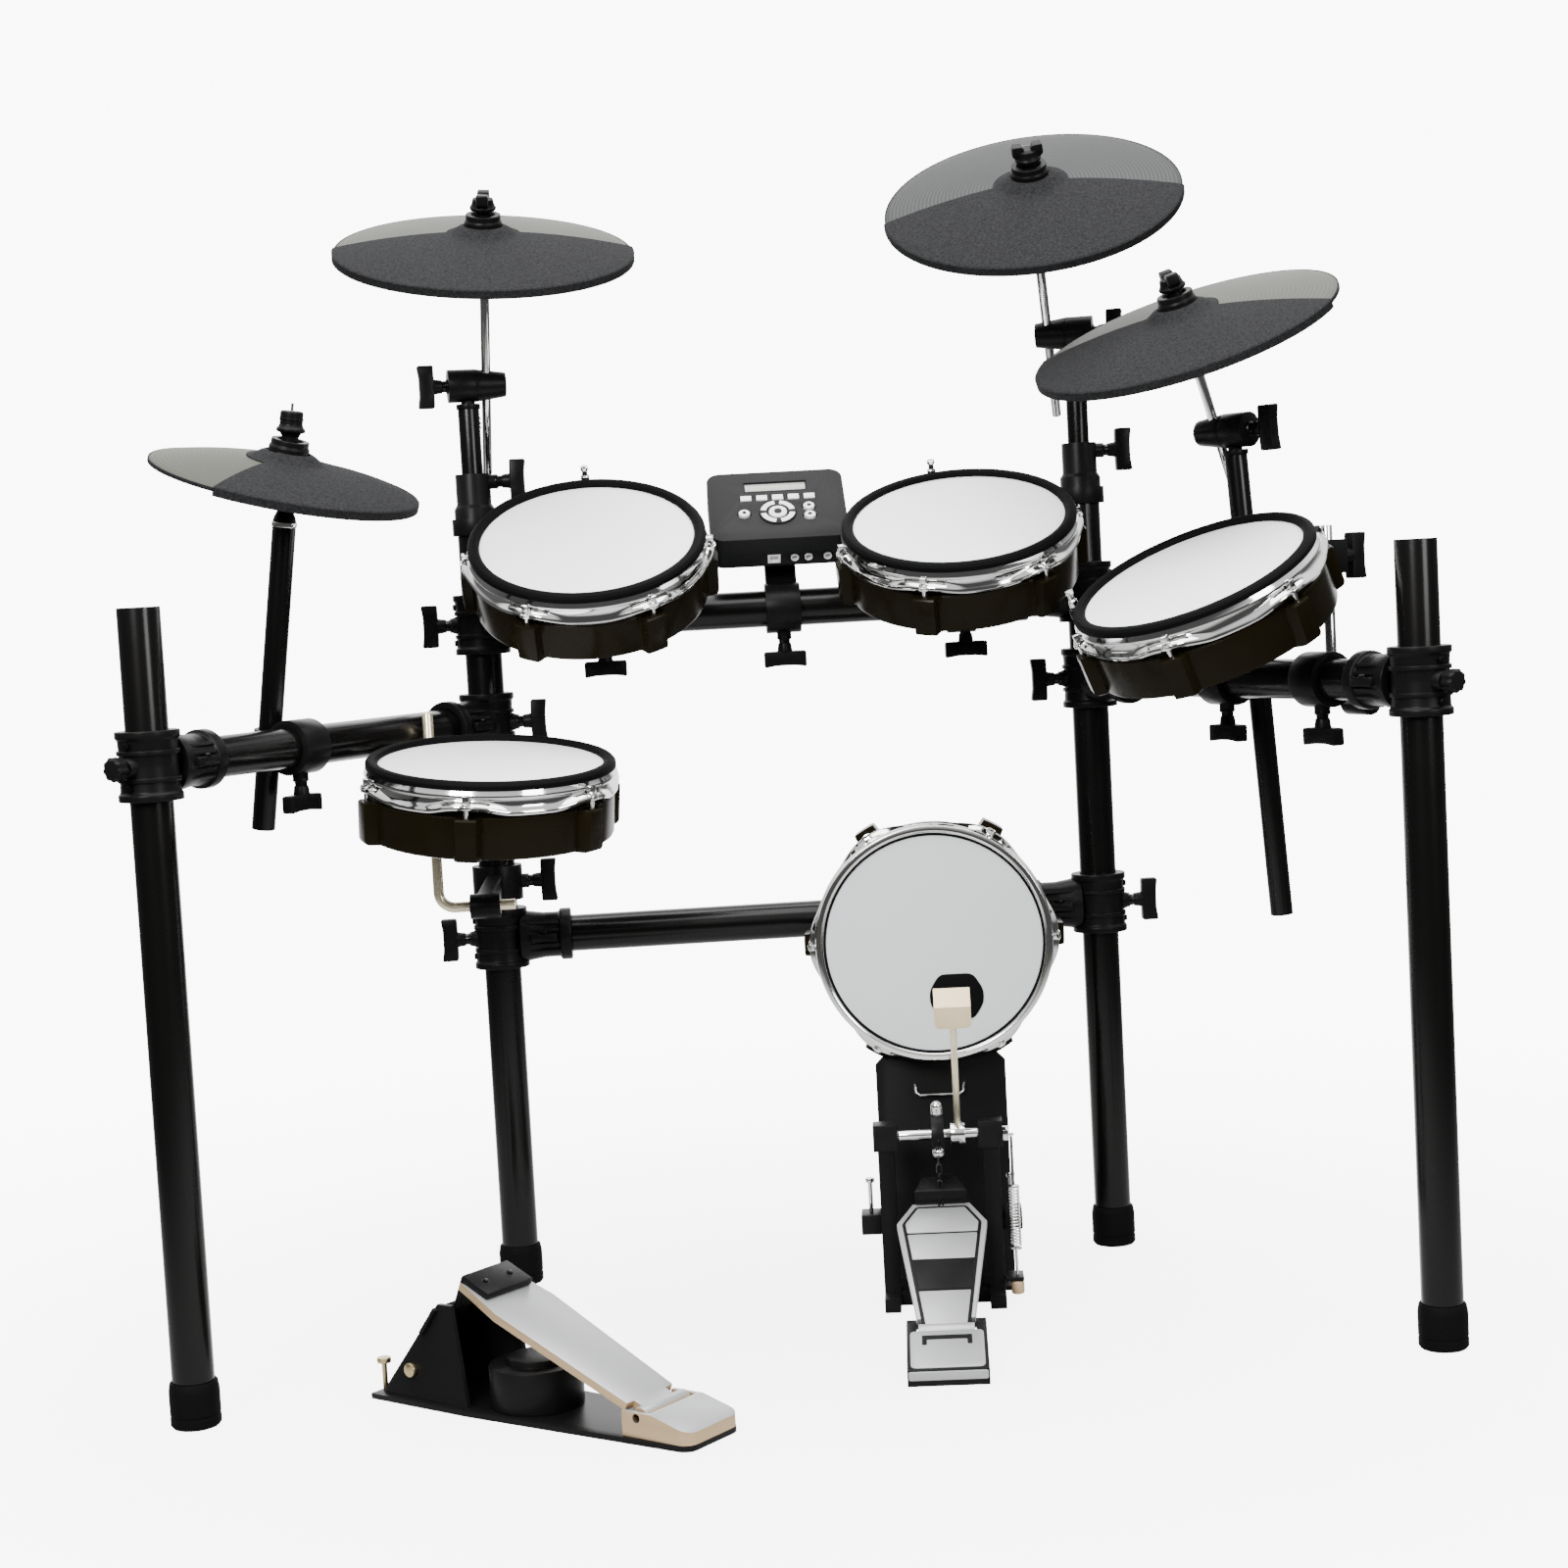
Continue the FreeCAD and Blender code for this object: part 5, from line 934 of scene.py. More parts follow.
class DRUM_OT_feet(bpy.types.Operator):
    """Builds the four rubber feet"""
    bl_idname = "drum.feet"
    bl_label = "Feet"

    def execute(self, context):
        rack = context.scene.drum_rack
        r, h, t = rack.foot_r, rack.foot_h, rack.tube_r
        groove = 0.0007
        profile = [(0, 0), (r - 0.002, 0), (r, 0.0025), (r, 0.009), (r - groove, 0.0095),
                   (r - groove, 0.0115), (r, 0.012), (r, h - 0.008), (r - 0.0012, h - 0.001), (r - 0.002, h),
                   (t + 0.0004, h), (t + 0.0002, 0.004), (0, 0.004)]
        feet = [("rear_feet", "rack", post_points()[:2], ["rear_feet"]),
                ("left_front_foot", "left_wing", post_points()[2:3], []),
                ("right_front_foot", "right_wing", post_points()[3:], [])]
        for name, body, places, nodes in feet:
            form = Form()
            for at in places:
                form.add(lathe(profile, ROUND), Matrix.Translation(at))
            piece(name + "_rubber", form, "rubber", body, nodes)
        return {"FINISHED"}


RIB_LEANS = (0.30, -0.30, 0.62, -0.62)


def tee_clamp(form, bolts, rack, centre, bar_dir, bolt_dir):
    """A moulded tee clamp: split sleeve, ribbed socket, bolt boss and the places of its small bolts"""
    low, high, t = -rack.clamp_h / 2, rack.clamp_h / 2, rack.tube_r + 0.0002
    rim, r = rack.clamp_rim, rack.clamp_r
    sleeve = [(t, low), (rim, low), (rim, low + 0.006), (r, low + 0.008), (r - 0.001, 0), (r, high - 0.008),
              (rim, high - 0.006), (rim, high), (t, high)]
    form.add(lathe(sleeve, ROUND, 0.0012), Matrix.Translation(centre))
    side = UP.cross(bar_dir).normalized()
    lay = axes(centre, bar_dir, UP)
    reach, s = rack.socket_reach, rack.socket_r
    begin = 0.021
    socket = [(t, begin), (s + 0.004, begin), (s + 0.0015, reach * 0.48), (s, reach * 0.62),
              (s, reach - 0.013), (rack.socket_rim, reach - 0.011), (rack.socket_rim, reach), (t, reach)]
    form.add(lathe(socket, ROUND, 0.0012), lay)
    for sign in (1, -1):
        tab = oblong(reach * 0.44, -0.004, reach * 0.80, 0.004)
        place = axes(centre, side * sign, bar_dir)
        form.add(prism(rounded(tab, 0.0015), s - 0.004, s + 0.0065, 0.001), place)
        rib = rounded(oblong(reach * 0.34, -0.0016, reach * 0.83, 0.0016), 0.001)
        for lean in RIB_LEANS:
            turn = axes(centre, side * sign * math.cos(lean) + UP * math.sin(lean), bar_dir)
            form.add(prism(rib, s - 0.003, s + 0.0024, 0.0006), turn)
        bolts.append(axes(centre + bar_dir * (reach * 0.62) + side * sign * (s + 0.0025) + UP * 0.004, UP,
                          bar_dir))
    for z in (low + 0.019, high - 0.019):
        band = oblong(r - 0.003, z - 0.002, r + 0.0014, z + 0.002)
        form.add(lathe(band, ROUND, 0.0006), Matrix.Translation(centre))
    boss = [(0, r - 0.004), (rack.boss_r + 0.003, r - 0.004), (rack.boss_r, rack.boss_reach),
            (0, rack.boss_reach)]
    form.add(lathe(boss, COARSE, 0.0008), axes(centre, bolt_dir, UP))
    for sign in (1, -1):
        bolts.append(axes(centre - bar_dir * (r - 0.0005) + UP * (sign * rack.clamp_h * 0.30), -bar_dir, UP))


class DRUM_OT_clamps(bpy.types.Operator):
    """Builds every clamp of the rack, with its bolts"""
    bl_idname = "drum.clamps"
    bl_label = "Clamps"

    def execute(self, context):
        rack = context.scene.drum_rack
        lr, rr, lf, rf = post_points()
        left = (lf - lr).normalized()
        right = (rf - rr).normalized()
        tees = {"rack_clamps": [(lr, rack.upper_bar_z, RIGHT, -RIGHT), (lr, rack.lower_bar_z, RIGHT, -RIGHT),
                                (rr, rack.upper_bar_z, -RIGHT, BACK), (rr, rack.lower_bar_z, -RIGHT, RIGHT)],
                "left_wing_fittings": [(lr, rack.left_bar_z, left, RIGHT),
                                       (lf, rack.left_bar_z, -left, left)],
                "right_wing_fittings": [(rr, rack.right_bar_z, right, -RIGHT),
                                        (rf, rack.right_bar_z, -right, right)]}
        for name, body in (("rack_clamps", "rack"), ("left_wing_fittings", "left_wing"),
                           ("right_wing_fittings", "right_wing"), ("module_bracket", "rack")):
            form, bolts = Form(), []
            centres = []
            for post, z, bar_dir, bolt_dir in tees.get(name, []):
                centres.append(post + UP * z)
                tee_clamp(form, bolts, rack, post + UP * z, bar_dir, bolt_dir)
            wings, others = wing_frames(name, rack)
            knobs, others = knob_places(others, rack)
            for s in others:
                low, high = s.reach(UP)
                is_tee = any(abs((low + high) / 2 - c.z) < 0.004 and high - low < rack.clamp_h + 0.002
                             and (Vector(s.centre) - c).length < rack.socket_reach * 0.6 for c in centres)
                if low > 0.001 and not is_tee:
                    form.add(softened(s, rack.edge))
            piece(name + "_moulded", form, "black_moulding", body, [name])
            wing_bolts(name, wings, body)
            if knobs:
                scatter(name + "_knobs", hand_knob(rack), knobs, "black_moulding", body)
            if bolts:
                scatter(name + "_bolts", hex_bolt(*CLAMP_BOLT), bolts, "black_tube", body, math.tau)
        return {"FINISHED"}


class DRUM_OT_arms(bpy.types.Operator):
    """Builds the cymbal arms, their booms and nuts, and the hi-hat stand"""
    bl_idname = "drum.arms"
    bl_label = "Cymbal arms"
    nut_top = 0.0330
    clutch_top = 0.0506
    stud_gap = 0.004
    stud_inset = 0.010

    def nut(self, place):
        """A nut with a ball seat, a flange, a tapered sleeve and two wings, about its pivot"""
        form = Form()
        form.add(lathe([(0, -0.0084), (0.0058, -0.0062), (0.0082, -0.001), (0.0080, 0.0030), (0.0074, 0.0078),
                        (0.0126, 0.0094), (0.0136, 0.0120), (0.0122, 0.0136), (0.0112, 0.0160),
                        (0.0104, 0.0205), (0.0060, 0.0220), (0, 0.0220)], 36, 0.0006), place)
        lay = place @ Matrix.Rotation(math.pi / 2, 4, "X")
        for sign in (1, -1):
            wing = [(0.0030, 0.0130), (0.0120, 0.0134), (0.0156, 0.0165), (0.0152, 0.0266), (0.0050, 0.0262),
                    (0.0030, 0.0225)]
            wing = [(x * sign, y) for x, y in wing][::sign]
            form.add(prism(rounded(wing, 0.0018), -0.0060, 0.0060, 0.0012), lay)
        return form

    def clutch(self, place):
        """The hi-hat's clutch: ball seat, flared base, waist, drum and top pin"""
        form = Form()
        form.add(lathe([(0, -0.0084), (0.0058, -0.0062), (0.0082, -0.001), (0.0078, 0.0080), (0.0100, 0.0118),
                        (0.0134, 0.0128), (0.0136, 0.0152), (0.0116, 0.0176), (0.0108, 0.0196),
                        (0.0108, 0.0306), (0.0096, 0.0322), (0, 0.0324)], 40, 0.0006), place)
        form.add(lathe(oblong(0.0105, 0.0236, 0.0113, 0.0254), 40, 0.0003), place)
        return form

    def execute(self, context):
        rack = context.scene.drum_rack
        for side in ("left", "right"):
            name = side + "_arm"
            wings, others = wing_frames(name, rack)
            gloss, moulded, bolts = Form(), Form(), []
            for s in others:
                if s.slender():
                    gloss.add(tube_of(s, rack.wall))
                    high = s.reach(UP)[1] - self.stud_inset
                    middle = Vector((s.centre[0], s.centre[1], 0))
                    collar = max(c.reach(UP)[1] for c in solids("rack_clamps")
                                 if (Vector(c.centre) - middle).xy.length < rack.socket_reach)
                    free = collar - joint(name + "_height")["range_m"][0] + self.stud_gap
                    for i in range(3):
                        z = high - (high - free) * i / 2
                        bolts.append(axes(middle + RIGHT * (s.spans[1] / 2 - 0.0003) + UP * z, RIGHT, UP))
                else:
                    moulded.add(softened(s, rack.edge))
            piece(name + "_tube", gloss, "black_tube", name, [name])
            piece(name + "_tilter", moulded, "black_moulding", name)
            scatter(name + "_bolts", hex_bolt(*ARM_STUD), bolts, "chrome", name, math.tau)
            wing_bolts(name, wings, name)
        for name, hint in (("left_boom", BACK), ("right_boom", RIGHT), ("ride_boom", BACK)):
            parts = sorted(solids(name), key=lambda s: -s.spans[0])
            piece(name + "_rod", Form(softened(parts[0], 0.0003)), "chrome", name, [name])
            along = parts[0].upward()
            rest = sorted(parts[1:], key=lambda s: Vector(s.centre).dot(along))
            piece(name + "_eye", Form(softened(rest[0], 0.0015)), "black_moulding", name)
            pivot = parts[0].at(along, rest[-1].reach(along)[1] - self.nut_top)
            piece(name + "_nut", self.nut(axes(pivot, along, hint)), "black_moulding", name)
        parts = thick_solids("hihat_stand")
        parts.sort(key=lambda s: s.centre[2])
        along = parts[0].upward()
        piece("hihat_stand_tube", Form(tube_of(parts[0], rack.wall)), "black_tube", "hihat_stand",
              ["hihat_stand"])
        top = axes(parts[0].at(along, parts[0].reach(along)[1]), along)
        r = parts[0].spans[1] / 2
        rod_top = parts[1].reach(along)[1] - parts[0].reach(along)[1]
        metal = Form(lathe(oblong(0, 0, r + 0.0008, 0.005), 40, 0.0008), top)
        metal.add(lathe(oblong(0, 0.004, 0.003, rod_top), COARSE), top)
        cone = Form(lathe([(0.0028, 0.005), (r, 0.005), (r * 0.92, 0.009), (0.0048, 0.021), (0.0028, 0.022)],
                          40, 0.0006), top)
        piece("hihat_stand_cone", cone, "black_moulding", "hihat_stand")
        place = axes(parts[0].at(along, parts[-1].reach(along)[1] - self.clutch_top), along)
        metal.add(lathe([(0, 0.030), (0.0014, 0.030), (0.0014, 0.0392), (0.0008, 0.0398), (0, 0.0398)], 20),
                  place)
        piece("hihat_stand_metal", metal, "chrome", "hihat_stand")
        piece("hihat_stand_clutch", self.clutch(place), "black_moulding", "hihat_stand")
        return {"FINISHED"}


def disc_place(solid, towards):
    """A disc's own place: z along its axis towards a side, origin on its lowest plane"""
    z = solid.flat if solid.flat.dot(towards) > 0 else -solid.flat
    low, high = solid.reach(z)
    return axes(solid.at(z, low), z), high - low


class DRUM_OT_cymbals(bpy.types.Operator):
    """Builds the four cymbal pads"""
    bl_idname = "drum.cymbals"
    bl_label = "Cymbal pads"

    def rise(self, c, rim, r):
        """Height of the bow's underside at a radius"""
        if r >= c.bell_r:
            t = (rim - r) / (rim - c.bell_r)
            return c.bow_rise * t + c.bow_swell * 4 * t * (1 - t)
        t = min((c.bell_r - r) / (c.bell_r - c.bell_flat), 1.0)
        return c.bow_rise + (c.bell_rise - c.bow_rise) * (t * t * (3 - 2 * t))

    def execute(self, context):
        c = context.scene.drum_cymbals
        pads = [("left_crash", c.crash_r, c.left_start, c.left_end, "cymbal_bow"),
                ("right_crash", c.crash_r, c.right_start, c.right_end, "dark_bow"),
                ("ride_cymbal", c.crash_r, c.ride_start, c.ride_end, "cymbal_bow"),
                ("hihat_cymbal", c.hat_r, c.hat_start, c.hat_end, "hat_bow")]
        for name, rim, start, end, tone in pads:
            parts = solids(name)
            bow = max(parts, key=lambda s: s.spans[1])
            place, _ = disc_place(bow, UP)
            edge = rim - c.lip
            radii = [edge - (edge - c.bell_r) * i / 10 for i in range(11)]
            radii += [c.bell_r - (c.bell_r - c.bell_flat) * i / 6 for i in range(1, 7)] + [c.hole_r]
            under = [(r, self.rise(c, edge, r)) for r in radii]
            top = [(r, z + c.bow_t) for r, z in under]
            lip = [(edge - 0.0008, 0), (edge, 0.0008), (edge, c.bow_t - 0.0008), (edge - 0.0008, c.bow_t)]
            outline = under[::-1] + lip + top[1:]
            made = piece(name + "_bow", Form(lathe(outline, FINE), place), tone, name, [name])
            back = place.inverted()
            rings = made.data.attributes.new("ring", "FLOAT", "POINT")
            rings.data.foreach_set("value", [(back @ v.co).xy.length for v in made.data.vertices])
            over = [(r, z + c.rubber_t) for r, z in top if r >= c.bell_flat]
            skirt = [(edge + 0.0002, -c.skirt), (rim - 0.0006, -c.skirt), (rim, 0.0006 - c.skirt),
                     (rim, c.bow_t + c.rubber_t - 0.0015), (rim - 0.0012, c.bow_t + c.rubber_t - 0.0003)]
            inner = [(r, z - 0.0002) for r, z in top if r >= c.bell_flat][::-1]
            zone = skirt + over + inner + [(edge + 0.0002, c.bow_t)]
            rubber = Form(lathe(zone, 90, 0, start, end - start), place)
            collar = [(r, z + 0.0012) for r, z in top if c.bell_flat <= r <= c.bell_r * 1.08]
            collar += [(r, z - 0.0002) for r, z in top if c.bell_flat <= r <= c.bell_r * 1.08][::-1]
            rubber.add(lathe(collar, 90), place)
            rubber.add(lathe(oblong(edge - 0.0012, -0.0003, edge + 0.0005, c.bow_t + 0.0002), FINE, 0.0003),
                       place)
            piece(name + "_zone", rubber, "cymbal_rubber", name)
            base = c.bell_rise + c.bow_t
            cup = [(c.hole_r * 0.85, base), (c.cup_r, base), (c.cup_r, base + c.cup_h * 0.45),
                   (c.cup_r * 0.93, base + c.cup_h * 0.6), (c.cup_r * 0.93, base + c.cup_h),
                   (c.cup_r * 0.66, base + c.cup_h), (c.cup_r * 0.5, base + c.cup_h * 0.45)]
            moulded = Form(lathe(cup, ROUND, 0.0008), place)
            if name == "hihat_cymbal":
                box = min((s for s in parts if s is not bow),
                          key=lambda s: Vector(s.centre).dot(place.col[2].xyz))
                moulded.add(softened(box, 0.001))
            piece(name + "_cup", moulded, "black_moulding", name)
        return {"FINISHED"}


class DRUM_OT_pads(bpy.types.Operator):
    """Builds the drum pads and the kick pad: shells, hoops, bolts, rims and heads"""
    bl_idname = "drum.pads"
    bl_label = "Drum pads"
    jacks = {"left_tom": 90, "right_tom": 96, "floor_tom": 152}

    def near_lug(self, a, first, step):
        """The angle to the nearest lug"""
        return abs((a - first + step / 2) % step - step / 2)

    def shell(self, p, first, step, bulge):
        """A moulded shell that bulges out at its lugs"""
        def outline(a):
            d = self.near_lug(a, first, step)
            out = bulge * (1 - smooth(d, p.lug_half * 0.78, p.lug_half * 1.05))
            top, low, r = -p.shell_top, -p.shell_depth, p.shell_r
            lip = p.hoop_in - 0.0008
            return [(0, low + 0.004), (r * 0.55, low + 0.004), (r * 0.57, low), (r + out * 0.9 - 0.0045, low),
                    (r + out * 0.92 - 0.0014, low + 0.0012), (r + out * 0.95, low + 0.0045),
                    (r + out, top - 0.0015), (r + out - 0.0012, top), (lip + 0.001, top), (lip, top + 0.001),
                    (lip, -p.head_t), (lip - 0.003, -p.head_t), (lip - 0.004, low + 0.010), (0, low + 0.010)]
        return turned(outline, LOBED)

    def hoop(self, p, first, step):
        """A pressed steel hoop whose lower flange flares out and up at the lugs"""
        def outline(a):
            e = 1 - smooth(self.near_lug(a, first, step), p.lug_half * 0.7, p.lug_half * 3.4)
            wall, flange = p.hoop_out, p.hoop_out + 0.0026 + (p.flare - p.hoop_out - 0.0026) * e
            low = -p.hoop_h + 0.0015 + 0.0055 * e
            return [(p.hoop_in, -0.0005), (wall - 0.0004, -0.0005), (wall, -0.0030), (wall + 0.0019, -0.0062),
                    (wall + 0.0024, -0.0080), (wall + 0.0017, -0.0098), (wall - 0.0004, -0.0112),
                    (wall - 0.0006, low + 0.0098), (wall + 0.0004, low + 0.0078),
                    (flange - 0.0012, low + 0.0056), (flange, low + 0.0040), (flange + 0.0002, low + 0.0022),
                    (flange - 0.0010, low + 0.0004), (flange - 0.0024, low), (p.hoop_in, low + 0.001)]
        return turned(outline, LOBED)

    def ear_bolt(self, p):
        """An ear plate, a square-headed tension bolt and its shank, about the bolt's own axis"""
        form = Form()
        ear = [(-0.0080, -0.0085), (0.000, -0.0075), (0.0048, -0.0045), (0.0058, 0), (0.0048, 0.0045),
               (0.000, 0.0075), (-0.0080, 0.0085)]
        form.add(prism(rounded(ear, 0.0025), -p.bolt_top - 0.0036, -p.bolt_top, 0.0008))
        form.add(lathe([(0, -p.bolt_low), (p.bolt_r, -p.bolt_low), (p.bolt_r, -p.bolt_top),
                        (p.bolt_r * 1.8, -p.bolt_top), (p.bolt_r * 1.8, -p.bolt_top + 0.0014),
                        (0, -p.bolt_top + 0.0014)], 18, 0.0002))
        form.add(slab(p.bolt_head * 1.7, p.bolt_head * 1.7, -p.bolt_top + 0.001, -p.bolt_top + 0.009, 0.0004,
                      0.0006))
        return form

    def execute(self, context):
        p = context.scene.drum_pads
        step = math.tau / p.lugs
        kits = [(n, n) for n in ("snare", "left_tom", "right_tom", "floor_tom")] + [("kick", "rack")]
        for name, body in kits:
            is_kick = name == "kick"
            head = max(solids(name + "_head"), key=lambda s: s.spans[0])
            low_place, thick = disc_place(head, -BACK if is_kick else UP)
            place = low_place @ Matrix.Translation((0, 0, thick))
            back = place.inverted()
            bolts = [s for s in solids(name + "_hoop") if s.spans[0] < p.hoop_h * 2]
            spot = back @ Vector(bolts[0].centre)
            first = math.atan2(spot.y, spot.x)
            bulge = p.kick_lug if is_kick else p.lug_out
            piece(name + "_shell_gloss", Form(self.shell(p, first, step, bulge), place), "gloss_shell", body,
                  [name + "_shell"])
            piece(name + "_hoop_chrome", Form(self.hoop(p, first, step), place), "chrome", body,
                  [name + "_hoop"])
            spots = []
            for i in range(p.lugs):
                a = first + step * i
                at = Vector((math.cos(a), math.sin(a), 0))
                spots.append(place @ axes(at * p.bolt_circle, UP, at))
            scatter(name + "_bolts_chrome", self.ear_bolt(p), spots, "chrome", body)
            if name in self.jacks:
                a = math.radians(self.jacks[name])
                at = Vector((math.cos(a), math.sin(a), 0))
                spot = place @ axes(at * (p.hoop_out + 0.006), UP, at)
                tab = [(-0.006, -0.009), (0.004, -0.008), (0.007, 0), (0.004, 0.008), (-0.006, 0.009)]
                piece(name + "_jack_tab", Form(prism(rounded(tab, 0.003), -0.012, -0.002, 0.001), spot),
                      "black_moulding", body)
                post = [(0, -0.003), (0.0045, -0.003), (0.0045, 0.005), (0.0028, 0.0062), (0.0028, 0.011),
                        (0.0040, 0.012), (0.0040, 0.0155), (0, 0.0160)]
                piece(name + "_jack_post", Form(lathe(post, COARSE, 0.0003), spot), "chrome", body)
            mid = (p.rim_in + p.rim_out) / 2
            if is_kick:
                rim = [(p.rim_in + 0.002, 0), (p.rim_in + 0.002, 0.0012), (p.rim_in + 0.0045, 0.0022),
                       (p.hoop_in - 0.002, 0.0016), (p.hoop_in - 0.002, 0)]
                edge = [(p.hoop_in - 0.0025, 0), (p.hoop_in - 0.0025, 0.0028), (p.hoop_in, 0.0042),
                        (p.hoop_out + 0.0006, 0.0036), (p.hoop_out + 0.0012, 0.0012), (p.hoop_out, -0.001),
                        (p.hoop_in, -0.001)]
                piece("kick_edge_chrome", Form(lathe(edge, FINE, 0.0006), place), "chrome", body)
            else:
                rim = [(p.rim_in, 0), (p.rim_in, p.rim_h * 0.35), (p.rim_in + 0.0022, p.rim_h * 0.8),
                       (mid, p.rim_h), (p.rim_out - 0.0025, p.rim_h * 0.85), (p.rim_out, p.rim_h * 0.35),
                       (p.rim_out, -p.rim_skirt), (p.hoop_out + 0.0003, -p.rim_skirt),
                       (p.hoop_out + 0.0003, 0)]
            piece(name + "_rim_rubber", Form(lathe(rim, FINE, 0.0007), place), "rubber", body)
            skin_form = [(0, -p.head_t), (p.head_r, -p.head_t), (p.head_r, -0.0003), (p.head_r - 0.002, 0),
                         (0, 0)]
            piece(name + "_head_skin", Form(lathe(skin_form, FINE), place),
                  "grey_head" if is_kick else "white_head", body, [name + "_head"])
            if is_kick:
                patch = min(solids("kick_head"), key=lambda s: s.spans[0])
                spot = back @ Vector(patch.centre)
                w, h = p.patch_w / 2, p.patch_h / 2
                outline = [(-w * 0.62, -h), (w * 0.62, -h), (w, -h * 0.3), (w, h * 0.3), (w * 0.62, h),
                           (-w * 0.62, h), (-w, h * 0.3), (-w, -h * 0.3)]
                form = Form(prism(rounded(outline, 0.006), 0, 0.0012, 0.0004),
                            place @ Matrix.Translation((spot.x, spot.y, 0)))
                piece("kick_patch_rubber", form, "rubber", body)
        return {"FINISHED"}


def smooth(value, low, high):
    """A soft step from 0 to 1 between two limits"""
    t = min(max((value - low) / (high - low), 0.0), 1.0)
    return t * t * (3 - 2 * t)


class DRUM_OT_mounts(bpy.types.Operator):
    """Builds the pads' bent rods, brackets and wing bolts"""
    bl_idname = "drum.mounts"
    bl_label = "Pad mounts"

    def execute(self, context):
        rack = context.scene.drum_rack
        for body in ("snare", "left_tom", "right_tom", "floor_tom"):
            name = body + "_mount"
            wings, others = wing_frames(name, rack)
            others.sort(key=lambda s: -s.spans[0])
            plating = "warm_rod" if body == "snare" else "chrome"
            piece(name + "_rod", Form(softened(others[0], 0.0006)), plating, body, [name])
            piece(name + "_bracket", soft_form(others[1:], 0.0015), "black_moulding", body)
            wing_bolts(name, wings, body)
        return {"FINISHED"}


def shrunk(solid, shape, shares):
    """A shape made smaller about a solid's centre, along the solid's own axes"""
    middle = Vector(solid.centre)
    points = []
    for q in shape[0]:
        out = Vector(q) - middle
        points.append(tuple(middle + sum((a * out.dot(a) * k for a, k in zip(solid.axes, shares)), Vector())))
    return points, shape[1]


class DRUM_OT_module(bpy.types.Operator):
    """Builds the sound module's case, display, sockets and buttons"""
    bl_idname = "drum.module"
    bl_label = "Sound module"
    display_share, jack_share, key_share = (0.96, 0.68, 1), (1, 0.75, 0.75), (0.9, 0.78, 1)
    key_edge, dot_r, nav_dot_r = 0.0009, 0.0022, 0.0042
    arcs, arc_start, arc_span = 4, math.radians(10), math.radians(70)

    def execute(self, context):
        case = thick_solids("module_case")
        form = Form()
        for s in case:
            form.add(softened(s, 0.0016 if s.spans[0] > 0.1 else 0.0004))
        piece("module_case_moulded", form, "module_plastic", "module", ["module_case"])
        parts = sorted(solids("module_board"), key=lambda s: -s.spans[0])
        piece("module_board_black", Form(softened(parts[0], 0)), "black_moulding", "module", ["module_board"])
        piece("module_display", Form(shrunk(parts[1], softened(parts[1], 0.0002), self.display_share)),
              "display", "module")
        jacks, usb = Form(), Form()
        for s in parts[2:]:
            if abs(s.spans[1] - s.spans[2]) < 0.001:
                jacks.add(shrunk(s, softened(s, 0.0003), self.jack_share))
            else:
                usb.add(softened(s, 0.0003))
        piece("module_jacks", jacks, "white_key", "module")
        piece("module_usb", usb, "white_key", "module")
        for body in [b for b in frame["bodies"] if b.endswith("_key") or "_key_" in b]:
            form = Form()
            for s in solids(body):
                if abs(s.spans[0] - s.spans[1]) < 0.001 and body != "nav_key":
                    place, high = disc_place(s, UP)
                    r = s.spans[0] / 2 - 0.0012
                    form.add(lathe([(0, 0), (r, 0), (r, high - 0.0008), (r - 0.0008, high), (0, high)], 40),
                             place)
                    dot = oblong(0, high - 0.0004, self.dot_r, high + 0.0003)
                    piece(body + "_dot", Form(lathe(dot, COARSE, 0.0002), place), "black_moulding", body)
                elif body == "nav_key":
                    form.add(softened(s, self.key_edge))
                else:
                    form.add(shrunk(s, softened(s, self.key_edge), self.key_share))
            piece(body + "_cap", form, "white_key", body, [body])
        dot = max(solids("nav_key"), key=lambda s: s.spans[0])
        place, high = disc_place(dot, UP)
        domed = [(0, high - 0.0004), (self.nav_dot_r, high - 0.0004), (self.nav_dot_r, high + 0.0004),
                 (0, high + 0.0005)]
        spot = Form(lathe(domed, 32, 0.0002), place)
        piece("nav_key_dot", spot, "black_moulding", "nav_key")
        ring = max(solids("nav_ring"), key=lambda s: s.spans[0])
        place, high = disc_place(ring, UP)
        r = ring.spans[0] / 2
        base = [(r * 0.525, 0), (r, 0), (r, high - 0.0012), (r * 0.96, high - 0.0008),
                (r * 0.56, high - 0.0008), (r * 0.525, high - 0.0012)]
        piece("nav_ring_base", Form(lathe(base, 64), place), "module_plastic", "nav_ring", ["nav_ring"])
        arcs = Form()
        for i in range(self.arcs):
            arc = [(r * 0.66, high - 0.001), (r * 0.95, high - 0.001), (r * 0.95, high - 0.0002),
                   (r * 0.92, high), (r * 0.69, high), (r * 0.66, high - 0.0002)]
            arcs.add(lathe(arc, 18, 0, math.tau / self.arcs * i + self.arc_start, self.arc_span), place)
        piece("nav_ring_arcs", arcs, "white_key", "nav_ring")
        return {"FINISHED"}


def joint(name):
    """One joint of the frame, by name"""
    for found in frame["joints"]:
        if found["name"] == name:
            return found
    raise RuntimeError("no joint " + name)


def floor_place(name):
    """A pedal's own place: origin under its hinge, x along the hinge, y to the toe"""
    found = joint(name)
    at = Vector(found["pos_m"])
    return axes((at.x, at.y, 0), UP, -Vector(found["axis"]))


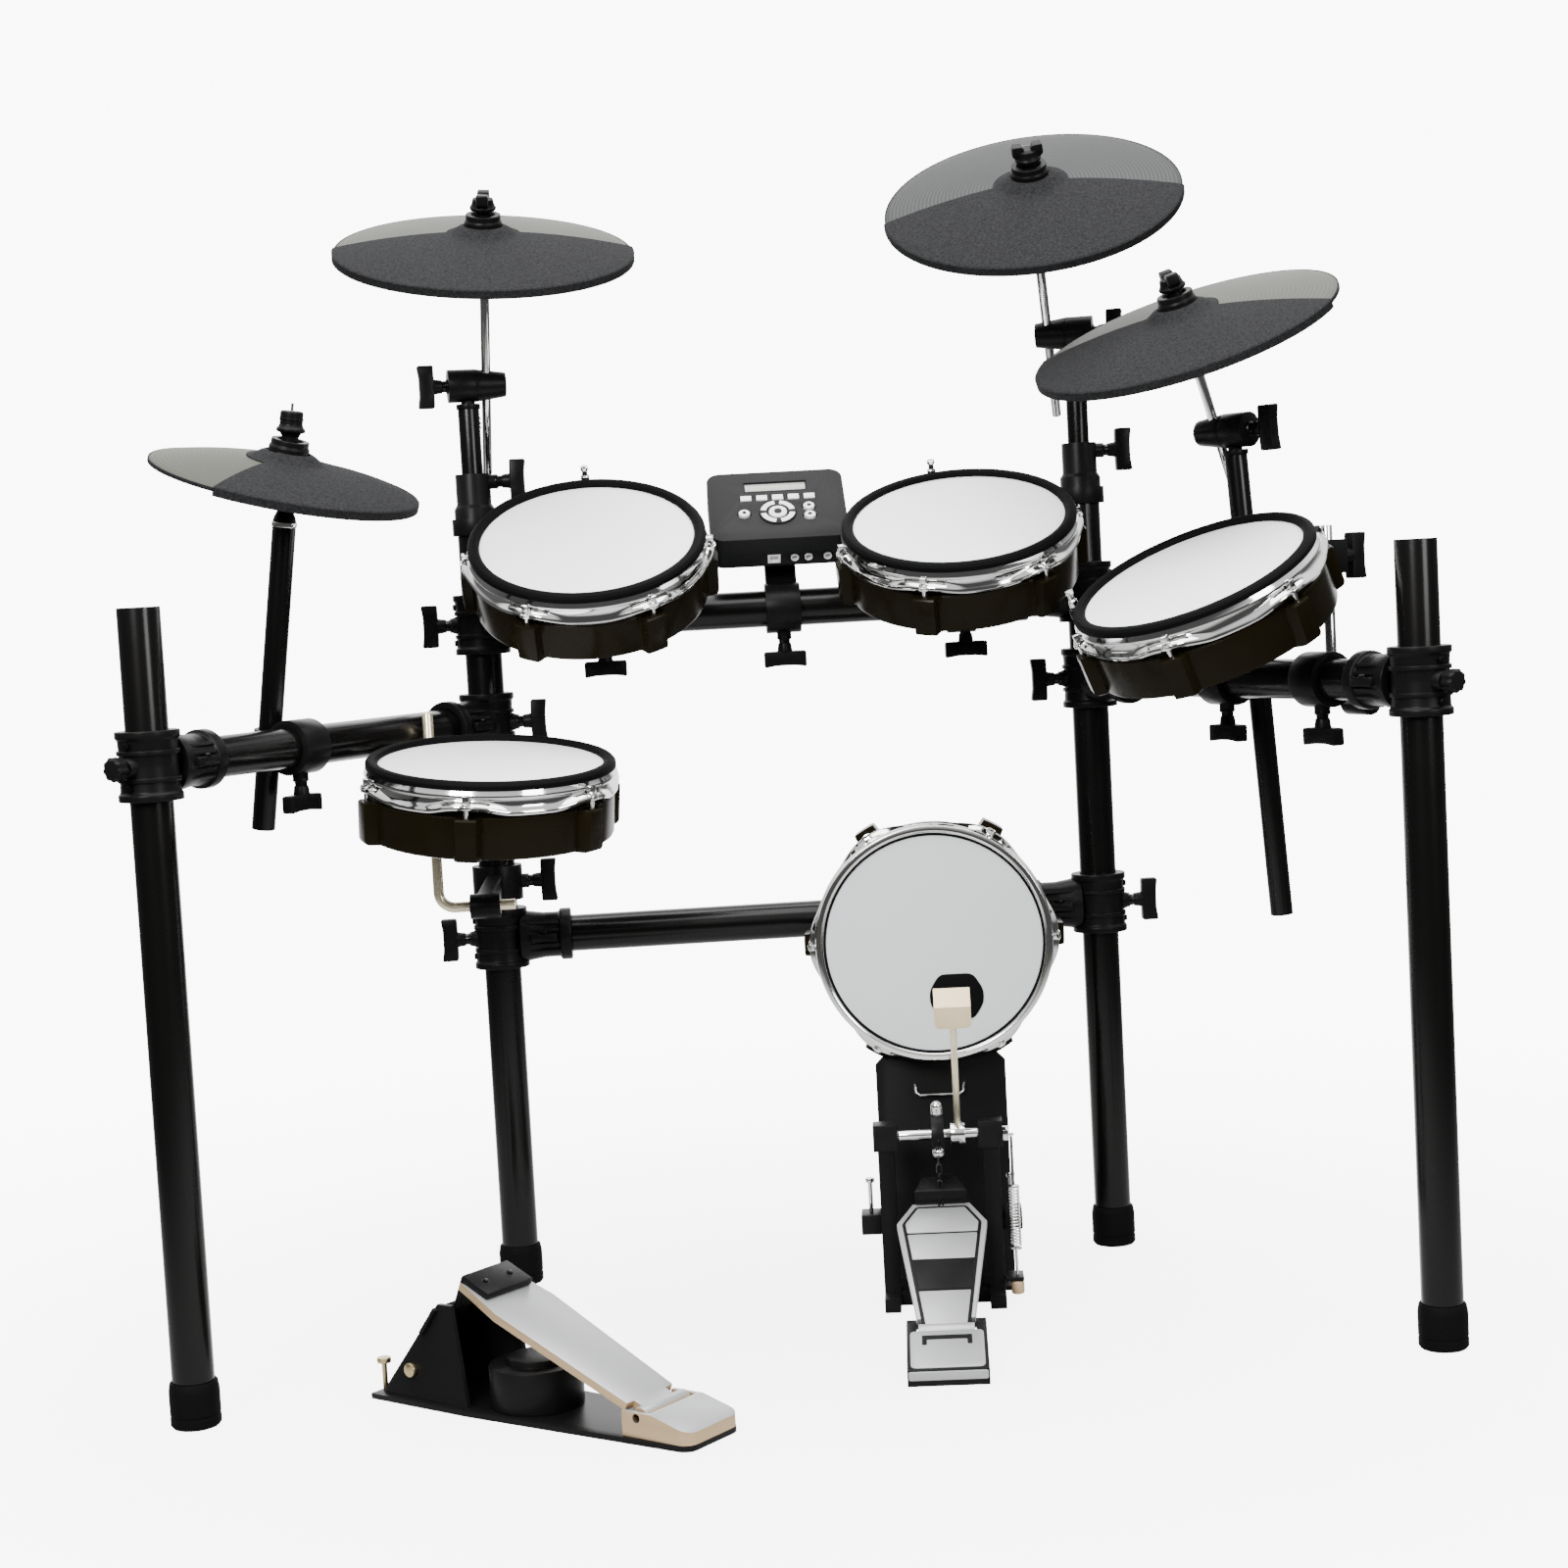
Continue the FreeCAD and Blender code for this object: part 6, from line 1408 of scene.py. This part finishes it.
def cut(shape, point, normal):
    """The half of a closed shape that lies against a plane's normal, closed again"""
    points, faces = shape
    bm = bmesh.new()
    made = [bm.verts.new(p) for p in points]
    for f in faces:
        bm.faces.new([made[i] for i in f])
    bmesh.ops.bisect_plane(bm, geom=bm.verts[:] + bm.edges[:] + bm.faces[:], plane_co=point, plane_no=normal,
                           clear_outer=True)
    bmesh.ops.holes_fill(bm, edges=[e for e in bm.edges if e.is_boundary])
    return drawn(bm)


class DRUM_OT_kick_tower(bpy.types.Operator):
    """Builds the kick tower and the pedal's fixed frame"""
    bl_idname = "drum.kick_tower"
    bl_label = "Kick tower and pedal frame"
    plate_y = 0.272
    cover_margin, cover_share, cover_proud, cover_edge = 0.0032, 0.84, 0.0009, 0.0007
    slot_near, slot_mid, slot_far, slot_arm, slot_share = 0.009, 0.0165, 0.026, 0.0045, 0.68
    wire = ((-0.021, 0, 0.208), (-0.021, 0.005, 0.207), (-0.020, 0.006, 0.199), (-0.016, 0.006, 0.196),
            (0.024, 0.006, 0.196), (0.028, 0.006, 0.199), (0.029, 0.005, 0.207), (0.029, 0, 0.208))

    def execute(self, context):
        place = floor_place("kick_footboard_press")
        piece("kick_tower_plate", soft_form(solids("kick_tower"), 0.0012), "black_moulding", "rack",
              ["kick_tower"])
        loop = [(x, self.plate_y - out, z) for x, out, z in self.wire]
        piece("kick_tower_wire", Form(sweep(loop, 0.0012, 10), place), "chrome", "rack")
        parts = thick_solids("kick_pedal_frame")
        main = max(parts, key=lambda s: s.spans[0])
        whole = softened(main, 0.0012)
        heel = [place.inverted() @ Vector(q) for q in main.points]
        heel = [q for q in heel if q.y < 0.002]
        near, top = min(q.y for q in heel), max(q.z for q in heel)
        low = max(q.z for q in heel if q.y < near + 0.001)
        half = max(q.x for q in heel) - self.cover_margin
        along = Vector((0, -near, top - low))
        lay = axes(place @ Vector((0, near, low)), place.to_3x3() @ Vector((0, low - top, -near)),
                   place.to_3x3() @ along)
        far = along.length * self.cover_share
        cover = oblong(self.cover_margin, -half, far, half)
        shape = prism(rounded(cover, 0.006), -0.003, self.cover_proud, self.cover_edge)
        piece("kick_heel_cover", Form(shape, lay), "satin_metal", "rack")
        lip = oblong(-half - 0.002, 0.0055, half + 0.002, low - 0.0012)
        stand = place @ Matrix.Translation((0, near, 0)) @ Matrix.Rotation(math.pi / 2, 4, "X")
        shape = prism(rounded(lip, 0.002), -0.002, self.cover_proud, self.cover_edge)
        piece("kick_heel_lip", Form(shape, stand), "satin_metal", "rack")
        wide, bar = half * self.slot_share, half * self.slot_share - self.slot_arm
        a, b, c = far - self.slot_near, far - self.slot_mid, far - self.slot_far
        slot = [(a, -wide), (a, wide), (c, wide), (c, bar), (b, bar), (b, -bar), (c, -bar), (c, -wide)]
        piece("kick_heel_slot", Form(prism(rounded(slot, 0.001), 0, 0.0012, 0.0002), lay), "black_moulding",
              "rack")
        frame_form = Form(whole)
        metal, knob = Form(), Form()
        for s in parts:
            if s is main:
                continue
            if s.spans[0] < 0.0135:
                knob.add(softened(s, 0.002))
            elif s.spans[1] < 0.0095:
                metal.add(softened(s, 0.0008))
            else:
                frame_form.add(softened(s, 0.0012))
        piece("kick_pedal_frame_cast", frame_form, "black_moulding", "rack", ["kick_pedal_frame"])
        piece("kick_pedal_screws", metal, "chrome", "rack")
        piece("kick_spring_knob", knob, "pedal_side", "rack")
        return {"FINISHED"}


def plate_normal(solid, towards):
    """The direction of a plate's broadest face, towards a side"""
    a, b, c = solid.corners()
    totals = {}
    for n in np.cross(b - a, c - a):
        size = np.linalg.norm(n)
        if size > 1e-12:
            key = tuple(np.round(n / size, 2))
            totals[key] = totals.get(key, np.zeros(3)) + n
    best = max(totals.values(), key=lambda n: np.linalg.norm(n) * (1 if n @ np.array(towards) > 0 else 0))
    return Vector(best).normalized()


def hull(points):
    """The outline of flat points, anticlockwise"""
    points = sorted({(round(x, 5), round(y, 5)) for x, y in points})
    halves = []
    for run in (points, points[::-1]):
        chain = []
        for p in run:
            while len(chain) > 1 and ((chain[-1][0] - chain[-2][0]) * (p[1] - chain[-2][1])
                                      - (chain[-1][1] - chain[-2][1]) * (p[0] - chain[-2][0])) <= 2e-8:
                chain.pop()
            chain.append(p)
        halves += chain[:-1]
    return halves


def clip(outline, low, high):
    """The part of an outline between two places along x"""
    for limit, sign in ((low, 1), (high, -1)):
        made = []
        for i, here in enumerate(outline):
            after = outline[(i + 1) % len(outline)]
            inside, next_in = (here[0] - limit) * sign >= 0, (after[0] - limit) * sign >= 0
            if inside:
                made.append(here)
            if inside != next_in:
                t = (limit - here[0]) / (after[0] - here[0])
                made.append((limit, here[1] + (after[1] - here[1]) * t))
        outline = made
    return outline


class DRUM_OT_footboards(bpy.types.Operator):
    """Builds the kick pedal's footboard and the whole hi-hat pedal"""
    bl_idname = "drum.footboards"
    bl_label = "Footboards"
    bands = ((0.0, 0.30, False), (0.315, 0.55, True), (0.565, 0.775, False), (0.79, 1.0, False))
    heel_end, floor_plate = 0.0172, 0.0052
    strip, strip_half = [(0.2396, 0.0664), (0.2426, 0.0687), (0.2232, 0.0933), (0.2202, 0.0910)], 0.047

    def board(self, name, thick, edge):
        """A footboard's place, outline and top height, read from its CAD plate, and its plate"""
        parts = sorted(solids(name), key=lambda s: -s.spans[0])
        plate = parts[0]
        up = plate_normal(plate, UP)
        place = axes(plate.centre, up, plate.upward())
        inner = place.inverted()
        flat = [inner @ Vector(p) for p in plate.points]
        toe = max(q.x for q in flat)
        top = max(q.z for q in flat if q.x > toe - 0.06)
        outline = hull([(q.x, q.y) for q in flat if q.z > top - thick])
        form = Form(softened(plate, edge))
        return place, outline, top, form, parts[1:]

    def execute(self, context):
        p = context.scene.drum_pedals
        place, outline, top, form, rest = self.board("kick_footboard", 0.007, 0.0016)
        piece("kick_footboard_plate", form, "satin_metal", "kick_footboard", ["kick_footboard"])
        line = [tuple(q) for q in inset(outline, 0.0050)]
        dark = Form(prism(rounded(line, 0.003), top - 0.0003, top + 0.0003, 0.0001), place)
        field = [tuple(q) for q in inset(outline, 0.0082)]
        low, high = min(q[0] for q in field), max(q[0] for q in field)
        span = high - low
        bright = Form()
        for a, b, is_dark in self.bands:
            band = clip(field, low + span * a, low + span * b)
            shape = prism(rounded(band, 0.0015), top - 0.0002, top + p.panel_sink + 0.0004, 0.0003)
            (dark if is_dark else bright).add(shape, place)
        piece("kick_footboard_lines", dark, "black_moulding", "kick_footboard")
        piece("kick_footboard_bands", bright, "satin_metal", "kick_footboard")
        block = place.inverted() @ Vector(rest[0].centre)
        end, deep = max(q[0] for q in outline) - 0.002, rest[0].spans[2] / 2
        toe = [(end, -0.026), (end + 0.024, -0.017), (end + 0.024, 0.017), (end, 0.026)]
        form = Form(prism(rounded(toe, 0.003), block.z - deep, block.z + deep, 0.0016), place)
        piece("kick_footboard_toe", form, "black_moulding", "kick_footboard")
        place, outline, top, form, rest = self.board("hihat_footboard", 0.008, 0.0014)
        piece("hihat_footboard_plate", form, "pedal_metal", "hihat_footboard", ["hihat_footboard"])
        cap, screws = Form(), []
        for s in rest:
            cap.add(softened(s, 0.0016))
            spot = place.inverted() @ Vector(s.centre)
            for y in (-0.016, 0.016):
                screws.append(place @ Matrix.Translation((spot.x, spot.y + y,
                                                          spot.z + s.spans[2] / 2 - 0.0003)))
            edge_x = spot.x + s.spans[1] / 2
            skirt = oblong(edge_x - 0.006, -s.spans[0] / 2, edge_x + 0.0005, s.spans[0] / 2)
            cap.add(prism(rounded(skirt, 0.002), top - 0.026, top + 0.005, 0.0012), place)
        piece("hihat_footboard_cap", cap, "black_moulding", "hihat_footboard")
        scatter("hihat_footboard_screws", hex_bolt(*CAP_SCREW), screws, "black_tube", "hihat_footboard",
                math.tau)
        floor = floor_place("hihat_footboard_press")
        parts = thick_solids("hihat_pedal_base")
        main = max(parts, key=lambda s: s.spans[0])
        whole = softened(main, 0.0012)
        toe = floor.col[1].xyz
        nose, deck = floor @ Vector((0, self.heel_end, 0)), floor @ Vector((0, 0, self.floor_plate))
        heel = cut(whole, nose, toe)
        piece("hihat_heel_cast", Form(cut(heel, deck, -UP)), "pedal_metal", "rack")
        base = Form(cut(whole, nose, -toe)).add(cut(heel, deck, UP))
        side = axes(floor.translation, floor.col[0].xyz, toe)
        base.add(prism(rounded(self.strip, 0.0008), -self.strip_half, self.strip_half, 0.0005), side)
        metal = Form()
        for s in parts:
            if s is not main:
                (metal if s.spans[1] < 0.0135 else base).add(softened(s, 0.0010))
        piece("hihat_pedal_base_moulded", base, "black_moulding", "rack", ["hihat_pedal_base"])
        piece("hihat_pedal_screws", metal, "brass", "rack")
        return {"FINISHED"}


class DRUM_OT_beater(bpy.types.Operator):
    """Builds the beater, its axle, the drive chain and the return spring"""
    bl_idname = "drum.beater"
    bl_label = "Beater and drive"
    cam_screws = ((65, 0.008), (-28, 0.002))
    felt_edge = 0.005
    link_overlap = 0.62

    def execute(self, context):
        p = context.scene.drum_pedals
        axle = softened(max(solids("beater_axle"), key=lambda s: s.spans[0]), 0.0006)
        u = Vector(joint("beater_swing")["axis"])
        u *= math.copysign(1, u.x)
        low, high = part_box("drive_chain")
        middle = (low + high) / 2
        sides = [middle - u * (p.cam_w / 2), middle + u * (p.cam_w / 2)]
        ends = Form(cut(axle, sides[0], u)).add(cut(axle, sides[1], -u))
        piece("beater_axle_chrome", ends, "chrome", "beater", ["beater_axle"])
        disc = cut(cut(axle, sides[0], -u), sides[1], u)
        piece("beater_cam", Form(disc), "black_moulding", "beater")
        hub = Vector(joint("beater_swing")["pos_m"])
        hub += u * (middle - hub).dot(u)
        rim, front = max(q[2] for q in disc[0]) - hub.z, u.cross(UP)
        screws = Form()
        for degrees, tall in self.cam_screws:
            turn = math.radians(degrees)
            out = front * math.cos(turn) + UP * math.sin(turn)
            dome = [(p.screw_r * math.cos(a), tall + p.screw_r * math.sin(a))
                    for a in (math.pi / 2 * k / 6 for k in range(7))]
            screws.add(lathe([(0, -0.002), (p.screw_r, -0.002)] + dome, COARSE),
                       axes(hub + out * rim, out, u))
        piece("beater_cam_screws", screws, "chrome", "beater")
        parts = sorted(solids("beater"), key=lambda s: -s.spans[0])
        piece("beater_rod", Form(softened(parts[0], 0.0004)), "warm_rod", "beater", ["beater"])
        lean = parts[0].upward()
        near = u.cross(lean)
        block = parts[1].shape()
        for away, trim in ((near, p.felt_trim), (lean, p.felt_top)):
            block = cut(block, away * (parts[1].reach(away)[1] - trim), away)
        block = Solid(np.array(block[0]), block[1])
        felt = piece("beater_felt", Form(softened(block, self.felt_edge)), "cream_felt", "beater")
        n = max(int((high.z - low.z) / p.link) + 1, 2)
        places = []
        for i in range(n):
            z = low.z + (high.z - low.z) * (i + 0.5) / n
            place = axes((middle.x, middle.y, z), UP, RIGHT)
            places.append(place @ Matrix.Rotation(math.pi / 2 * (i % 2), 4, "Z"))
        half = (high.z - low.z) / n * self.link_overlap
        w = p.link_w / 2 - p.link_r
        loop = [(w * math.cos(a) * 0.8, 0, math.copysign(half - w, math.sin(a)) + w * math.sin(a))
                for a in (math.tau * (k + 0.5) / 20 for k in range(20))]
        link = Form(sweep(loop + loop[:2], p.link_r, 8))
        chain = repeated("drive_chain_links", link, places, "black_tube")
        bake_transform(chain, "kick_footboard", "rack", (middle.x, middle.y, low.z), (middle.x, middle.y, high.z))
        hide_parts("drive_chain")
        coil = max(solids("pedal_spring"), key=lambda s: len(s.points))
        low_z, high_z = coil.reach(UP)
        low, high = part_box("pedal_spring")
        x, y = (low.x + high.x) / 2, (low.y + high.y) / 2
        steps = p.coils * 24
        path = [(x + p.spring_r * math.cos(math.tau * p.coils * i / steps),
                 y + p.spring_r * math.sin(math.tau * p.coils * i / steps),
                 low_z + p.wire_r + (high_z - low_z - p.wire_r * 2) * i / steps) for i in range(steps + 1)]
        wire = Form(sweep(path, p.wire_r, 10))
        for s in solids("pedal_spring"):
            if s.points.shape[0] != coil.points.shape[0]:
                wire.add(softened(s, 0.0003))
        spring = mesh_object("pedal_spring_wire", wire)
        spring.data.materials.append(finish("chrome"))
        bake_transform(spring, "rack", "beater", (x, y, low.z), (x, y, high.z))
        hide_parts("pedal_spring")
        return {"FINISHED"}


class DRUM_OT_stage(bpy.types.Operator):
    """Sets the floor, the surroundings, the lights and the camera"""
    bl_idname = "drum.stage"
    bl_label = "Stage"
    corners = 96
    drop = -0.0005
    sensor = 36.0
    aim = Vector((0, 0, 0.6))
    lamps = {"key": ((-1.5, -3.0, 2.3), 1.2), "fill": ((2.2, -2.8, 1.6), 1.2), "top": ((0.0, -0.2, 3.2), 3.5)}

    def floor(self, context, s):
        """A pale round floor that fades out to its edge"""
        mesh = bpy.data.meshes.new("floor")
        ring = [(s.floor * math.cos(a), s.floor * math.sin(a), 0)
                for a in (math.tau * k / self.corners for k in range(self.corners))]
        mesh.from_pydata(ring, [], [tuple(range(self.corners))])
        floor = bpy.data.objects.new("floor", mesh)
        floor.location.z = self.drop
        context.scene.collection.objects.link(floor)
        pale = material("pale_floor", s.floor_colour, 0.8, tint=0.01, shine=0.1)
        mesh.materials.append(pale)
        tree = pale.node_tree
        place = node(tree, "ShaderNodeTexCoord").outputs["Object"]
        away = node(tree, "ShaderNodeVectorMath", {0: place}, operation="LENGTH").outputs["Value"]
        fade = ramp(tree, away, (0, s.floor * 0.95), (0.5, 0), "SMOOTHSTEP")
        feed(tree, tree.nodes["Principled BSDF"], {"Alpha": fade})

    def surroundings(self, context, s):
        """Light that grows upwards and to the back, before a plain bright backdrop"""
        world = bpy.data.worlds.new("surroundings")
        context.scene.world = world
        world.use_nodes = True
        tree = world.node_tree
        place = node(tree, "ShaderNodeTexCoord").outputs["Generated"]
        way = node(tree, "ShaderNodeSeparateXYZ", {"Vector": place}).outputs
        sides = ramp(tree, way["Y"], (-0.3, 0.4), (s.front_light, s.side_light), "SMOOTHSTEP")
        rear = ramp(tree, way["Y"], (0.75, 0.88), (0.0, s.rear_light - s.side_light), "SMOOTHSTEP")
        band = ramp(tree, way["Z"], (s.dark_below, s.bright_above), (s.low_share, s.high_share), "SMOOTHSTEP")
        light = sums(tree, "MULTIPLY_ADD", sides, band, rear)
        direct = node(tree, "ShaderNodeLightPath").outputs["Is Camera Ray"]
        seen = node(tree, "ShaderNodeMix", {0: direct, 2: light, 3: s.back_light})
        feed(tree, tree.nodes["Background"], {"Strength": seen.outputs[0], "Color": (1, 1, 1, 1)})

    def lights(self, context, s):
        for name, (at, size) in self.lamps.items():
            lamp = bpy.data.lights.new(name + "_light", "AREA")
            lamp.energy = getattr(s, name + "_power")
            lamp.size = size
            light = bpy.data.objects.new(name + "_light", lamp)
            light.location = at
            light.rotation_euler = (self.aim - Vector(at)).to_track_quat("-Z", "Y").to_euler()
            context.scene.collection.objects.link(light)

    def camera(self, context, s):
        """The camera, from where it stands and its yaw, pitch and roll"""
        right = Vector((math.cos(s.yaw), math.sin(s.yaw), 0))
        front = Vector((-math.sin(s.yaw), math.cos(s.yaw), 0))
        ahead = front * math.cos(s.pitch) - UP * math.sin(s.pitch)
        up = front * math.sin(s.pitch) + UP * math.cos(s.pitch)
        x = right * math.cos(s.roll) - up * math.sin(s.roll)
        y = right * math.sin(s.roll) + up * math.cos(s.roll)
        camera = bpy.data.cameras.new("camera")
        camera.lens = s.lens
        camera.sensor_width = self.sensor
        eye = bpy.data.objects.new("camera", camera)
        turn = Matrix((x, y, -ahead)).transposed().to_4x4()
        turn.translation = Vector(s.camera)
        eye.matrix_world = turn
        context.scene.collection.objects.link(eye)
        context.scene.camera = eye

    def execute(self, context):
        for step in (self.floor, self.surroundings, self.lights, self.camera):
            step(context, context.scene.drum_stage)
        return {"FINISHED"}


GROUPS = {"drum_rack": RackSizes, "drum_pads": PadSizes, "drum_cymbals": CymbalSizes,
          "drum_pedals": PedalSizes, "drum_finishes": Finishes, "drum_stage": StageSettings}
STEPS = (DRUM_OT_tubes, DRUM_OT_feet, DRUM_OT_clamps, DRUM_OT_arms, DRUM_OT_cymbals, DRUM_OT_pads,
         DRUM_OT_mounts, DRUM_OT_module, DRUM_OT_kick_tower, DRUM_OT_footboards, DRUM_OT_beater,
         DRUM_OT_stage)


class DRUM_PT_panel(bpy.types.Panel):
    bl_idname = "DRUM_PT_panel"
    bl_label = "Drum kit"
    bl_space_type = "VIEW_3D"
    bl_region_type = "UI"
    bl_category = "Drum kit"

    def draw(self, context):
        for step in STEPS:
            self.layout.operator(step.bl_idname)


def register():
    for name, cls in GROUPS.items():
        bpy.utils.register_class(cls)
        setattr(bpy.types.Scene, name, PointerProperty(type=cls))
    for cls in STEPS + (DRUM_PT_panel,):
        bpy.utils.register_class(cls)


def unregister():
    for cls in (DRUM_PT_panel,) + STEPS[::-1]:
        bpy.utils.unregister_class(cls)
    for name, cls in GROUPS.items():
        delattr(bpy.types.Scene, name)
        bpy.utils.unregister_class(cls)


def main():
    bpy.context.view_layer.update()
    register()
    for step in STEPS:
        space, name = step.bl_idname.split(".")
        getattr(getattr(bpy.ops, space), name)()
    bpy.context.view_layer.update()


if __name__ == "__main__":
    main()
